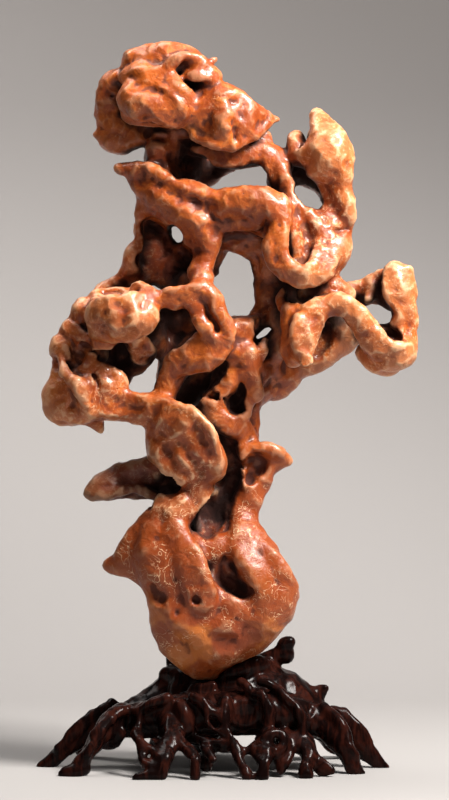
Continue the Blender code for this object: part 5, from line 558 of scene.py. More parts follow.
# Heavy lower body that narrows to the tenon held by the stand.
TORSO = {
    "torso_left": (0.7, [
        (-38, -27, 185, 11), (-39, -29, 175, 14), (-43, -30, 161, 18), (-41, -32, 147, 21.5),
        (-34, -32, 132, 22), (-31, -31, 116, 21), (-31, -28, 100, 19.5), (-24, -26, 88, 18.5),
        (-15, -22, 79, 16), (-10, -12, 70, 8.5)]),
    "torso_spur": (0.75, [
        (-52, -26, 152, 14.5), (-60, -24, 149, 12), (-69, -21, 145, 9.5), (-76, -18, 143, 7),
        (-81, -17, 142, 5)]),
    "torso_right": (0.85, [
        (16, -12, 191, 9), (14, -16, 181, 10), (13, -19, 171, 11), (17, -24, 160, 12.5),
        (22, -27, 149, 15.5), (27, -27, 135, 18.5), (29, -27, 123, 22), (23, -26, 111, 22),
        (14, -24, 100, 20.5), (3, -20, 91, 18), (-6, -18, 82, 14)]),
    "torso_corner": (0.8, [(40, -14, 125, 11), (46, -12, 121, 7)]),
    "torso_mid": (0.9, [
        (-9, -8, 184, 12.5), (-7, -10, 170, 14), (-6, -20, 152, 15.5), (-6, -22, 136, 16.5),
        (-5, -28, 119, 18), (-7, -28, 102, 18.5), (-9, -22, 85, 15.5)]),
    "torso_low": (0.8, [
        (-25, -33, 115, 15), (-14, -36, 106, 14.5), (0, -36, 105, 14.5), (13, -34, 113, 14.5)]),
    "torso_low2": (0.85, [(-21, -28, 93, 15.5), (-7, -28, 89, 18), (8, -27, 96, 16.5)]),
    "torso_lip": (0.8, [
        (-27, -41, 166, 4), (-24, -46, 159, 4.5), (-19, -48, 152, 4.5), (-16, -50, 143, 4.5),
        (-13, -50, 134, 4.5), (-9, -49, 126, 4.5)]),
    "torso_lip_r": (0.8, [
        (8, -33, 168, 4), (9, -37, 158, 4.5), (12, -42, 149, 5), (17, -45, 140, 5), (22, -46, 131, 5)]),
    "torso_bump": (0.8, [(4, -43, 118, 5.5), (9, -43, 115, 5.5)]),
    "torso_back": (1, [
        (2, 6, 201, 13.5), (-2, 6, 183, 17), (-7, 4, 166, 21.5), (-10, 4, 146, 26.5),
        (-7, 4, 124, 31.5), (-7, 4, 103, 30), (-9, 0, 85, 22.5), (-9, -2, 74, 13.5)]),
    "tenon": (1, [(-9, -6, 72, 12.5), (-9, -6, 64, 9)]),
    "torso_face": (0.6, [
        (-34, -36, 181, 6), (-33, -40, 169, 8.5), (-29, -43, 156, 10.5), (-24, -45, 144, 11),
        (-19, -46, 132, 11), (-16, -46, 121, 11)]),
    "torso_ledge": (0.8, [
        (-25, -30, 156, 11), (-15, -31, 154, 12), (-4, -31, 154, 11), (6, -30, 156, 10.5)]),
    "torso_right_bed": (0.85, [
        (12, -28, 167, 8.5), (15, -32, 156, 9.5), (18, -36, 146, 10.5), (23, -38, 136, 11),
        (27, -38, 126, 11.5)]),
    "torso_web": (0.6, [
        (-46, -26, 175, 11), (-53, -26, 165, 12.5), (-60, -25, 157, 12), (-67, -23, 149, 9.5),
        (-59, -24, 144, 12), (-50, -26, 139, 13)]),
    "torso_plane": (0.6, [
        (-38, -40, 120, 10.5), (-31, -42, 112, 11), (-24, -42, 104, 11), (-16, -40, 95, 11)]),
    "torso_chin": (0.7, [(2, -42, 116, 7), (9, -42, 112, 7.5), (18, -40, 109, 7.5)]),
    "torso_edge": (0.7, [
        (23, -32, 158, 6), (32, -38, 149, 7), (39, -38, 139, 7.5), (44, -32, 128, 7.5)]),
    "torso_heel": (0.7, [(-39, -34, 102, 9), (-32, -34, 93, 9), (-21, -30, 83, 8.5)]),
    "torso_neck": (0.8, [(-24, -29, 189, 9.5), (-30, -32, 183, 10.5), (-34, -34, 177, 10.5)]),
    "torso_flank_l": (1.2, [
        (-41, -8, 160, 12), (-40, -6, 140, 13.5), (-37, -6, 117, 13.5), (-28, -6, 95, 13.5)]),
    "torso_flank_r": (1.2, [
        (19, -6, 159, 9), (26, -6, 142, 12.5), (32, -6, 123, 15.5), (25, -6, 102, 14)]),
}

# Openings that run right through the rock.
WINDOWS = {
    "h1_view": (9, [
        (1, 0, 408, 3), (8, 0, 411, 4.5), (16, 0, 413, 5.5), (23, 0, 414, 6.5), (27, 0, 411, 4)]),
    "h2_view": (9, [(54, 0, 403, 6), (59, 0, 399, 7), (63, 0, 396, 6.5)]),
    "h3_view": (9, [(-36, 0, 378, 4), (-34, 0, 375, 5), (-32, 0, 371, 4.5)]),
    "h4_view": (9, [
        (6, 0, 350, 5), (9, 0, 345, 7.5), (9, 0, 336, 8.5), (8, 0, 328, 7), (8, 0, 320, 4.5)]),
    "h4_side": (9, [(-7, 0, 341, 2.5), (-1, 0, 339, 5.5), (3, 0, 330, 4)]),
    "h5_view": (9, [(23, 0, 301, 2.5), (28, 0, 305, 3), (32, 0, 308, 2.5)]),
    "h6_view": (9, [(104, 0, 319, 4), (108, 0, 318, 5.5), (112, 0, 315, 5)]),
    "h7_view": (9, [(-59, 0, 266, 5), (-54, 0, 271, 5.5), (-50, 0, 276, 4.5), (-48, 0, 283, 3)]),
    "h8_view": (9, [(-50, 0, 336, 3), (-47, 0, 335, 2)]),
    "h9_view": (9, [(-37, 0, 264, 2), (-35, 0, 266, 1.5)]),
    "h10_view": (9, [(-46, 0, 291, 1.5)]),
}

# Shallow hollows on the far side.
BACK_HOLLOWS = {
    "back_a": (1.2, [(5, 36, 142, 8.5), (-2, 40, 124, 10.5), (-5, 38, 110, 8.5)]),
    "back_b": (1.2, [(-24, 32, 97, 5.5), (-29, 34, 106, 5.5)]),
    "back_c": (1.2, [(8, 26, 182, 7), (5, 24, 194, 6.5)]),
    "back_d": (1.2, [(-53, 36, 477, 6.5), (-42, 38, 471, 8)]),
    "back_e": (1.2, [(-14, 24, 461, 5.5), (-20, 28, 465, 5.5)]),
    "back_f": (1.2, [(-91, 20, 281, 7), (-95, 18, 271, 7)]),
    "back_g": (1.2, [(-17, 26, 369, 6.5), (-24, 28, 378, 5.5)]),
    "back_h": (1.2, [(74, 18, 419, 6.5), (77, 16, 410, 5)]),
    "back_i": (1.2, [(-24, 26, 306, 7), (-33, 26, 312, 5.5)]),
    "back_j": (1.2, [(60, 18, 292, 5.5), (70, 18, 298, 5.5)]),
    "back_k": (1.2, [(13, 19, 285, 6.5), (11, 19, 272, 6.5)]),
    "back_l": (1.2, [(-42, 2, 173, 7), (-45, 0, 162, 7.5)]),
    "back_m": (1.2, [(-17, 20, 211, 7), (-23, 20, 220, 5.5)]),
    "back_n": (1.2, [(-24, 34, 143, 6.5), (-27, 36, 132, 7)]),
}

# Hollows, pits and grooves that end inside the rock.
HOLLOWS = {
    "head_pit": (2, [
        (-24, -38, 475, 2.5), (-19, -38, 474, 4), (-17, -37, 472, 4.5), (-17, -35, 469, 3)]),
    "head_pit_up": (1.5, [
        (-24, -38, 493, 2), (-28, -39, 490, 3), (-30, -38, 487, 3), (-30, -37, 484, 2)]),
    "head_pin": (2, [(-34, -54, 468, 2)]),
    "head_eye": (1.5, [(-78, -10, 469, 2.5)]),
    "head_knob_pit": (1.5, [(-64, -18, 494, 1.5)]),
    "head_crack": (1.2, [(-72, -24, 481, 2), (-67, -28, 483, 2)]),
    "head_valley": (1, [
        (-15, -43, 464, 2.5), (-18, -44, 458, 3), (-22, -42, 451, 3), (-26, -37, 444, 3.5)]),
    "under_muzzle": (1.3, [
        (-68, -24, 447, 3), (-58, -30, 447, 3.5), (-48, -32, 446, 4), (-36, -30, 443, 4),
        (-27, -26, 441, 3.5)]),
    "under_head": (1.2, [(-50, -18, 441, 3.5), (-38, -18, 439, 3.5), (-23, -20, 434, 4)]),
    "shell_pit": (1.6, [(4, -40, 468, 2.5), (9, -36, 466, 2.5)]),
    "shell_pit_b": (1.6, [(-7, -44, 455, 2)]),
    "h1_cave": (1.3, [
        (-32, -18, 424, 6.5), (-25, -14, 422, 9), (-16, -10, 419, 10), (-9, -7, 415, 7.5),
        (-2, -4, 414, 5.5)]),
    "neck_pit": (1.4, [(-45, -20, 425, 3), (-41, -20, 423, 2.5)]),
    "cave": (1.15, [
        (-53, -8, 379, 7), (-48, -6, 373, 9), (-45, -4, 365, 10.5), (-39, -4, 357, 11),
        (-31, -6, 354, 10), (-31, -6, 365, 9), (-37, -6, 371, 9)]),
    "cave_low": (1.1, [(-56, -4, 354, 7), (-52, -6, 347, 6.5), (-39, -8, 346, 6.5)]),
    "hood_cave": (1.1, [
        (2, -26, 369, 5), (11, -26, 366, 7), (19, -24, 361, 7), (22, -20, 351, 6.5),
        (23, -19, 340, 6.5), (22, -19, 328, 5.5)]),
    "hood_pit": (1.6, [(25, -38, 373, 3), (27, -40, 377, 3.5), (29, -40, 382, 3), (26, -31, 375, 3.5)]),
    "h4_shadow": (1.2, [(-2, -18, 358, 5), (-5, -16, 350, 5)]),
    "funnel": (1, [(48, -42, 389, 4), (51, -46, 380, 6), (53, -49, 371, 7.5), (54, -51, 362, 6.5)]),
    "funnel_pit": (1, [(56, -36, 383, 3), (58, -38, 374, 4), (57, -40, 366, 4), (55, -42, 360, 3.5)]),
    "lobe_cave": (1.3, [
        (51, -12, 414, 5.5), (58, -10, 411, 6.5), (65, -9, 405, 5.5), (70, -9, 399, 4)]),
    "lobe_cave_low": (1, [(72, -14, 391, 4), (76, -14, 386, 3.5)]),
    "lobe_notch": (1.6, [(73, -32, 377, 2.5), (79, -28, 376, 3), (86, -22, 377, 2)]),
    "lobe_valley": (1.2, [(55, -16, 437, 3), (53, -18, 430, 2.5)]),
    "rough_a": (1.1, [(61, -32, 330, 2.5)]),
    "rough_b": (1.1, [(70, -36, 334, 2.5)]),
    "rough_c": (1.1, [(76, -34, 340, 2.5)]),
    "dark_right": (1.5, [(45, -28, 330, 4), (48, -30, 328, 4.5)]),
    "under_arch_dark": (1.6, [(71, -14, 304, 7), (70, -14, 297, 7.5), (66, -12, 291, 5.5)]),
    "arch_space": (1.1, [
        (80, -38, 313, 5.5), (73, -38, 306, 7.5), (81, -34, 303, 7.5), (68, -38, 295, 6.5),
        (63, -36, 289, 3.5)]),
    "arch_socket": (1.3, [(55, -52, 286, 2)]),
    "loop_pit": (1.5, [(111, -29, 309, 4), (115, -31, 305, 6), (119, -30, 301, 5.5)]),
    "web_pit": (1.2, [(92, -14, 333, 3)]),
    "web_pit_b": (1.2, [(107, -14, 333, 4), (110, -14, 340, 4)]),
    "h5_front": (1.4, [(26, -24, 315, 5), (23, -22, 307, 4.5), (32, -22, 321, 5)]),
    "right_gap": (1.5, [
        (34, -24, 308, 3.5), (34, -24, 298, 3.5), (34, -22, 288, 4), (36, -18, 280, 3.5)]),
    "under_facet": (1.3, [(26, -18, 263, 3), (32, -16, 268, 4), (37, -14, 273, 3.5)]),
    "d13": (1.8, [(12, -24, 267, 3), (11, -22, 260, 5), (6, -24, 253, 6), (11, -22, 252, 5)]),
    "d13_up": (1.5, [(14, -24, 278, 3), (11, -24, 274, 3)]),
    "ridge_gap": (1.2, [(4, -22, 259, 3), (-9, -26, 261, 3.5)]),
    "eye_dark": (1.5, [
        (-41, -26, 309, 7), (-37, -26, 305, 10), (-31, -26, 305, 11), (-38, -24, 298, 7.5),
        (-30, -24, 298, 7.5)]),
    "slot": (1.6, [
        (-31, -16, 257, 7), (-23, -16, 262, 8.5), (-15, -16, 270, 9), (-7, -18, 277, 8),
        (-1, -18, 285, 6.5)]),
    "eye_pit": (2, [(-13, -45, 323, 3), (-10, -46, 317, 4), (-7, -46, 312, 3.5), (-5, -45, 307, 3)]),
    "dent": (1.2, [(-57, -60, 324, 2), (-53, -57, 325, 2)]),
    "h7_front": (1.7, [(-72, -30, 292, 6.5), (-73, -29, 285, 5), (-68, -31, 294, 5.5)]),
    "under_cap": (1.2, [
        (-98, -26, 297, 3), (-92, -27, 293, 2.5), (-84, -28, 291, 3), (-79, -28, 285, 2)]),
    "knob_cut_a": (1.3, [
        (-106, -25, 298, 3), (-105, -25, 291, 3.5), (-101, -27, 285, 4), (-107, -27, 282, 3)]),
    "knob_cut_b": (1.3, [(-99, -26, 311, 3), (-94, -30, 307, 3)]),
    "knob_cut_c": (1.2, [(-88, -40, 322, 1.5), (-95, -26, 326, 2)]),
    "cluster_gap": (1.3, [(-84, -18, 332, 3), (-77, -18, 333, 3), (-71, -20, 332, 2.5)]),
    "slab_cut": (1.1, [(-60, -20, 282, 4), (-53, -20, 286, 4)]),
    "ring_left": (1.5, [(-106, -33, 254, 3.5)]),
    "ring_left2": (1.4, [(-86, -38, 261, 3), (-83, -37, 259, 2.5)]),
    "ring_small": (1.4, [(-76, -35, 277, 2)]),
    "horn_dark": (1.5, [(-43, -22, 199, 6.5), (-38, -24, 201, 9.5), (-34, -25, 205, 9)]),
    "horn_under": (1, [(-74, -26, 187, 3.5), (-61, -28, 187, 4), (-52, -28, 184, 4)]),
    "pit_a": (1.3, [(0, -24, 227, 3), (1, -24, 223, 2.5)]),
    "cup_dark": (1.6, [
        (16, -23, 214, 5), (22, -27, 216, 7), (28, -27, 214, 6), (23, -25, 209, 7), (18, -23, 203, 5)]),
    "groove": (1.6, [
        (4, -22, 218, 4.5), (5, -21, 209, 5), (2, -20, 198, 6.5), (-2, -22, 190, 7.5),
        (-9, -26, 181, 10.5), (-11, -30, 174, 10.5), (-11, -36, 169, 7.5)]),
    "d10": (1.5, [
        (0, -40, 149, 3.5), (-2, -42, 141, 5.5), (0, -42, 135, 7), (6, -42, 131, 7.5),
        (12, -44, 127, 6), (18, -47, 126, 3.5)]),
    "torso_dent": (1.1, [(-51, -44, 127, 6), (-46, -46, 121, 6), (-43, -52, 131, 3.5)]),
    "torso_dent_b": (1.4, [(-20, -52, 121, 4)]),
    "torso_dent_c": (1.3, [(-33, -50, 112, 3.5)]),
    "torso_dent_d": (1.3, [(2, -45, 85, 3.5)]),
    "torso_dent_e": (0.8, [(-2, -58, 115, 5), (-2, -59, 107, 5.5)]),
    "torso_dent_f": (0.8, [(-45, -44, 176, 5.5), (-47, -46, 166, 6)]),
    "cave_top": (1.3, [(-52, -14, 382, 5.5), (-46, -14, 378, 7), (-39, -14, 372, 5.5)]),
    "head_fold_a": (1, [
        (-67, -37, 473, 2.5), (-60, -40, 472, 3), (-53, -40, 474, 3), (-46, -42, 472, 3),
        (-39, -44, 468, 2.5)]),
    "head_fold_b": (1, [
        (-51, -43, 457, 2.5), (-44, -45, 460, 3), (-35, -45, 459, 3), (-29, -42, 457, 2.5)]),
    "head_fold_c": (1, [(-62, -36, 477, 2), (-55, -39, 477, 2.5), (-47, -40, 477, 2)]),
    "shell_valley_a": (1, [
        (-7, -38, 470, 3.5), (-7, -41, 461, 3.5), (-8, -41, 452, 3.5), (-11, -38, 443, 3.5)]),
    "shell_valley_b": (1, [(4, -36, 466, 3), (7, -39, 457, 3.5), (7, -38, 448, 3.5), (7, -35, 439, 3)]),
    "shell_under": (1.3, [(-13, -27, 430, 3), (-5, -28, 427, 3), (4, -28, 427, 3), (13, -26, 430, 3)]),
    "left_valley_a": (1, [
        (-91, -30, 276, 3), (-88, -33, 270, 3), (-88, -35, 263, 3), (-92, -37, 256, 3)]),
    "left_valley_b": (1, [
        (-108, -30, 279, 2.5), (-111, -33, 270, 3), (-112, -36, 261, 3), (-108, -37, 256, 2.5)]),
    "shoulder_valley": (1, [
        (-32, -51, 240, 3), (-25, -54, 233, 3.5), (-20, -55, 225, 3.5), (-15, -53, 217, 3.5),
        (-13, -48, 209, 3)]),
    "torso_crease": (1, [(-42, -54, 135, 2.5), (-44, -53, 125, 3), (-42, -50, 113, 3)]),
    "cluster_notch_a": (1.3, [(-110, -24, 316, 2.5), (-106, -27, 313, 2)]),
    "cluster_notch_b": (1.3, [(-118, -24, 305, 2.5), (-113, -27, 301, 2)]),
}

# Mound of the stand and its skirts.
MOUND = {
    "mound_left": (1.1, [(-34, 10, 52, 14.5), (-48, 8, 41, 14.5), (-61, 4, 36, 12), (-73, 2, 32, 9)]),
    "mound_top": (1.2, [
        (-24, -6, 51, 15.5), (-9, -8, 47, 17), (9, -8, 52, 18), (26, -4, 52, 19), (40, 0, 48, 19.5),
        (54, -2, 40, 15.5), (65, -4, 34, 10)]),
    "mound_front": (1.1, [
        (-66, -16, 33, 12), (-50, -26, 36, 13), (-31, -32, 39, 14.5), (-13, -34, 41, 14.5),
        (7, -34, 41, 15), (26, -32, 41, 15), (46, -28, 38, 14), (64, -20, 33, 11)]),
    "mound_back": (1.2, [
        (-71, 28, 28, 9), (-49, 40, 35, 15), (-25, 44, 39, 18.5), (0, 46, 40, 20), (25, 42, 41, 19),
        (47, 34, 37, 15.5), (63, 24, 30, 9)]),
    "skirt_2": (0.8, [(-84, -30, 23, 7), (-78, -34, 21, 5), (-73, -36, 27, 5)]),
    "skirt_7": (1, [(41, -46, 25, 6), (49, -48, 22, 7), (55, -52, 19, 6)]),
    "leaf_point": (0.7, [(54, 0, 51, 7.5), (62, -2, 50, 6.5), (67, -3, 53, 4.5), (72, -4, 56, 1.5)]),
}

# Collar round the socket, the post behind it and the carved bud.
COLLAR = {
    "collar_right": (1, [
        (2, -20, 65, 5.5), (8, -22, 69, 7), (16, -18, 72, 7), (25, -12, 73, 5.5), (28, -6, 72, 5)]),
    "collar_right_b": (1, [(26, -4, 72, 5.5), (32, 6, 69, 6.5)]),
    "collar_left": (1, [
        (-41, 6, 64, 5.5), (-33, -2, 64, 6.5), (-24, -14, 63, 5.5), (-17, -20, 62, 4.5),
        (-13, -22, 61, 3.5)]),
    "tongue": (0.8, [(-21, -30, 57, 4), (-14, -34, 58, 4), (-9, -35, 60, 4)]),
    "post": (0.7, [(-34, 16, 77, 7), (-34, 15, 70, 7), (-33, 12, 62, 7.5)]),
    "collar_back": (1, [
        (-28, 24, 64, 8.5), (-14, 34, 66, 8.5), (2, 36, 67, 8.5), (18, 30, 68, 8.5), (29, 18, 67, 7.5)]),
    "bud_stem": (1, [(26, 4, 73, 5), (32, 6, 76, 5), (38, 6, 78, 5.5), (43, 6, 78, 6)]),
    "bud": (1, [(41, 4, 85, 4), (45, 4, 87, 4.5)]),
}

# Roots that run down to the feet.
ROOTS = {
    "leg_1": (1, [
        (-72, 4, 35, 6.5), (-83, 2, 34, 7.5), (-94, 0, 26, 7), (-104, -2, 18, 6), (-112, -3, 12, 5),
        (-118, -3, 7, 5.5), (-123, -3, 3, 5), (-129, -3, 0, 3)]),
    "leg_1_pips": (1, [(-81, -2, 43, 3), (-79, -2, 46, 2)]),
    "leg_1_pip2": (1, [(-93, 0, 33, 4), (-102, 0, 27, 3.5)]),
    "leg_2": (1, [
        (-71, -26, 40, 7.5), (-81, -36, 33, 7), (-88, -44, 24, 6), (-93, -50, 16, 5), (-99, -55, 9, 5)]),
    "foot_2": (1, [(-113, -57, 1, 2), (-108, -57, 3, 4), (-102, -57, 3, 5), (-96, -53, 5, 4)]),
    "leg_3": (1, [
        (-36, -44, 33, 9), (-38, -56, 25, 7), (-39, -66, 18, 5), (-41, -73, 12, 4.5),
        (-44, -76, 3, 4.5)]),
    "toe_3": (1, [(-43, -76, 3, 4), (-51, -77, 3, 3.5), (-58, -78, 2, 2.5), (-62, -78, 1, 1.5)]),
    "strand_3": (1, [
        (-61, -50, 28, 4), (-58, -58, 24, 3), (-57, -64, 17, 3), (-55, -70, 11, 3), (-48, -74, 8, 4)]),
    "strand_3b": (1, [(-57, -60, 25, 2.5), (-52, -64, 20, 2.5), (-44, -68, 19, 2.5)]),
    "strand_3c": (1, [(-46, -54, 26, 4), (-43, -60, 21, 3.5)]),
    "strand_3d": (1, [(-48, -68, 18, 2.5), (-46, -71, 13, 3.5)]),
    "leg_4": (1, [
        (-33, -54, 29, 5), (-30, -62, 23, 4), (-24, -68, 18, 4), (-20, -72, 14, 3.5),
        (-20, -76, 12, 3), (-20, -78, 2, 3.5)]),
    "rear_ball": (1, [(-14, -50, 12, 4), (-13, -56, 8, 5)]),
    "bar_4": (1, [
        (-24, -46, 25, 4), (-14, -52, 24, 4), (-4, -56, 21, 4), (5, -60, 20, 4), (15, -64, 18, 2),
        (26, -66, 20, 3.5)]),
    "bar_4b": (1, [(-13, -54, 23, 4), (-11, -56, 16, 3.5)]),
    "rear_tip": (1, [(2, -44, 15, 5), (4, -44, 8, 3.5), (5, -46, 5, 2.5)]),
    "rear_bow": (1, [(-11, -40, 9, 3), (-7, -40, 13, 3), (-2, -40, 15, 3.5)]),
    "leg_5": (1, [(7, -62, 21, 4.5), (10, -68, 14, 3.5), (13, -73, 8, 3), (16, -76, 2, 3.5)]),
    "leg_6": (1, [
        (26, -56, 26, 5), (29, -64, 19, 4.5), (29, -70, 14, 3.5), (27, -75, 10, 3.5), (26, -77, 2, 4)]),
    "leg_6_leaf": (1, [(35, -58, 17, 4), (38, -60, 11, 4), (39, -64, 4, 2.5)]),
    "ring_6": (1, [
        (29, -62, 25, 3), (31, -60, 29, 3), (35, -58, 30, 3), (40, -58, 28, 3), (41, -60, 23, 3),
        (39, -62, 19, 3), (34, -63, 17, 3), (29, -63, 19, 3)]),
    "leg_7": (1, [
        (56, -48, 22, 6), (58, -56, 16, 5), (57, -62, 10, 4.5), (56, -66, 8, 4.5), (56, -68, 2, 5)]),
    "leg_8_leaf": (0.7, [(60, -54, 16, 2.5), (64, -57, 12, 2.5), (69, -60, 8, 3), (74, -62, 4, 2.5)]),
    "leg_8_web": (0.5, [(64, -58, 8, 3.5), (66, -60, 5, 4), (69, -61, 4, 4)]),
    "leg_9": (1, [
        (62, -20, 37, 9), (72, -30, 29, 8.5), (80, -37, 21, 7.5), (85, -41, 14, 6),
        (88, -43, 7, 5.5), (91, -43, 2, 5), (95, -43, 0, 3)]),
    "leg_10": (1, [
        (75, -2, 33, 7.5), (85, -4, 29, 7.5), (92, -6, 20, 7), (98, -7, 12, 6), (104, -8, 7, 5),
        (109, -8, 2, 4), (113, -8, 0, 3)]),
    "leg_10_pip": (1, [(76, -4, 39, 3.5), (83, -5, 39, 2.5)]),
    "back_1": (1, [(-74, 34, 29, 9), (-89, 46, 15, 8.5), (-100, 54, 6, 7)]),
    "back_2": (1, [(-40, 56, 25, 8.5), (-46, 66, 9, 7), (-51, 72, 4, 5.5)]),
    "back_3": (1, [(-9, 60, 23, 10), (-15, 70, 9, 7), (-18, 76, 4, 5.5)]),
    "back_4": (1, [(27, 56, 25, 8.5), (34, 66, 9, 7), (40, 72, 4, 5.5)]),
    "back_5": (1, [(65, 32, 28, 9), (79, 44, 13, 8.5), (90, 50, 6, 7)]),
    "leg_1_crest": (0.8, [
        (-76, -2, 43, 3), (-84, -6, 42, 3), (-93, -8, 35, 3), (-101, -9, 28, 3), (-110, -9, 20, 3),
        (-117, -9, 13, 3)]),
    "leg_2_crest": (0.8, [
        (-67, -34, 44, 3), (-75, -42, 41, 3), (-83, -50, 33, 3), (-89, -55, 24, 3),
        (-95, -59, 15, 2.5)]),
    "leg_9_crest": (0.8, [
        (65, -26, 44, 3), (74, -34, 38, 3), (81, -39, 30, 3), (86, -43, 21, 3), (90, -45, 12, 3)]),
    "leg_10_crest": (0.8, [
        (77, -5, 40, 3), (85, -7, 35, 3), (93, -9, 27, 3), (99, -10, 18, 3), (105, -10, 10, 3)]),
    "leg_1_knobs": (1, [(-93, -6, 38, 3), (-96, -8, 34, 3), (-105, -8, 27, 3), (-109, -8, 22, 3)]),
    "leg_2_knobs": (1, [(-75, -38, 44, 3), (-81, -44, 39, 3), (-87, -50, 32, 3), (-91, -52, 28, 2.5)]),
    "leg_9_knobs": (1, [(69, -28, 45, 3), (76, -34, 40, 3), (81, -39, 34, 3), (86, -42, 25, 2.5)]),
    "leg_10_knobs": (1, [(84, -5, 39, 3), (89, -8, 33, 3), (96, -9, 26, 3), (102, -10, 17, 2.5)]),
    "strand_twig_a": (1, [(-14, -60, 20, 3), (-9, -66, 14, 2.5), (-4, -70, 8, 2.5)]),
    "strand_twig_b": (1, [(19, -62, 22, 3), (22, -68, 15, 2.5), (26, -72, 10, 2.5)]),
    "strand_twig_c": (1, [(45, -52, 23, 3.5), (46, -58, 16, 2.5), (42, -64, 9, 2.5)]),
}

# Raised ridges and lips on the mound.
CREASES = {
    "ridge_eye": (1, [
        (-22, -48, 54, 3), (-16, -51, 51, 3.5), (-11, -53, 45, 3), (-6, -54, 43, 2.5),
        (-1, -54, 40, 2.5), (1, -55, 34, 2.5)]),
    "ridge_eye_low": (1, [(-13, -56, 44, 2), (-11, -57, 37, 2), (-6, -58, 32, 2), (1, -59, 29, 2)]),
    "ridge_panel": (1, [
        (11, -38, 63, 3), (16, -42, 60, 3), (20, -46, 56, 3), (26, -48, 56, 3), (29, -50, 51, 3),
        (31, -51, 44, 3.5), (31, -52, 35, 3.5), (28, -54, 29, 3)]),
    "ridge_panel_l": (1, [(1, -48, 52, 3.5), (0, -53, 42, 3.5), (1, -56, 32, 3.5), (7, -60, 24, 3.5)]),
    "ridge_cap": (1, [
        (25, -36, 63, 3), (33, -38, 61, 3), (38, -40, 57, 3), (43, -43, 52, 3), (49, -45, 47, 3),
        (52, -47, 42, 3), (54, -48, 35, 3), (54, -49, 30, 3)]),
    "ridge_left": (1, [(-65, -36, 43, 2), (-58, -40, 44, 2), (-52, -42, 48, 3), (-40, -42, 52, 4)]),
    "ridge_flank": (1, [(-30, -46, 48, 4), (-27, -50, 41, 4), (-25, -50, 32, 4)]),
    "ridge_pocket": (1, [(-59, -40, 42, 2), (-59, -42, 36, 2), (-61, -44, 30, 3)]),
    "ridge_r": (1, [
        (68, -26, 38, 3), (76, -32, 35, 2.5), (81, -38, 31, 2.5), (83, -43, 25, 2), (87, -46, 19, 2),
        (91, -46, 13, 2.5)]),
    "lip": (1, [(-7, -60, 24, 2), (0, -61, 23, 2), (4, -61, 25, 2)]),
}

# Hollow underneath, scooped panels and the openings between the roots.
STAND_HOLLOWS = {
    "under": (0.72, [(-52, 0, 8, 36.5), (-17, 0, 6, 46), (11, 0, 6, 46), (46, 0, 8, 38)]),
    "panel": (0.9, [(15, -57, 51, 11), (15, -58, 42, 13), (15, -59, 34, 11.5)]),
    "panel_gap": (5, [(11, -60, 24, 2), (14, -60, 23, 2.5), (18, -60, 25, 2)]),
    "eye": (1.4, [(-9, -58, 40, 3), (-5, -58, 36, 3.5)]),
    "eye_low": (1.2, [(-6, -62, 28, 2.5), (0, -62, 27, 2)]),
    "rec_1": (1.3, [(45, -52, 42, 5), (44, -52, 38, 4)]),
    "rec_2": (1.2, [(22, -46, 61, 3.5)]),
    "rec_3": (1.2, [(30, -46, 58, 3.5), (34, -47, 55, 3.5)]),
    "rec_4": (1.2, [(49, -42, 53, 3.5)]),
    "rec_5": (1.2, [(-64, -44, 36, 3.5), (-70, -42, 32, 3)]),
    "rec_6": (1.1, [(-50, -56, 36, 7), (-46, -56, 29, 6)]),
    "rec_7": (1.1, [(-20, -58, 28, 4), (-24, -58, 32, 4)]),
    "rec_8": (1.1, [(61, -34, 46, 3.5), (59, -40, 40, 3.5)]),
    "a1_view": (6, [(-92, 0, 6, 3), (-85, 0, 4, 4), (-76, 0, 6, 5), (-68, 0, 13, 6.5), (-68, 0, 4, 7)]),
    "a1_low": (6, [(-87, 0, 0, 6.5), (-77, 0, -1, 7.5), (-68, 0, 0, 6.5)]),
    "h_ring1": (6, [(-52, 0, 16, 2), (-48, 0, 15, 2)]),
    "h_ring2": (6, [(-52, 0, 6, 2), (-52, 0, 5, 2)]),
    "a2_view": (6, [(-31, 0, 1, 5.5), (-31, 0, -4, 6.5)]),
    "h_a": (6, [(-22, 0, 13, 2), (-19, 0, 12, 2.5), (-16, 0, 13, 1.5)]),
    "a3_view": (6, [(-4, -80, 12, 2.5), (-4, -80, 7, 5)]),
    "a4_view": (6, [(21, 0, 4, 5.5), (22, 0, -1, 6.5), (19, 0, 6, 5)]),
    "h_ring6": (6, [(35, 0, 17, 3)]),
    "a5_view": (6, [(46, 0, 1, 4), (47, 0, -3, 5.5)]),
    "a6_view": (6, [(64, 0, 9, 3), (71, 0, 9, 3), (75, 0, 4, 3)]),
    "a6_low": (6, [(78, 0, -1, 2)]),
    "leg_1_cut": (0.8, [(-88, -14, 26, 3), (-98, -15, 18, 3)]),
    "leg_2_cut": (0.8, [(-81, -58, 26, 2.5), (-87, -62, 18, 2.5)]),
    "leg_9_cut": (0.8, [(72, -46, 26, 3), (78, -54, 18, 2.5)]),
}
STONE_REGIONS = (HEAD, NECK, PLATE, FUNNEL, LOBE, ARM, TRUNK, EYE, CLUSTER, SHOULDER, CUP, TORSO)
STONE_CUTS = (WINDOWS, BACK_HOLLOWS, HOLLOWS)
STAND_REGIONS = (MOUND, COLLAR, ROOTS, CREASES)
STAND_CUTS = (STAND_HOLLOWS,)


# ---------------------------------------------------------------- settings

def length(name, description, default):
    """A size in metres that a user may change."""
    return bpy.props.FloatProperty(name=name, description=description, default=default,
                                   min=0.0, precision=5, unit="LENGTH")


def colour(name, description, default):
    """A linear colour that a user may change."""
    return bpy.props.FloatVectorProperty(name=name, description=description, default=default,
                                         size=3, min=0.0, max=1.0, subtype="COLOR")


def factor(name, description, default):
    """A share between none and all."""
    return bpy.props.FloatProperty(name=name, description=description, default=default,
                                   min=0.0, max=1.0, subtype="FACTOR")


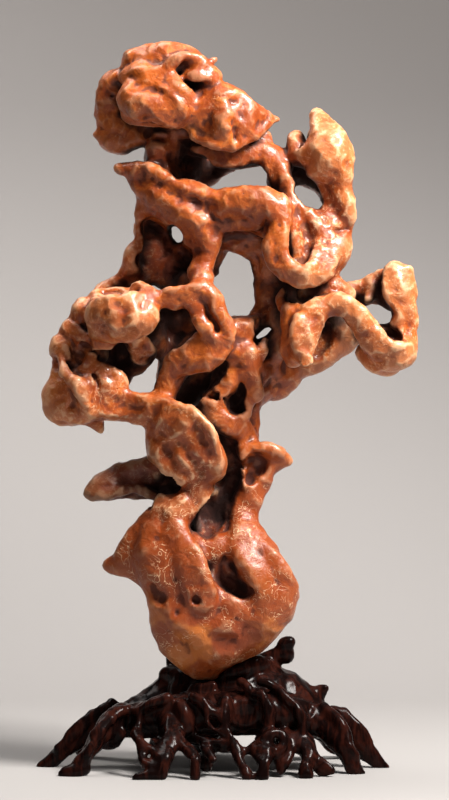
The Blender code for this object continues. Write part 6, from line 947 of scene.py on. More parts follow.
class StoneSettings(bpy.types.PropertyGroup):
    """Sizes and colours of the stone."""
    voxel: length("Voxel", "Grain of the clay that the stone is made of", 0.00150)
    swell_height: length("Swell height", "Height of the slow swells of the surface", 0.0010)
    swell_length: length("Swell length", "Length of the slow swells", 0.022)
    bowl_depth: length("Bowl depth", "Depth of the broad bowls worn into the stone", 0.0030)
    bowl_length: length("Bowl length", "Size of the broad bowls", 0.018)
    dent_depth: length("Dent depth", "Depth of the small dents between the bowls", 0.0014)
    dent_length: length("Dent length", "Size of the small dents", 0.0075)
    polish: factor("Polish roughness", "Roughness of the waxed polish", 0.34)
    # painted shade: near black where the piece itself blocks most of the view
    cave: colour("Cave", "Colour inside the caves and the deep hollows", (0.012, 0.003, 0.002))
    # painted shade for creases, hollows and the horn, and the colour of the real small pits
    shade_and_pits: colour("Deep red", "Colour in the creases", (0.060, 0.010, 0.004))
    red: colour("Red brown", "Darker part of the body colour", (0.23, 0.038, 0.006))
    orange: colour("Orange", "Main body colour", (0.42, 0.087, 0.010))
    ochre: colour("Ochre", "Lighter part of the body colour", (0.61, 0.188, 0.032))
    # also used for specks and edges, stronger in the lit zones as painted highlight
    cream: colour("Cream", "Veins and worn ridges", (0.80, 0.54, 0.32))
    # painted highlight colour for proud places in the lit zones
    pale: colour("Rubbed stone", "Proud places rubbed pale", (0.62, 0.25, 0.095))


class StandSettings(bpy.types.PropertyGroup):
    """Sizes and colours of the stand."""
    voxel: length("Voxel", "Grain of the clay that the stand is made of", 0.00125)
    swell_height: length("Swell height", "Height of the uneven carving", 0.0003)
    swell_length: length("Swell length", "Length of the uneven carving", 0.011)
    flute_depth: length("Flute depth", "Depth of the flutes between the carved ridges", 0.0016)
    flute_length: length("Flute length", "Width of the flutes", 0.010)
    polish: factor("Polish roughness", "Roughness of the polished wood", 0.18)
    # painted shade between the roots and under the mound
    cave: colour("Cave", "Colour between the roots and under the mound", (0.002, 0.001, 0.001))
    dark: colour("Dark wood", "Body colour of the wood", (0.0040, 0.0015, 0.0013))
    warm: colour("Warm wood", "Reddish streaks in the wood", (0.024, 0.0058, 0.0036))
    worn: colour("Worn wood", "Edges where the finish is worn", (0.16, 0.062, 0.034))


class StageSettings(bpy.types.PropertyGroup):
    """Floor, backdrop, lights and camera."""
    floor: colour("Floor", "Pale paper of the floor", (0.288, 0.277, 0.270))
    backdrop_low: colour("Backdrop low", "Paper just above the floor", (0.272, 0.260, 0.254))
    # top of the graded paper, which also carries the painted shade on the right
    backdrop_high: colour("Backdrop high", "Paper at the top", (0.090, 0.083, 0.080))
    key_power: bpy.props.FloatProperty(name="Key power", description="Power of the main soft light",
                                       default=56.0, min=0.0, unit="POWER")
    fill_power: bpy.props.FloatProperty(name="Fill power", description="Power of the weaker left light",
                                        default=1.0, min=0.0, unit="POWER")
    backdrop_gap: length("Backdrop gap", "How far behind the origin the paper turns up", 0.95)


class ScholarsRockSettings(bpy.types.PropertyGroup):
    """All the settings of the part."""
    stone: bpy.props.PointerProperty(type=StoneSettings)
    stand: bpy.props.PointerProperty(type=StandSettings)
    stage: bpy.props.PointerProperty(type=StageSettings)


# ---------------------------------------------------------------- clay

def spline_point(a, b, c, d, t):
    """Point at t between b and c on a Catmull-Rom curve."""
    return 0.5 * (2 * b + (c - a) * t + (2 * a - 5 * b + 4 * c - d) * t ** 2
                  + (3 * b - a - 3 * c + d) * t ** 3)


def run_of_balls(stations):
    """Closely spaced (centre, radius) pairs along a smooth route."""
    points = [Vector(station) * MM for station in stations]
    first = 2 * points[0] - points[1] if len(points) > 1 else points[0]
    last = 2 * points[-1] - points[-2] if len(points) > 1 else points[-1]
    padded = [first] + points + [last]
    balls = []
    for i in range(1, len(padded) - 2):
        b, c = padded[i], padded[i + 1]
        gap = (c.xyz - b.xyz).length
        steps = max(1, math.ceil(gap / (BALL_SPACING * min(b[3], c[3]))))
        for step in range(steps):
            balls.append(spline_point(padded[i - 1], b, c, padded[i + 2], step / steps))
    balls.append(points[-1])
    return [(ball.xyz, ball[3]) for ball in balls]


def ball_template():
    """Unit ball that every run repeats."""
    bm = bmesh.new()
    bmesh.ops.create_icosphere(bm, subdivisions=3, radius=1.0)
    mesh = bpy.data.meshes.new("ball")
    bm.to_mesh(mesh)
    bm.free()
    return mesh


def clay_object(name, regions, swell):
    """One object that holds all the balls of some regions."""
    ball = ball_template()
    bm = bmesh.new()
    for region in regions:
        for depth, stations in region.values():
            for centre, radius in run_of_balls(stations):
                size = radius + swell
                place = Matrix.Translation(centre) @ Matrix.Diagonal((size, size * depth, size, 1.0))
                ball.transform(place)
                bm.from_mesh(ball)
                ball.transform(place.inverted())
    mesh = bpy.data.meshes.new(name)
    bm.to_mesh(mesh)
    bm.free()
    bpy.data.meshes.remove(ball)
    item = bpy.data.objects.new(name, mesh)
    bpy.context.scene.collection.objects.link(item)
    return item


def add_modifier(item, kind, **settings):
    """Add a modifier with its settings."""
    modifier = item.modifiers.new(kind.title(), kind)
    for key, value in settings.items():
        setattr(modifier, key, value)


def apply_modifiers(item):
    """Turn the evaluated shape into the object's own mesh."""
    graph = bpy.context.evaluated_depsgraph_get()
    mesh = bpy.data.meshes.new_from_object(item.evaluated_get(graph))
    item.modifiers.clear()
    old = item.data
    item.data = mesh
    bpy.data.meshes.remove(old)


def fuse(item, voxel, smoothing):
    """Melt overlapping parts into one skin."""
    add_modifier(item, "REMESH", mode="VOXEL", voxel_size=voxel)
    add_modifier(item, "SMOOTH", factor=0.5, iterations=smoothing)
    apply_modifiers(item)


def carve(item, cutter):
    """Cut one object out of another and remove the cutter."""
    add_modifier(item, "BOOLEAN", operation="DIFFERENCE", object=cutter, solver="MANIFOLD")
    apply_modifiers(item)
    bpy.data.objects.remove(cutter)


def largest_body(item):
    """Keep the biggest connected body and drop stray crumbs."""
    bm = bmesh.new()
    bm.from_mesh(item.data)
    unseen = set(bm.verts)
    bodies = []
    while unseen:
        stack = [unseen.pop()]
        body = []
        while stack:
            vert = stack.pop()
            body.append(vert)
            for edge in vert.link_edges:
                other = edge.other_vert(vert)
                if other in unseen:
                    unseen.remove(other)
                    stack.append(other)
        bodies.append(body)
    bodies.sort(key=len, reverse=True)
    crumbs = [vert for body in bodies[1:] for vert in body]
    bmesh.ops.delete(bm, geom=crumbs, context="VERTS")
    bm.to_mesh(item.data)
    bm.free()


def sculpt(name, regions, cuts, voxel, fillet, lip):
    """Clay body with its openings and hollows."""
    item = clay_object(name, regions, FILLET_SWELL)
    fuse(item, voxel, fillet)
    cutter = clay_object(name + "_cutter", cuts, 0.0)
    fuse(cutter, voxel, 2)
    carve(item, cutter)
    fuse(item, voxel, lip)
    largest_body(item)
    return item


def raise_surface(item, height):
    """Move each point along its normal by height(point)."""
    bm = bmesh.new()
    bm.from_mesh(item.data)
    bm.normal_update()
    moves = [vert.normal * height(vert.co) for vert in bm.verts]
    for vert, move in zip(bm.verts, moves):
        vert.co += move
    bm.to_mesh(item.data)
    bm.free()


def bowls(point, length):
    """Smooth bowls that meet along sharp crests, about zero on average."""
    return BOWL_CREST - abs(noise.noise(point / length))


def mesh_arrays(mesh):
    """Points, normals and edges of a mesh as arrays."""
    count = len(mesh.vertices)
    points = np.empty(count * 3)
    normals = np.empty(count * 3)
    edges = np.empty(len(mesh.edges) * 2, dtype=np.int64)
    mesh.vertices.foreach_get("co", points)
    mesh.vertices.foreach_get("normal", normals)
    mesh.edges.foreach_get("vertices", edges)
    return points.reshape(-1, 3), normals.reshape(-1, 3), edges.reshape(-1, 2)


def relief(mesh, rounds):
    """How far each point stands above the surface around it, metres."""
    points, normals, edges = mesh_arrays(mesh)
    start, end = edges[:, 0], edges[:, 1]
    degree = np.bincount(edges.ravel(), minlength=len(points))[:, None]
    smooth = points.copy()
    for _ in range(rounds):
        total = np.empty_like(smooth)
        for axis in range(3):
            total[:, axis] = (np.bincount(start, smooth[end, axis], len(points))
                              + np.bincount(end, smooth[start, axis], len(points)))
        smooth = 0.5 * smooth + 0.5 * total / degree
    return ((points - smooth) * normals).sum(axis=1)


def shelter(mesh):
    """Share of the view from each point that the piece itself blocks."""
    bm = bmesh.new()
    bm.from_mesh(mesh)
    tree = BVHTree.FromBMesh(bm)
    turn = math.pi * (3.0 - math.sqrt(5.0))
    rays = []
    for i in range(SHELTER_RAYS):
        height = 1.0 - (2.0 * i + 1.0) / SHELTER_RAYS
        ring = math.sqrt(1.0 - height * height)
        rays.append(Vector((ring * math.cos(i * turn), ring * math.sin(i * turn), height)))
    values = np.zeros(len(bm.verts))
    for vert in bm.verts:
        start = vert.co + vert.normal * SHELTER_START
        weights = [(ray, ray.dot(vert.normal)) for ray in rays]
        seen = [(ray, weight) for ray, weight in weights if weight > 0.15]
        blocked = sum(weight for ray, weight in seen
                      if tree.ray_cast(start, ray, SHELTER_REACH)[0] is not None)
        values[vert.index] = blocked / sum(weight for ray, weight in seen)
    bm.free()
    edges = mesh_arrays(mesh)[2]
    start, end = edges[:, 0], edges[:, 1]
    degree = np.bincount(edges.ravel(), minlength=len(values))
    for _ in range(SHELTER_ROUNDS):
        total = (np.bincount(start, values[end], len(values))
                 + np.bincount(end, values[start], len(values)))
        values = 0.5 * values + 0.5 * total / degree
    return values


def store(mesh, name, values, scale):
    """Keep a value per point, from -1 to 1, for the materials."""
    layer = mesh.attributes.new(name, "FLOAT", "POINT")
    layer.data.foreach_set("value", np.clip(values / scale, -1.0, 1.0).astype(np.float32))


def finish_mesh(item, triangles, material, node):
    """Thin the mesh, measure its relief, and put it in place of the CAD node."""
    faces = sum(len(face.vertices) - 2 for face in item.data.polygons)
    if faces > triangles:
        add_modifier(item, "DECIMATE", ratio=triangles / faces, use_collapse_triangulate=True)
        apply_modifiers(item)
    store(item.data, "edge", relief(item.data, 6), EDGE_SCALE)
    store(item.data, "hollow", relief(item.data, 90), HOLLOW_SCALE)
    store(item.data, "shelter", shelter(item.data), 1.0)
    item.data.shade_smooth()
    item.data.materials.clear()
    item.data.materials.append(material)
    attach(item, "root")
    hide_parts(node)


# ---------------------------------------------------------------- shader helpers

def fill_inputs(tree, node, inputs):
    """Link each input of a node to a socket, or set its value."""
    for key, value in inputs.items():
        if isinstance(value, bpy.types.NodeSocket):
            tree.links.new(value, node.inputs[key])
        else:
            node.inputs[key].default_value = value


def add_node(tree, kind, inputs=None, **settings):
    """Add a shader node, set it up, and link or fill its inputs."""
    node = tree.nodes.new("ShaderNode" + kind)
    for key, value in settings.items():
        setattr(node, key, value)
    fill_inputs(tree, node, inputs or {})
    return node


def maths(tree, operation, a, b=0.0, clamp=False):
    """Result of one arithmetic step."""
    return add_node(tree, "Math", {0: a, 1: b}, operation=operation, use_clamp=clamp).outputs[0]


def span(tree, value, low, high, to_low=0.0, to_high=1.0):
    """Value mapped smoothly from one span to another."""
    node = add_node(tree, "MapRange", {"Value": value, "From Min": low, "From Max": high,
                                       "To Min": to_low, "To Max": to_high},
                    interpolation_type="SMOOTHSTEP")
    return node.outputs["Result"]


def blend(tree, amount, a, b):
    """Colour a turned into b by an amount."""
    return add_node(tree, "Mix", {0: amount, 6: a, 7: b}, data_type="RGBA").outputs[2]


def noise_value(tree, vector, scale, detail=4.0, rough=0.55, warp=0.0):
    """Plain noise value."""
    node = add_node(tree, "TexNoise", {"Vector": vector, "Scale": scale, "Detail": detail,
                                       "Roughness": rough, "Distortion": warp})
    return node.outputs["Fac"]


def new_group(name, inputs, outputs):
    """Empty shader node group with named sockets."""
    tree = bpy.data.node_groups.new(name, "ShaderNodeTree")
    for label, kind, value in inputs:
        socket = tree.interface.new_socket(name=label, in_out="INPUT", socket_type=kind)
        if value is not None:
            socket.default_value = value
    for label, kind in outputs:
        tree.interface.new_socket(name=label, in_out="OUTPUT", socket_type=kind)
    return tree, tree.nodes.new("NodeGroupInput").outputs, tree.nodes.new("NodeGroupOutput").inputs


def use_group(tree, group, inputs):
    """Place a group in a tree and give back its outputs."""
    node = tree.nodes.new("ShaderNodeGroup")
    node.node_tree = group
    fill_inputs(tree, node, inputs)
    return node.outputs


def rgba(values):
    """Colour with full opacity."""
    return (values[0], values[1], values[2], 1.0)


# ---------------------------------------------------------------- shared effects

def wear_group():
    """Masks of worn edges, creases, deep hollows, sheltered caves and proud places."""
    tree, given, out = new_group(
        "wear", [("Vector", "NodeSocketVector", None), ("Breakup scale", "NodeSocketFloat", 200.0)],
        [("Edges", "NodeSocketFloat"), ("Creases", "NodeSocketFloat"), ("Depths", "NodeSocketFloat"),
         ("Caves", "NodeSocketFloat"), ("Heights", "NodeSocketFloat")])
    edge = add_node(tree, "Attribute", attribute_name="edge").outputs["Fac"]
    hollow = add_node(tree, "Attribute", attribute_name="hollow").outputs["Fac"]
    breakup = noise_value(tree, given["Vector"], given["Breakup scale"], 5.0, 0.6)
    uneven = maths(tree, "MULTIPLY", maths(tree, "SUBTRACT", breakup, 0.5), 0.5)
    rough_edge = maths(tree, "ADD", edge, uneven)
    tree.links.new(span(tree, rough_edge, 0.48, 0.98), out["Edges"])
    tree.links.new(span(tree, maths(tree, "SUBTRACT", uneven, edge), 0.14, 0.62), out["Creases"])
    tree.links.new(span(tree, maths(tree, "SUBTRACT", maths(tree, "MULTIPLY", uneven, 0.5), hollow),
                        0.02, 0.55), out["Depths"])
    tree.links.new(span(tree, maths(tree, "ADD", maths(tree, "MULTIPLY", uneven, 0.9), hollow),
                        0.20, 1.10), out["Heights"])
    inside = add_node(tree, "Attribute", attribute_name="shelter").outputs["Fac"]
    rough_inside = maths(tree, "ADD", inside, maths(tree, "MULTIPLY", uneven, 0.4))
    tree.links.new(span(tree, rough_inside, 0.32, 0.68), out["Caves"])
    return tree


def mottle_group():
    """Cloudy variation at three sizes on a warped pattern."""
    tree, given, out = new_group(
        "mottle", [("Vector", "NodeSocketVector", None), ("Scale", "NodeSocketFloat", 24.0)],
        [("Broad", "NodeSocketFloat"), ("Middle", "NodeSocketFloat"), ("Fine", "NodeSocketFloat")])
    vector, scale = given["Vector"], given["Scale"]
    tree.links.new(noise_value(tree, vector, scale, 4.0, 0.55, 0.6), out["Broad"])
    middle = maths(tree, "MULTIPLY", scale, 4.2)
    tree.links.new(noise_value(tree, vector, middle, 5.0, 0.62, 1.0), out["Middle"])
    fine = maths(tree, "MULTIPLY", scale, 19.0)
    tree.links.new(noise_value(tree, vector, fine, 5.0, 0.66, 0.4), out["Fine"])
    return tree


def pore_group():
    """Scattered small round pits: a mask for colour and a height for bump."""
    tree, given, out = new_group(
        "pores", [("Vector", "NodeSocketVector", None), ("Scale", "NodeSocketFloat", 190.0),
                  ("Share", "NodeSocketFloat", 0.3)], [("Mask", "NodeSocketFloat")])
    cell = add_node(tree, "TexVoronoi", {"Vector": given["Vector"], "Scale": given["Scale"],
                                         "Randomness": 1.0}, feature="F1")
    chance = add_node(tree, "SeparateColor", {"Color": cell.outputs["Color"]}).outputs[0]
    chosen = maths(tree, "LESS_THAN", chance, given["Share"])
    size = maths(tree, "MULTIPLY_ADD", chance, 0.5)
    size.node.inputs[2].default_value = 0.10
    inside = add_node(tree, "MapRange", {"Value": cell.outputs["Distance"], "From Min": size,
                                         "From Max": 0.0}, interpolation_type="SMOOTHSTEP")
    tree.links.new(maths(tree, "MULTIPLY", inside.outputs["Result"], chosen), out["Mask"])
    return tree


def vein_group():
    """Thin wandering lines and rings of pale mineral, gathered in patches."""
    tree, given, out = new_group(
        "veins", [("Vector", "NodeSocketVector", None), ("Scale", "NodeSocketFloat", 60.0),
                  ("Width", "NodeSocketFloat", 0.02), ("Patches", "NodeSocketFloat", 0.5)],
        [("Mask", "NodeSocketFloat")])
    lines = noise_value(tree, given["Vector"], given["Scale"], 2.5, 0.5, 1.6)
    from_line = maths(tree, "ABSOLUTE", maths(tree, "SUBTRACT", lines, 0.5))
    line = add_node(tree, "MapRange", {"Value": from_line, "From Min": given["Width"],
                                       "From Max": 0.0}, interpolation_type="SMOOTHSTEP")
    patch = noise_value(tree, given["Vector"], maths(tree, "MULTIPLY", given["Scale"], 0.42), 3.0)
    start = maths(tree, "SUBTRACT", 1.0, given["Patches"])
    where = add_node(tree, "MapRange", {"Value": patch, "From Min": start,
                                        "From Max": maths(tree, "ADD", start, 0.12)},
                     interpolation_type="SMOOTHSTEP")
    tree.links.new(maths(tree, "MULTIPLY", line.outputs["Result"], where.outputs["Result"]),
                   out["Mask"])
    return tree


def effects():
    """The shared node groups, built once."""
    if "wear" in bpy.data.node_groups:
        return {name: bpy.data.node_groups[name] for name in ("wear", "mottle", "pores", "veins")}
    return {"wear": wear_group(), "mottle": mottle_group(), "pores": pore_group(),
            "veins": vein_group()}


def new_material(name, roughness, coat, gloss):
    """Principled material with its constants set, and the object coordinates."""
    material = bpy.data.materials.new(name)
    material.use_nodes = True
    tree = material.node_tree
    shader = tree.nodes["Principled BSDF"]
    shader.inputs["Roughness"].default_value = roughness
    shader.inputs["Coat Weight"].default_value = coat
    shader.inputs["Coat Roughness"].default_value = COAT_ROUGHNESS
    shader.inputs["Specular IOR Level"].default_value = gloss
    vector = tree.nodes.new("ShaderNodeTexCoord").outputs["Object"]
    return material, tree, shader, vector


def stone_material(look):
    """Waxed stone: mottled orange and red brown, cream veins, dark pits and worn ridges, with painted
    shade in creases, hollows, caves and on the horn, and painted highlights on the lit proud places.
    """
    material, tree, shader, vector = new_material("polished_stone", look.polish, STONE_COAT,
                                                  STONE_GLOSS)
    shared = effects()
    mottle = use_group(tree, shared["mottle"], {"Vector": vector, "Scale": 24.0})
    wear = use_group(tree, shared["wear"], {"Vector": vector, "Breakup scale": 260.0})
    mix = maths(tree, "ADD", maths(tree, "MULTIPLY", mottle["Broad"], 0.55),
                maths(tree, "MULTIPLY", mottle["Middle"], 0.45))
    body = blend(tree, span(tree, mix, 0.42, 0.60), rgba(look.red), rgba(look.orange))
    body = blend(tree, span(tree, mottle["Middle"], 0.54, 0.78, 0.0, 0.52), body, rgba(look.ochre))
    body = blend(tree, span(tree, mottle["Fine"], 0.50, 0.34, 0.0, 0.30), body, rgba(look.red))
    body = blend(tree, span(tree, mottle["Fine"], 0.56, 0.72, 0.0, 0.35), body, rgba(look.ochre))
    level = add_node(tree, "SeparateXYZ", {"Vector": vector}).outputs["Z"]
    lower = span(tree, level, *LOWER_BODY_Z)
    body = blend(tree, maths(tree, "MULTIPLY", lower, 0.85), body, rgba(look.red))
    stain = maths(tree, "MULTIPLY", span(tree, mottle["Broad"], 0.50, 0.62, 0.0, 0.55),
                  span(tree, level, *FOOT_STAIN_Z))
    body = blend(tree, stain, body, rgba(look.ochre))
    veins = use_group(tree, shared["veins"], {"Vector": vector, "Scale": 95.0, "Width": 0.014,
                                              "Patches": span(tree, lower, 0.0, 1.0, 0.44, 0.54)})["Mask"]
    rings = use_group(tree, shared["veins"], {"Vector": vector, "Scale": 50.0, "Width": 0.007,
                                              "Patches": 0.42})["Mask"]
    pale = maths(tree, "MULTIPLY", maths(tree, "MAXIMUM", veins, rings),
                 span(tree, lower, 0.0, 1.0, 0.50, 0.85))
    body = blend(tree, pale, body, rgba(look.cream))
    side = add_node(tree, "SeparateXYZ", {"Vector": vector}).outputs["X"]
    # zones where the light falls strongest: painted highlight there, and lighter painted shade
    right = span(tree, side, *HIGHLIGHT_RIGHT_X)
    shoulder = maths(tree, "MULTIPLY", span(tree, side, *HIGHLIGHT_SHOULDER_X),
                     span(tree, level, *HIGHLIGHT_SHOULDER_Z))
    left = maths(tree, "MULTIPLY", span(tree, side, *HIGHLIGHT_LEFT_X, 0.0, HIGHLIGHT_LEFT_SHARE),
                 span(tree, level, *HIGHLIGHT_LEFT_Z))
    lit_zone = maths(tree, "MAXIMUM", maths(tree, "MAXIMUM", right, left), shoulder)
    lit_zone = maths(tree, "MULTIPLY", lit_zone, span(tree, level, *HIGHLIGHT_START_Z))
    # painted highlight: proud places in the lit zones turn pale
    painted_highlight = maths(tree, "MULTIPLY", wear["Heights"], span(tree, lit_zone, 0.0, 1.0, 0.10, 0.50))
    body = blend(tree, painted_highlight, body, rgba(look.pale))
    # cream specks: partly the stone's own grain, partly painted highlight since they grow in the lit
    # zones
    specks_and_highlight = maths(tree, "MULTIPLY", span(tree, mottle["Fine"], 0.46, 0.66),
                  span(tree, mottle["Middle"], 0.46, 0.60))
    specks_and_highlight = maths(tree, "MULTIPLY", specks_and_highlight, span(tree, lit_zone, 0.0, 1.0, 0.04, 0.42))
    body = blend(tree, specks_and_highlight, body, rgba(look.cream))
    # cream on sharp edges: partly wear, partly painted highlight, as it is stronger in the lit zones
    body = blend(tree, maths(tree, "MULTIPLY", wear["Edges"], span(tree, lit_zone, 0.0, 1.0, 0.14, 0.36)),
                 body, rgba(look.cream))
    # painted shade: deep hollows darkened, less so in the lit zones
    hollow_shade = maths(tree, "MULTIPLY", wear["Depths"], span(tree, lit_zone, 0.0, 1.0, 0.72, 0.34))
    body = blend(tree, hollow_shade, body, rgba(look.shade_and_pits))
    # painted shadow: the flat horn is darkened where the shoulder shades it
    horn_shadow_band = maths(tree, "MULTIPLY", span(tree, level, *HORN_SHADOW_LOW_Z), span(tree, level, *HORN_SHADOW_HIGH_Z))
    horn = maths(tree, "MULTIPLY", span(tree, side, *HORN_SHADOW_X), horn_shadow_band)
    body = blend(tree, maths(tree, "MULTIPLY", horn, 0.60), body, rgba(look.shade_and_pits))
    # painted shade: creases darkened, less so in the lit zones
    crease_shade = maths(tree, "MULTIPLY", wear["Creases"], span(tree, lit_zone, 0.0, 1.0, 0.75, 0.48))
    body = blend(tree, crease_shade, body, rgba(look.shade_and_pits))
    # painted shade in sheltered caves and deep hollows
    body = blend(tree, maths(tree, "MULTIPLY", wear["Caves"], 0.94), body, rgba(look.cave))
    pores = use_group(tree, shared["pores"], {"Vector": vector, "Scale": 240.0, "Share": 0.14})["Mask"]
    body = blend(tree, maths(tree, "MULTIPLY", pores, 0.9), body, rgba(look.shade_and_pits))
    tree.links.new(body, shader.inputs["Base Color"])
    dull = maths(tree, "MULTIPLY", maths(tree, "ADD", wear["Creases"], wear["Caves"]), 0.40)
    rough = maths(tree, "ADD", span(tree, mottle["Fine"], 0.35, 0.70, look.polish - 0.05,
                                    look.polish + 0.15), dull, clamp=True)
    tree.links.new(rough, shader.inputs["Roughness"])
    open_face = maths(tree, "SUBTRACT", 1.0, wear["Caves"], clamp=True)
    tree.links.new(maths(tree, "MULTIPLY", open_face,
                         span(tree, lower, 0.0, 1.0, STONE_COAT, STONE_COAT_LOW)),
                   shader.inputs["Coat Weight"])
    height = maths(tree, "ADD", mottle["Middle"], maths(tree, "MULTIPLY", mottle["Fine"], 0.32))
    height = maths(tree, "SUBTRACT", height, maths(tree, "MULTIPLY", pores, 0.6))
    height = maths(tree, "ADD", height, maths(tree, "MULTIPLY", pale, 0.10))
    bump = add_node(tree, "Bump", {"Strength": 0.65, "Distance": 0.0015, "Height": height})
    tree.links.new(bump.outputs["Normal"], shader.inputs["Normal"])
    return material


def wood_material(look):
    """Polished dark hardwood with reddish streaks and edges worn to brown, and painted shade in the
    creases, between the roots and under the mound.
    """
    material, tree, shader, vector = new_material("dark_hardwood", look.polish, 0.0, WOOD_GLOSS)
    shared = effects()
    stretched = add_node(tree, "Mapping", {"Vector": vector, "Scale": (1.0, 1.0, 0.22)}).outputs[0]
    mottle = use_group(tree, shared["mottle"], {"Vector": stretched, "Scale": 30.0})
    wear = use_group(tree, shared["wear"], {"Vector": vector, "Breakup scale": 300.0})
    body = blend(tree, span(tree, mottle["Middle"], 0.42, 0.66), rgba(look.dark), rgba(look.warm))
    body = blend(tree, maths(tree, "MULTIPLY", wear["Edges"], 0.75), body, rgba(look.worn))
    # painted shade in the creases
    body = blend(tree, maths(tree, "MULTIPLY", wear["Creases"], 0.85), body, rgba(look.dark))
    # painted shade in sheltered places between the roots and under the mound
    body = blend(tree, maths(tree, "MULTIPLY", wear["Caves"], 0.90), body, rgba(look.cave))
    tree.links.new(body, shader.inputs["Base Color"])
    rough = maths(tree, "ADD", span(tree, mottle["Fine"], 0.35, 0.70, look.polish - 0.03,
                                    look.polish + 0.10),
                  maths(tree, "MULTIPLY", wear["Caves"], 0.35), clamp=True)
    tree.links.new(rough, shader.inputs["Roughness"])
    height = maths(tree, "ADD", maths(tree, "MULTIPLY", mottle["Middle"], 0.6),
                   maths(tree, "MULTIPLY", mottle["Fine"], 0.25))
    bump = add_node(tree, "Bump", {"Strength": 0.16, "Distance": 0.0008, "Height": height})
    tree.links.new(bump.outputs["Normal"], shader.inputs["Normal"])
    return material


def paper_material(look):
    """Studio paper, clear from behind: pale on the floor and graded darker up the backdrop, with painted
    shade that darkens the far floor a little and the backdrop towards the right.
    """
    material = bpy.data.materials.new("studio_paper")
    material.use_nodes = True
    tree = material.node_tree
    shader = tree.nodes["Principled BSDF"]
    shader.inputs["Roughness"].default_value = 0.75
    vector = tree.nodes.new("ShaderNodeTexCoord").outputs["Object"]
    parts = add_node(tree, "SeparateXYZ", {"Vector": vector})
    # painted shade: the floor darkens a little further back, where the light falls off
    far = maths(tree, "MAXIMUM", span(tree, parts.outputs["Y"], 0.10, 0.46),
                span(tree, parts.outputs["Z"], 0.0, 0.10))
    low = blend(tree, far, rgba(look.floor), rgba(look.backdrop_low))
    # graded paper darker upwards, plus painted shade darker towards the right
    grade_and_right_shade = maths(tree, "ADD", parts.outputs["Z"], maths(tree, "MULTIPLY", parts.outputs["X"], 0.5))
    paint = blend(tree, span(tree, grade_and_right_shade, 0.05, 0.78), low, rgba(look.backdrop_high))
    tree.links.new(paint, shader.inputs["Base Color"])
    clear = tree.nodes.new("ShaderNodeBsdfTransparent")
    behind = tree.nodes.new("ShaderNodeNewGeometry").outputs["Backfacing"]
    swap = add_node(tree, "MixShader", {0: behind, 1: shader.outputs[0], 2: clear.outputs[0]})
    tree.links.new(swap.outputs[0], tree.nodes["Material Output"].inputs["Surface"])
    return material


# ---------------------------------------------------------------- operators

class SCHOLARSROCK_OT_stone(bpy.types.Operator):
    """Model the stone and finish it in waxed orange-brown stone"""
    bl_idname = "scholarsrock.stone"
    bl_label = "Stone"

    def execute(self, context):
        look = context.scene.scholars_rock.stone
        stone = sculpt("stone", STONE_REGIONS, STONE_CUTS, look.voxel, STONE_FILLET, STONE_LIP)

        def height(point):
            share = min(1.0, max(0.0, (point.z - CALM_LOW) / (CALM_HIGH - CALM_LOW)))
            wear = CALM_SHARE + (1.0 - CALM_SHARE) * share
            swell = look.swell_height * noise.fractal(point / look.swell_length, 0.8, 2.0, 2)
            broad = look.bowl_depth * bowls(point + BOWL_SHIFT, look.bowl_length)
            return swell + wear * (broad + look.dent_depth * bowls(point, look.dent_length))

        raise_surface(stone, height)
        finish_mesh(stone, STONE_TRIANGLES, stone_material(look), "rock")
        return {"FINISHED"}


class SCHOLARSROCK_OT_stand(bpy.types.Operator):
    """Carve the root-wood stand and finish it in dark polished hardwood"""
    bl_idname = "scholarsrock.stand"
    bl_label = "Stand"

    def execute(self, context):
        look = context.scene.scholars_rock.stand
        stand = sculpt("root_stand", STAND_REGIONS, STAND_CUTS, look.voxel, STAND_FILLET, STAND_LIP)

        def height(point):
            swell = look.swell_height * noise.fractal(point / look.swell_length, 0.8, 2.0, 3)
            drawn = Vector((point.x, point.y, point.z * FLUTE_STRETCH))
            return swell + look.flute_depth * bowls(drawn, look.flute_length)

        raise_surface(stand, height)
        trim_feet(stand)
        cut_socket(stand)
        finish_mesh(stand, STAND_TRIANGLES, wood_material(look), "stand")
        return {"FINISHED"}


class SCHOLARSROCK_OT_stage(bpy.types.Operator):
    """Lay the paper floor and backdrop, hang the soft lights and place the camera"""
    bl_idname = "scholarsrock.stage"
    bl_label = "Stage"

    def execute(self, context):
        look = context.scene.scholars_rock.stage
        paper = paper_material(look)
        make_floor(paper)
        make_backdrop(paper, look.backdrop_gap)
        soft_light("key", KEY_PLACE, KEY_AIM, KEY_SIZE, look.key_power, KEY_TINT)
        soft_light("fill", FILL_PLACE, FILL_AIM, FILL_SIZE, look.fill_power, FILL_TINT)
        soft_light("paper", LOW_PLACE, LOW_AIM, LOW_SIZE, LOW_POWER, KEY_TINT)
        soft_light("ceiling", TOP_PLACE, TOP_AIM, TOP_SIZE, TOP_POWER, ROOM_TINT)
        room_light(context)
        place_camera(context)
        context.scene.view_settings.view_transform = "Standard"
        return {"FINISHED"}


def trim_feet(stand):
    """Cut the clay level with the floor and close the flat soles."""
    bm = bmesh.new()
    bm.from_mesh(stand.data)
    plane = bmesh.ops.bisect_plane(bm, geom=bm.verts[:] + bm.edges[:] + bm.faces[:], dist=1e-6,
                                   plane_co=(0, 0, 0), plane_no=(0, 0, 1), clear_inner=True)
    rim = [part for part in plane["geom_cut"] if isinstance(part, bmesh.types.BMEdge)]
    bmesh.ops.holes_fill(bm, edges=rim, sides=0)
    bmesh.ops.triangulate(bm, faces=[face for face in bm.faces if len(face.verts) > 4])
    bm.to_mesh(stand.data)
    bm.free()


def cut_socket(stand):
    """Shape the socket with a copy of the stone, a little larger all round."""
    stone = bpy.data.objects["stone"]
    former = bpy.data.objects.new("socket_former", stone.data.copy())
    bpy.context.scene.collection.objects.link(former)
    add_modifier(former, "DISPLACE", strength=SOCKET_GAP, mid_level=0.0)
    apply_modifiers(former)
    carve(stand, former)
    largest_body(stand)


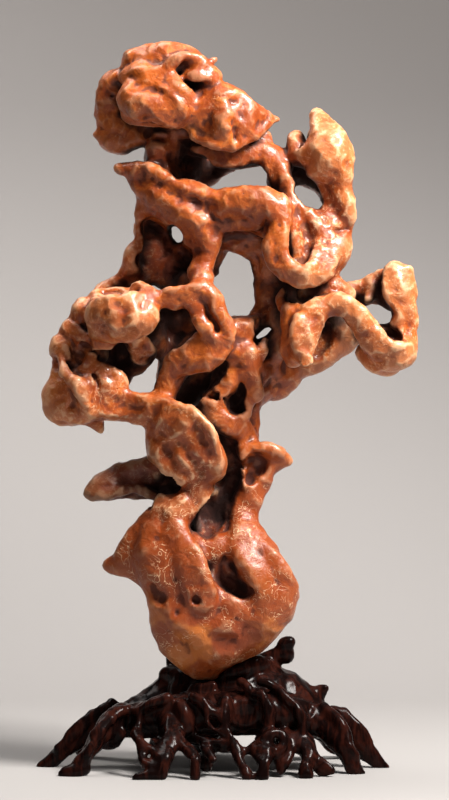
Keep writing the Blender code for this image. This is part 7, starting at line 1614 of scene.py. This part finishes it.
def stage_object(name, bm, material):
    """Object for the stage from a finished bmesh."""
    mesh = bpy.data.meshes.new(name)
    bm.to_mesh(mesh)
    bm.free()
    mesh.shade_smooth()
    mesh.materials.append(material)
    item = bpy.data.objects.new(name, mesh)
    bpy.context.scene.collection.objects.link(item)


def make_floor(material):
    """Wide paper floor."""
    bm = bmesh.new()
    bmesh.ops.create_grid(bm, x_segments=2, y_segments=2, size=FLOOR_HALF)
    stage_object("floor", bm, material)


def make_backdrop(material, gap):
    """Paper that turns up behind the object on a wide curve."""
    bm = bmesh.new()
    low = [bm.verts.new((side, gap - BACKDROP_BEND, 0.0005)) for side in (-BACKDROP_HALF, BACKDROP_HALF)]
    edge = bm.edges.new(low)
    turned = bmesh.ops.spin(bm, geom=low + [edge], cent=(0.0, gap - BACKDROP_BEND, BACKDROP_BEND),
                            axis=(1.0, 0.0, 0.0), angle=math.pi / 2, steps=24)
    top = [part for part in turned["geom_last"] if isinstance(part, bmesh.types.BMEdge)]
    risen = bmesh.ops.extrude_edge_only(bm, edges=top)
    verts = [part for part in risen["geom"] if isinstance(part, bmesh.types.BMVert)]
    bmesh.ops.translate(bm, vec=(0.0, 0.0, BACKDROP_HEIGHT), verts=verts)
    bm.normal_update()
    if bm.faces[:][0].normal.z < 0:
        bmesh.ops.reverse_faces(bm, faces=bm.faces[:])
    stage_object("backdrop", bm, material)


def soft_light(name, place, aim, size, power, tint):
    """Large square soft light."""
    light = bpy.data.lights.new(name, "AREA")
    light.energy = power
    light.size = size
    light.color = tint
    item = bpy.data.objects.new(name, light)
    item.location = place
    item.rotation_euler = (Vector(aim) - Vector(place)).to_track_quat("-Z", "Y").to_euler()
    bpy.context.scene.collection.objects.link(item)


def room_light(context):
    """Faint even light from the room, seen as pale paper where nothing else is."""
    world = bpy.data.worlds.new("room")
    world.use_nodes = True
    tree = world.node_tree
    light = tree.nodes["Background"]
    light.inputs["Color"].default_value = rgba(ROOM_TINT)
    light.inputs["Strength"].default_value = ROOM_STRENGTH
    pale = add_node(tree, "Background", {"Color": rgba(ROOM_TINT), "Strength": ROOM_SEEN})
    straight = tree.nodes.new("ShaderNodeLightPath").outputs["Is Camera Ray"]
    mix = add_node(tree, "MixShader", {0: straight, 1: light.outputs[0], 2: pale.outputs[0]})
    tree.links.new(mix.outputs[0], tree.nodes["World Output"].inputs["Surface"])
    context.scene.world = world


def place_camera(context):
    """Long lens a little above the middle of the object."""
    camera = bpy.data.cameras.new("camera")
    camera.lens = CAMERA_LENS
    camera.sensor_width = CAMERA_SENSOR
    item = bpy.data.objects.new("camera", camera)
    item.location = CAMERA_PLACE
    item.rotation_euler = (Vector(CAMERA_AIM) - Vector(CAMERA_PLACE)).to_track_quat("-Z", "Y").to_euler()
    bpy.context.scene.collection.objects.link(item)
    context.scene.camera = item


class SCHOLARSROCK_PT_panel(bpy.types.Panel):
    """Buttons for each piece and the stage"""
    bl_idname = "SCHOLARSROCK_PT_panel"
    bl_label = "Scholars Rock"
    bl_space_type = "VIEW_3D"
    bl_region_type = "UI"
    bl_category = "Scholars Rock"

    def draw(self, context):
        settings = context.scene.scholars_rock
        for operator, group in ((SCHOLARSROCK_OT_stone, settings.stone),
                                (SCHOLARSROCK_OT_stand, settings.stand),
                                (SCHOLARSROCK_OT_stage, settings.stage)):
            box = self.layout.box()
            for name in group.__annotations__:
                box.prop(group, name)
            box.operator(operator.bl_idname)


CLASSES = (StoneSettings, StandSettings, StageSettings, ScholarsRockSettings,
           SCHOLARSROCK_OT_stone, SCHOLARSROCK_OT_stand, SCHOLARSROCK_OT_stage,
           SCHOLARSROCK_PT_panel)


def register():
    """Add the classes and the settings."""
    for item in CLASSES:
        bpy.utils.register_class(item)
    bpy.types.Scene.scholars_rock = bpy.props.PointerProperty(type=ScholarsRockSettings)


def unregister():
    """Remove the settings and the classes."""
    del bpy.types.Scene.scholars_rock
    for item in reversed(CLASSES):
        bpy.utils.unregister_class(item)


def main():
    """Make every piece and the stage."""
    register()
    bpy.ops.scholarsrock.stone()
    bpy.ops.scholarsrock.stand()
    bpy.ops.scholarsrock.stage()


if __name__ == "__main__":
    main()
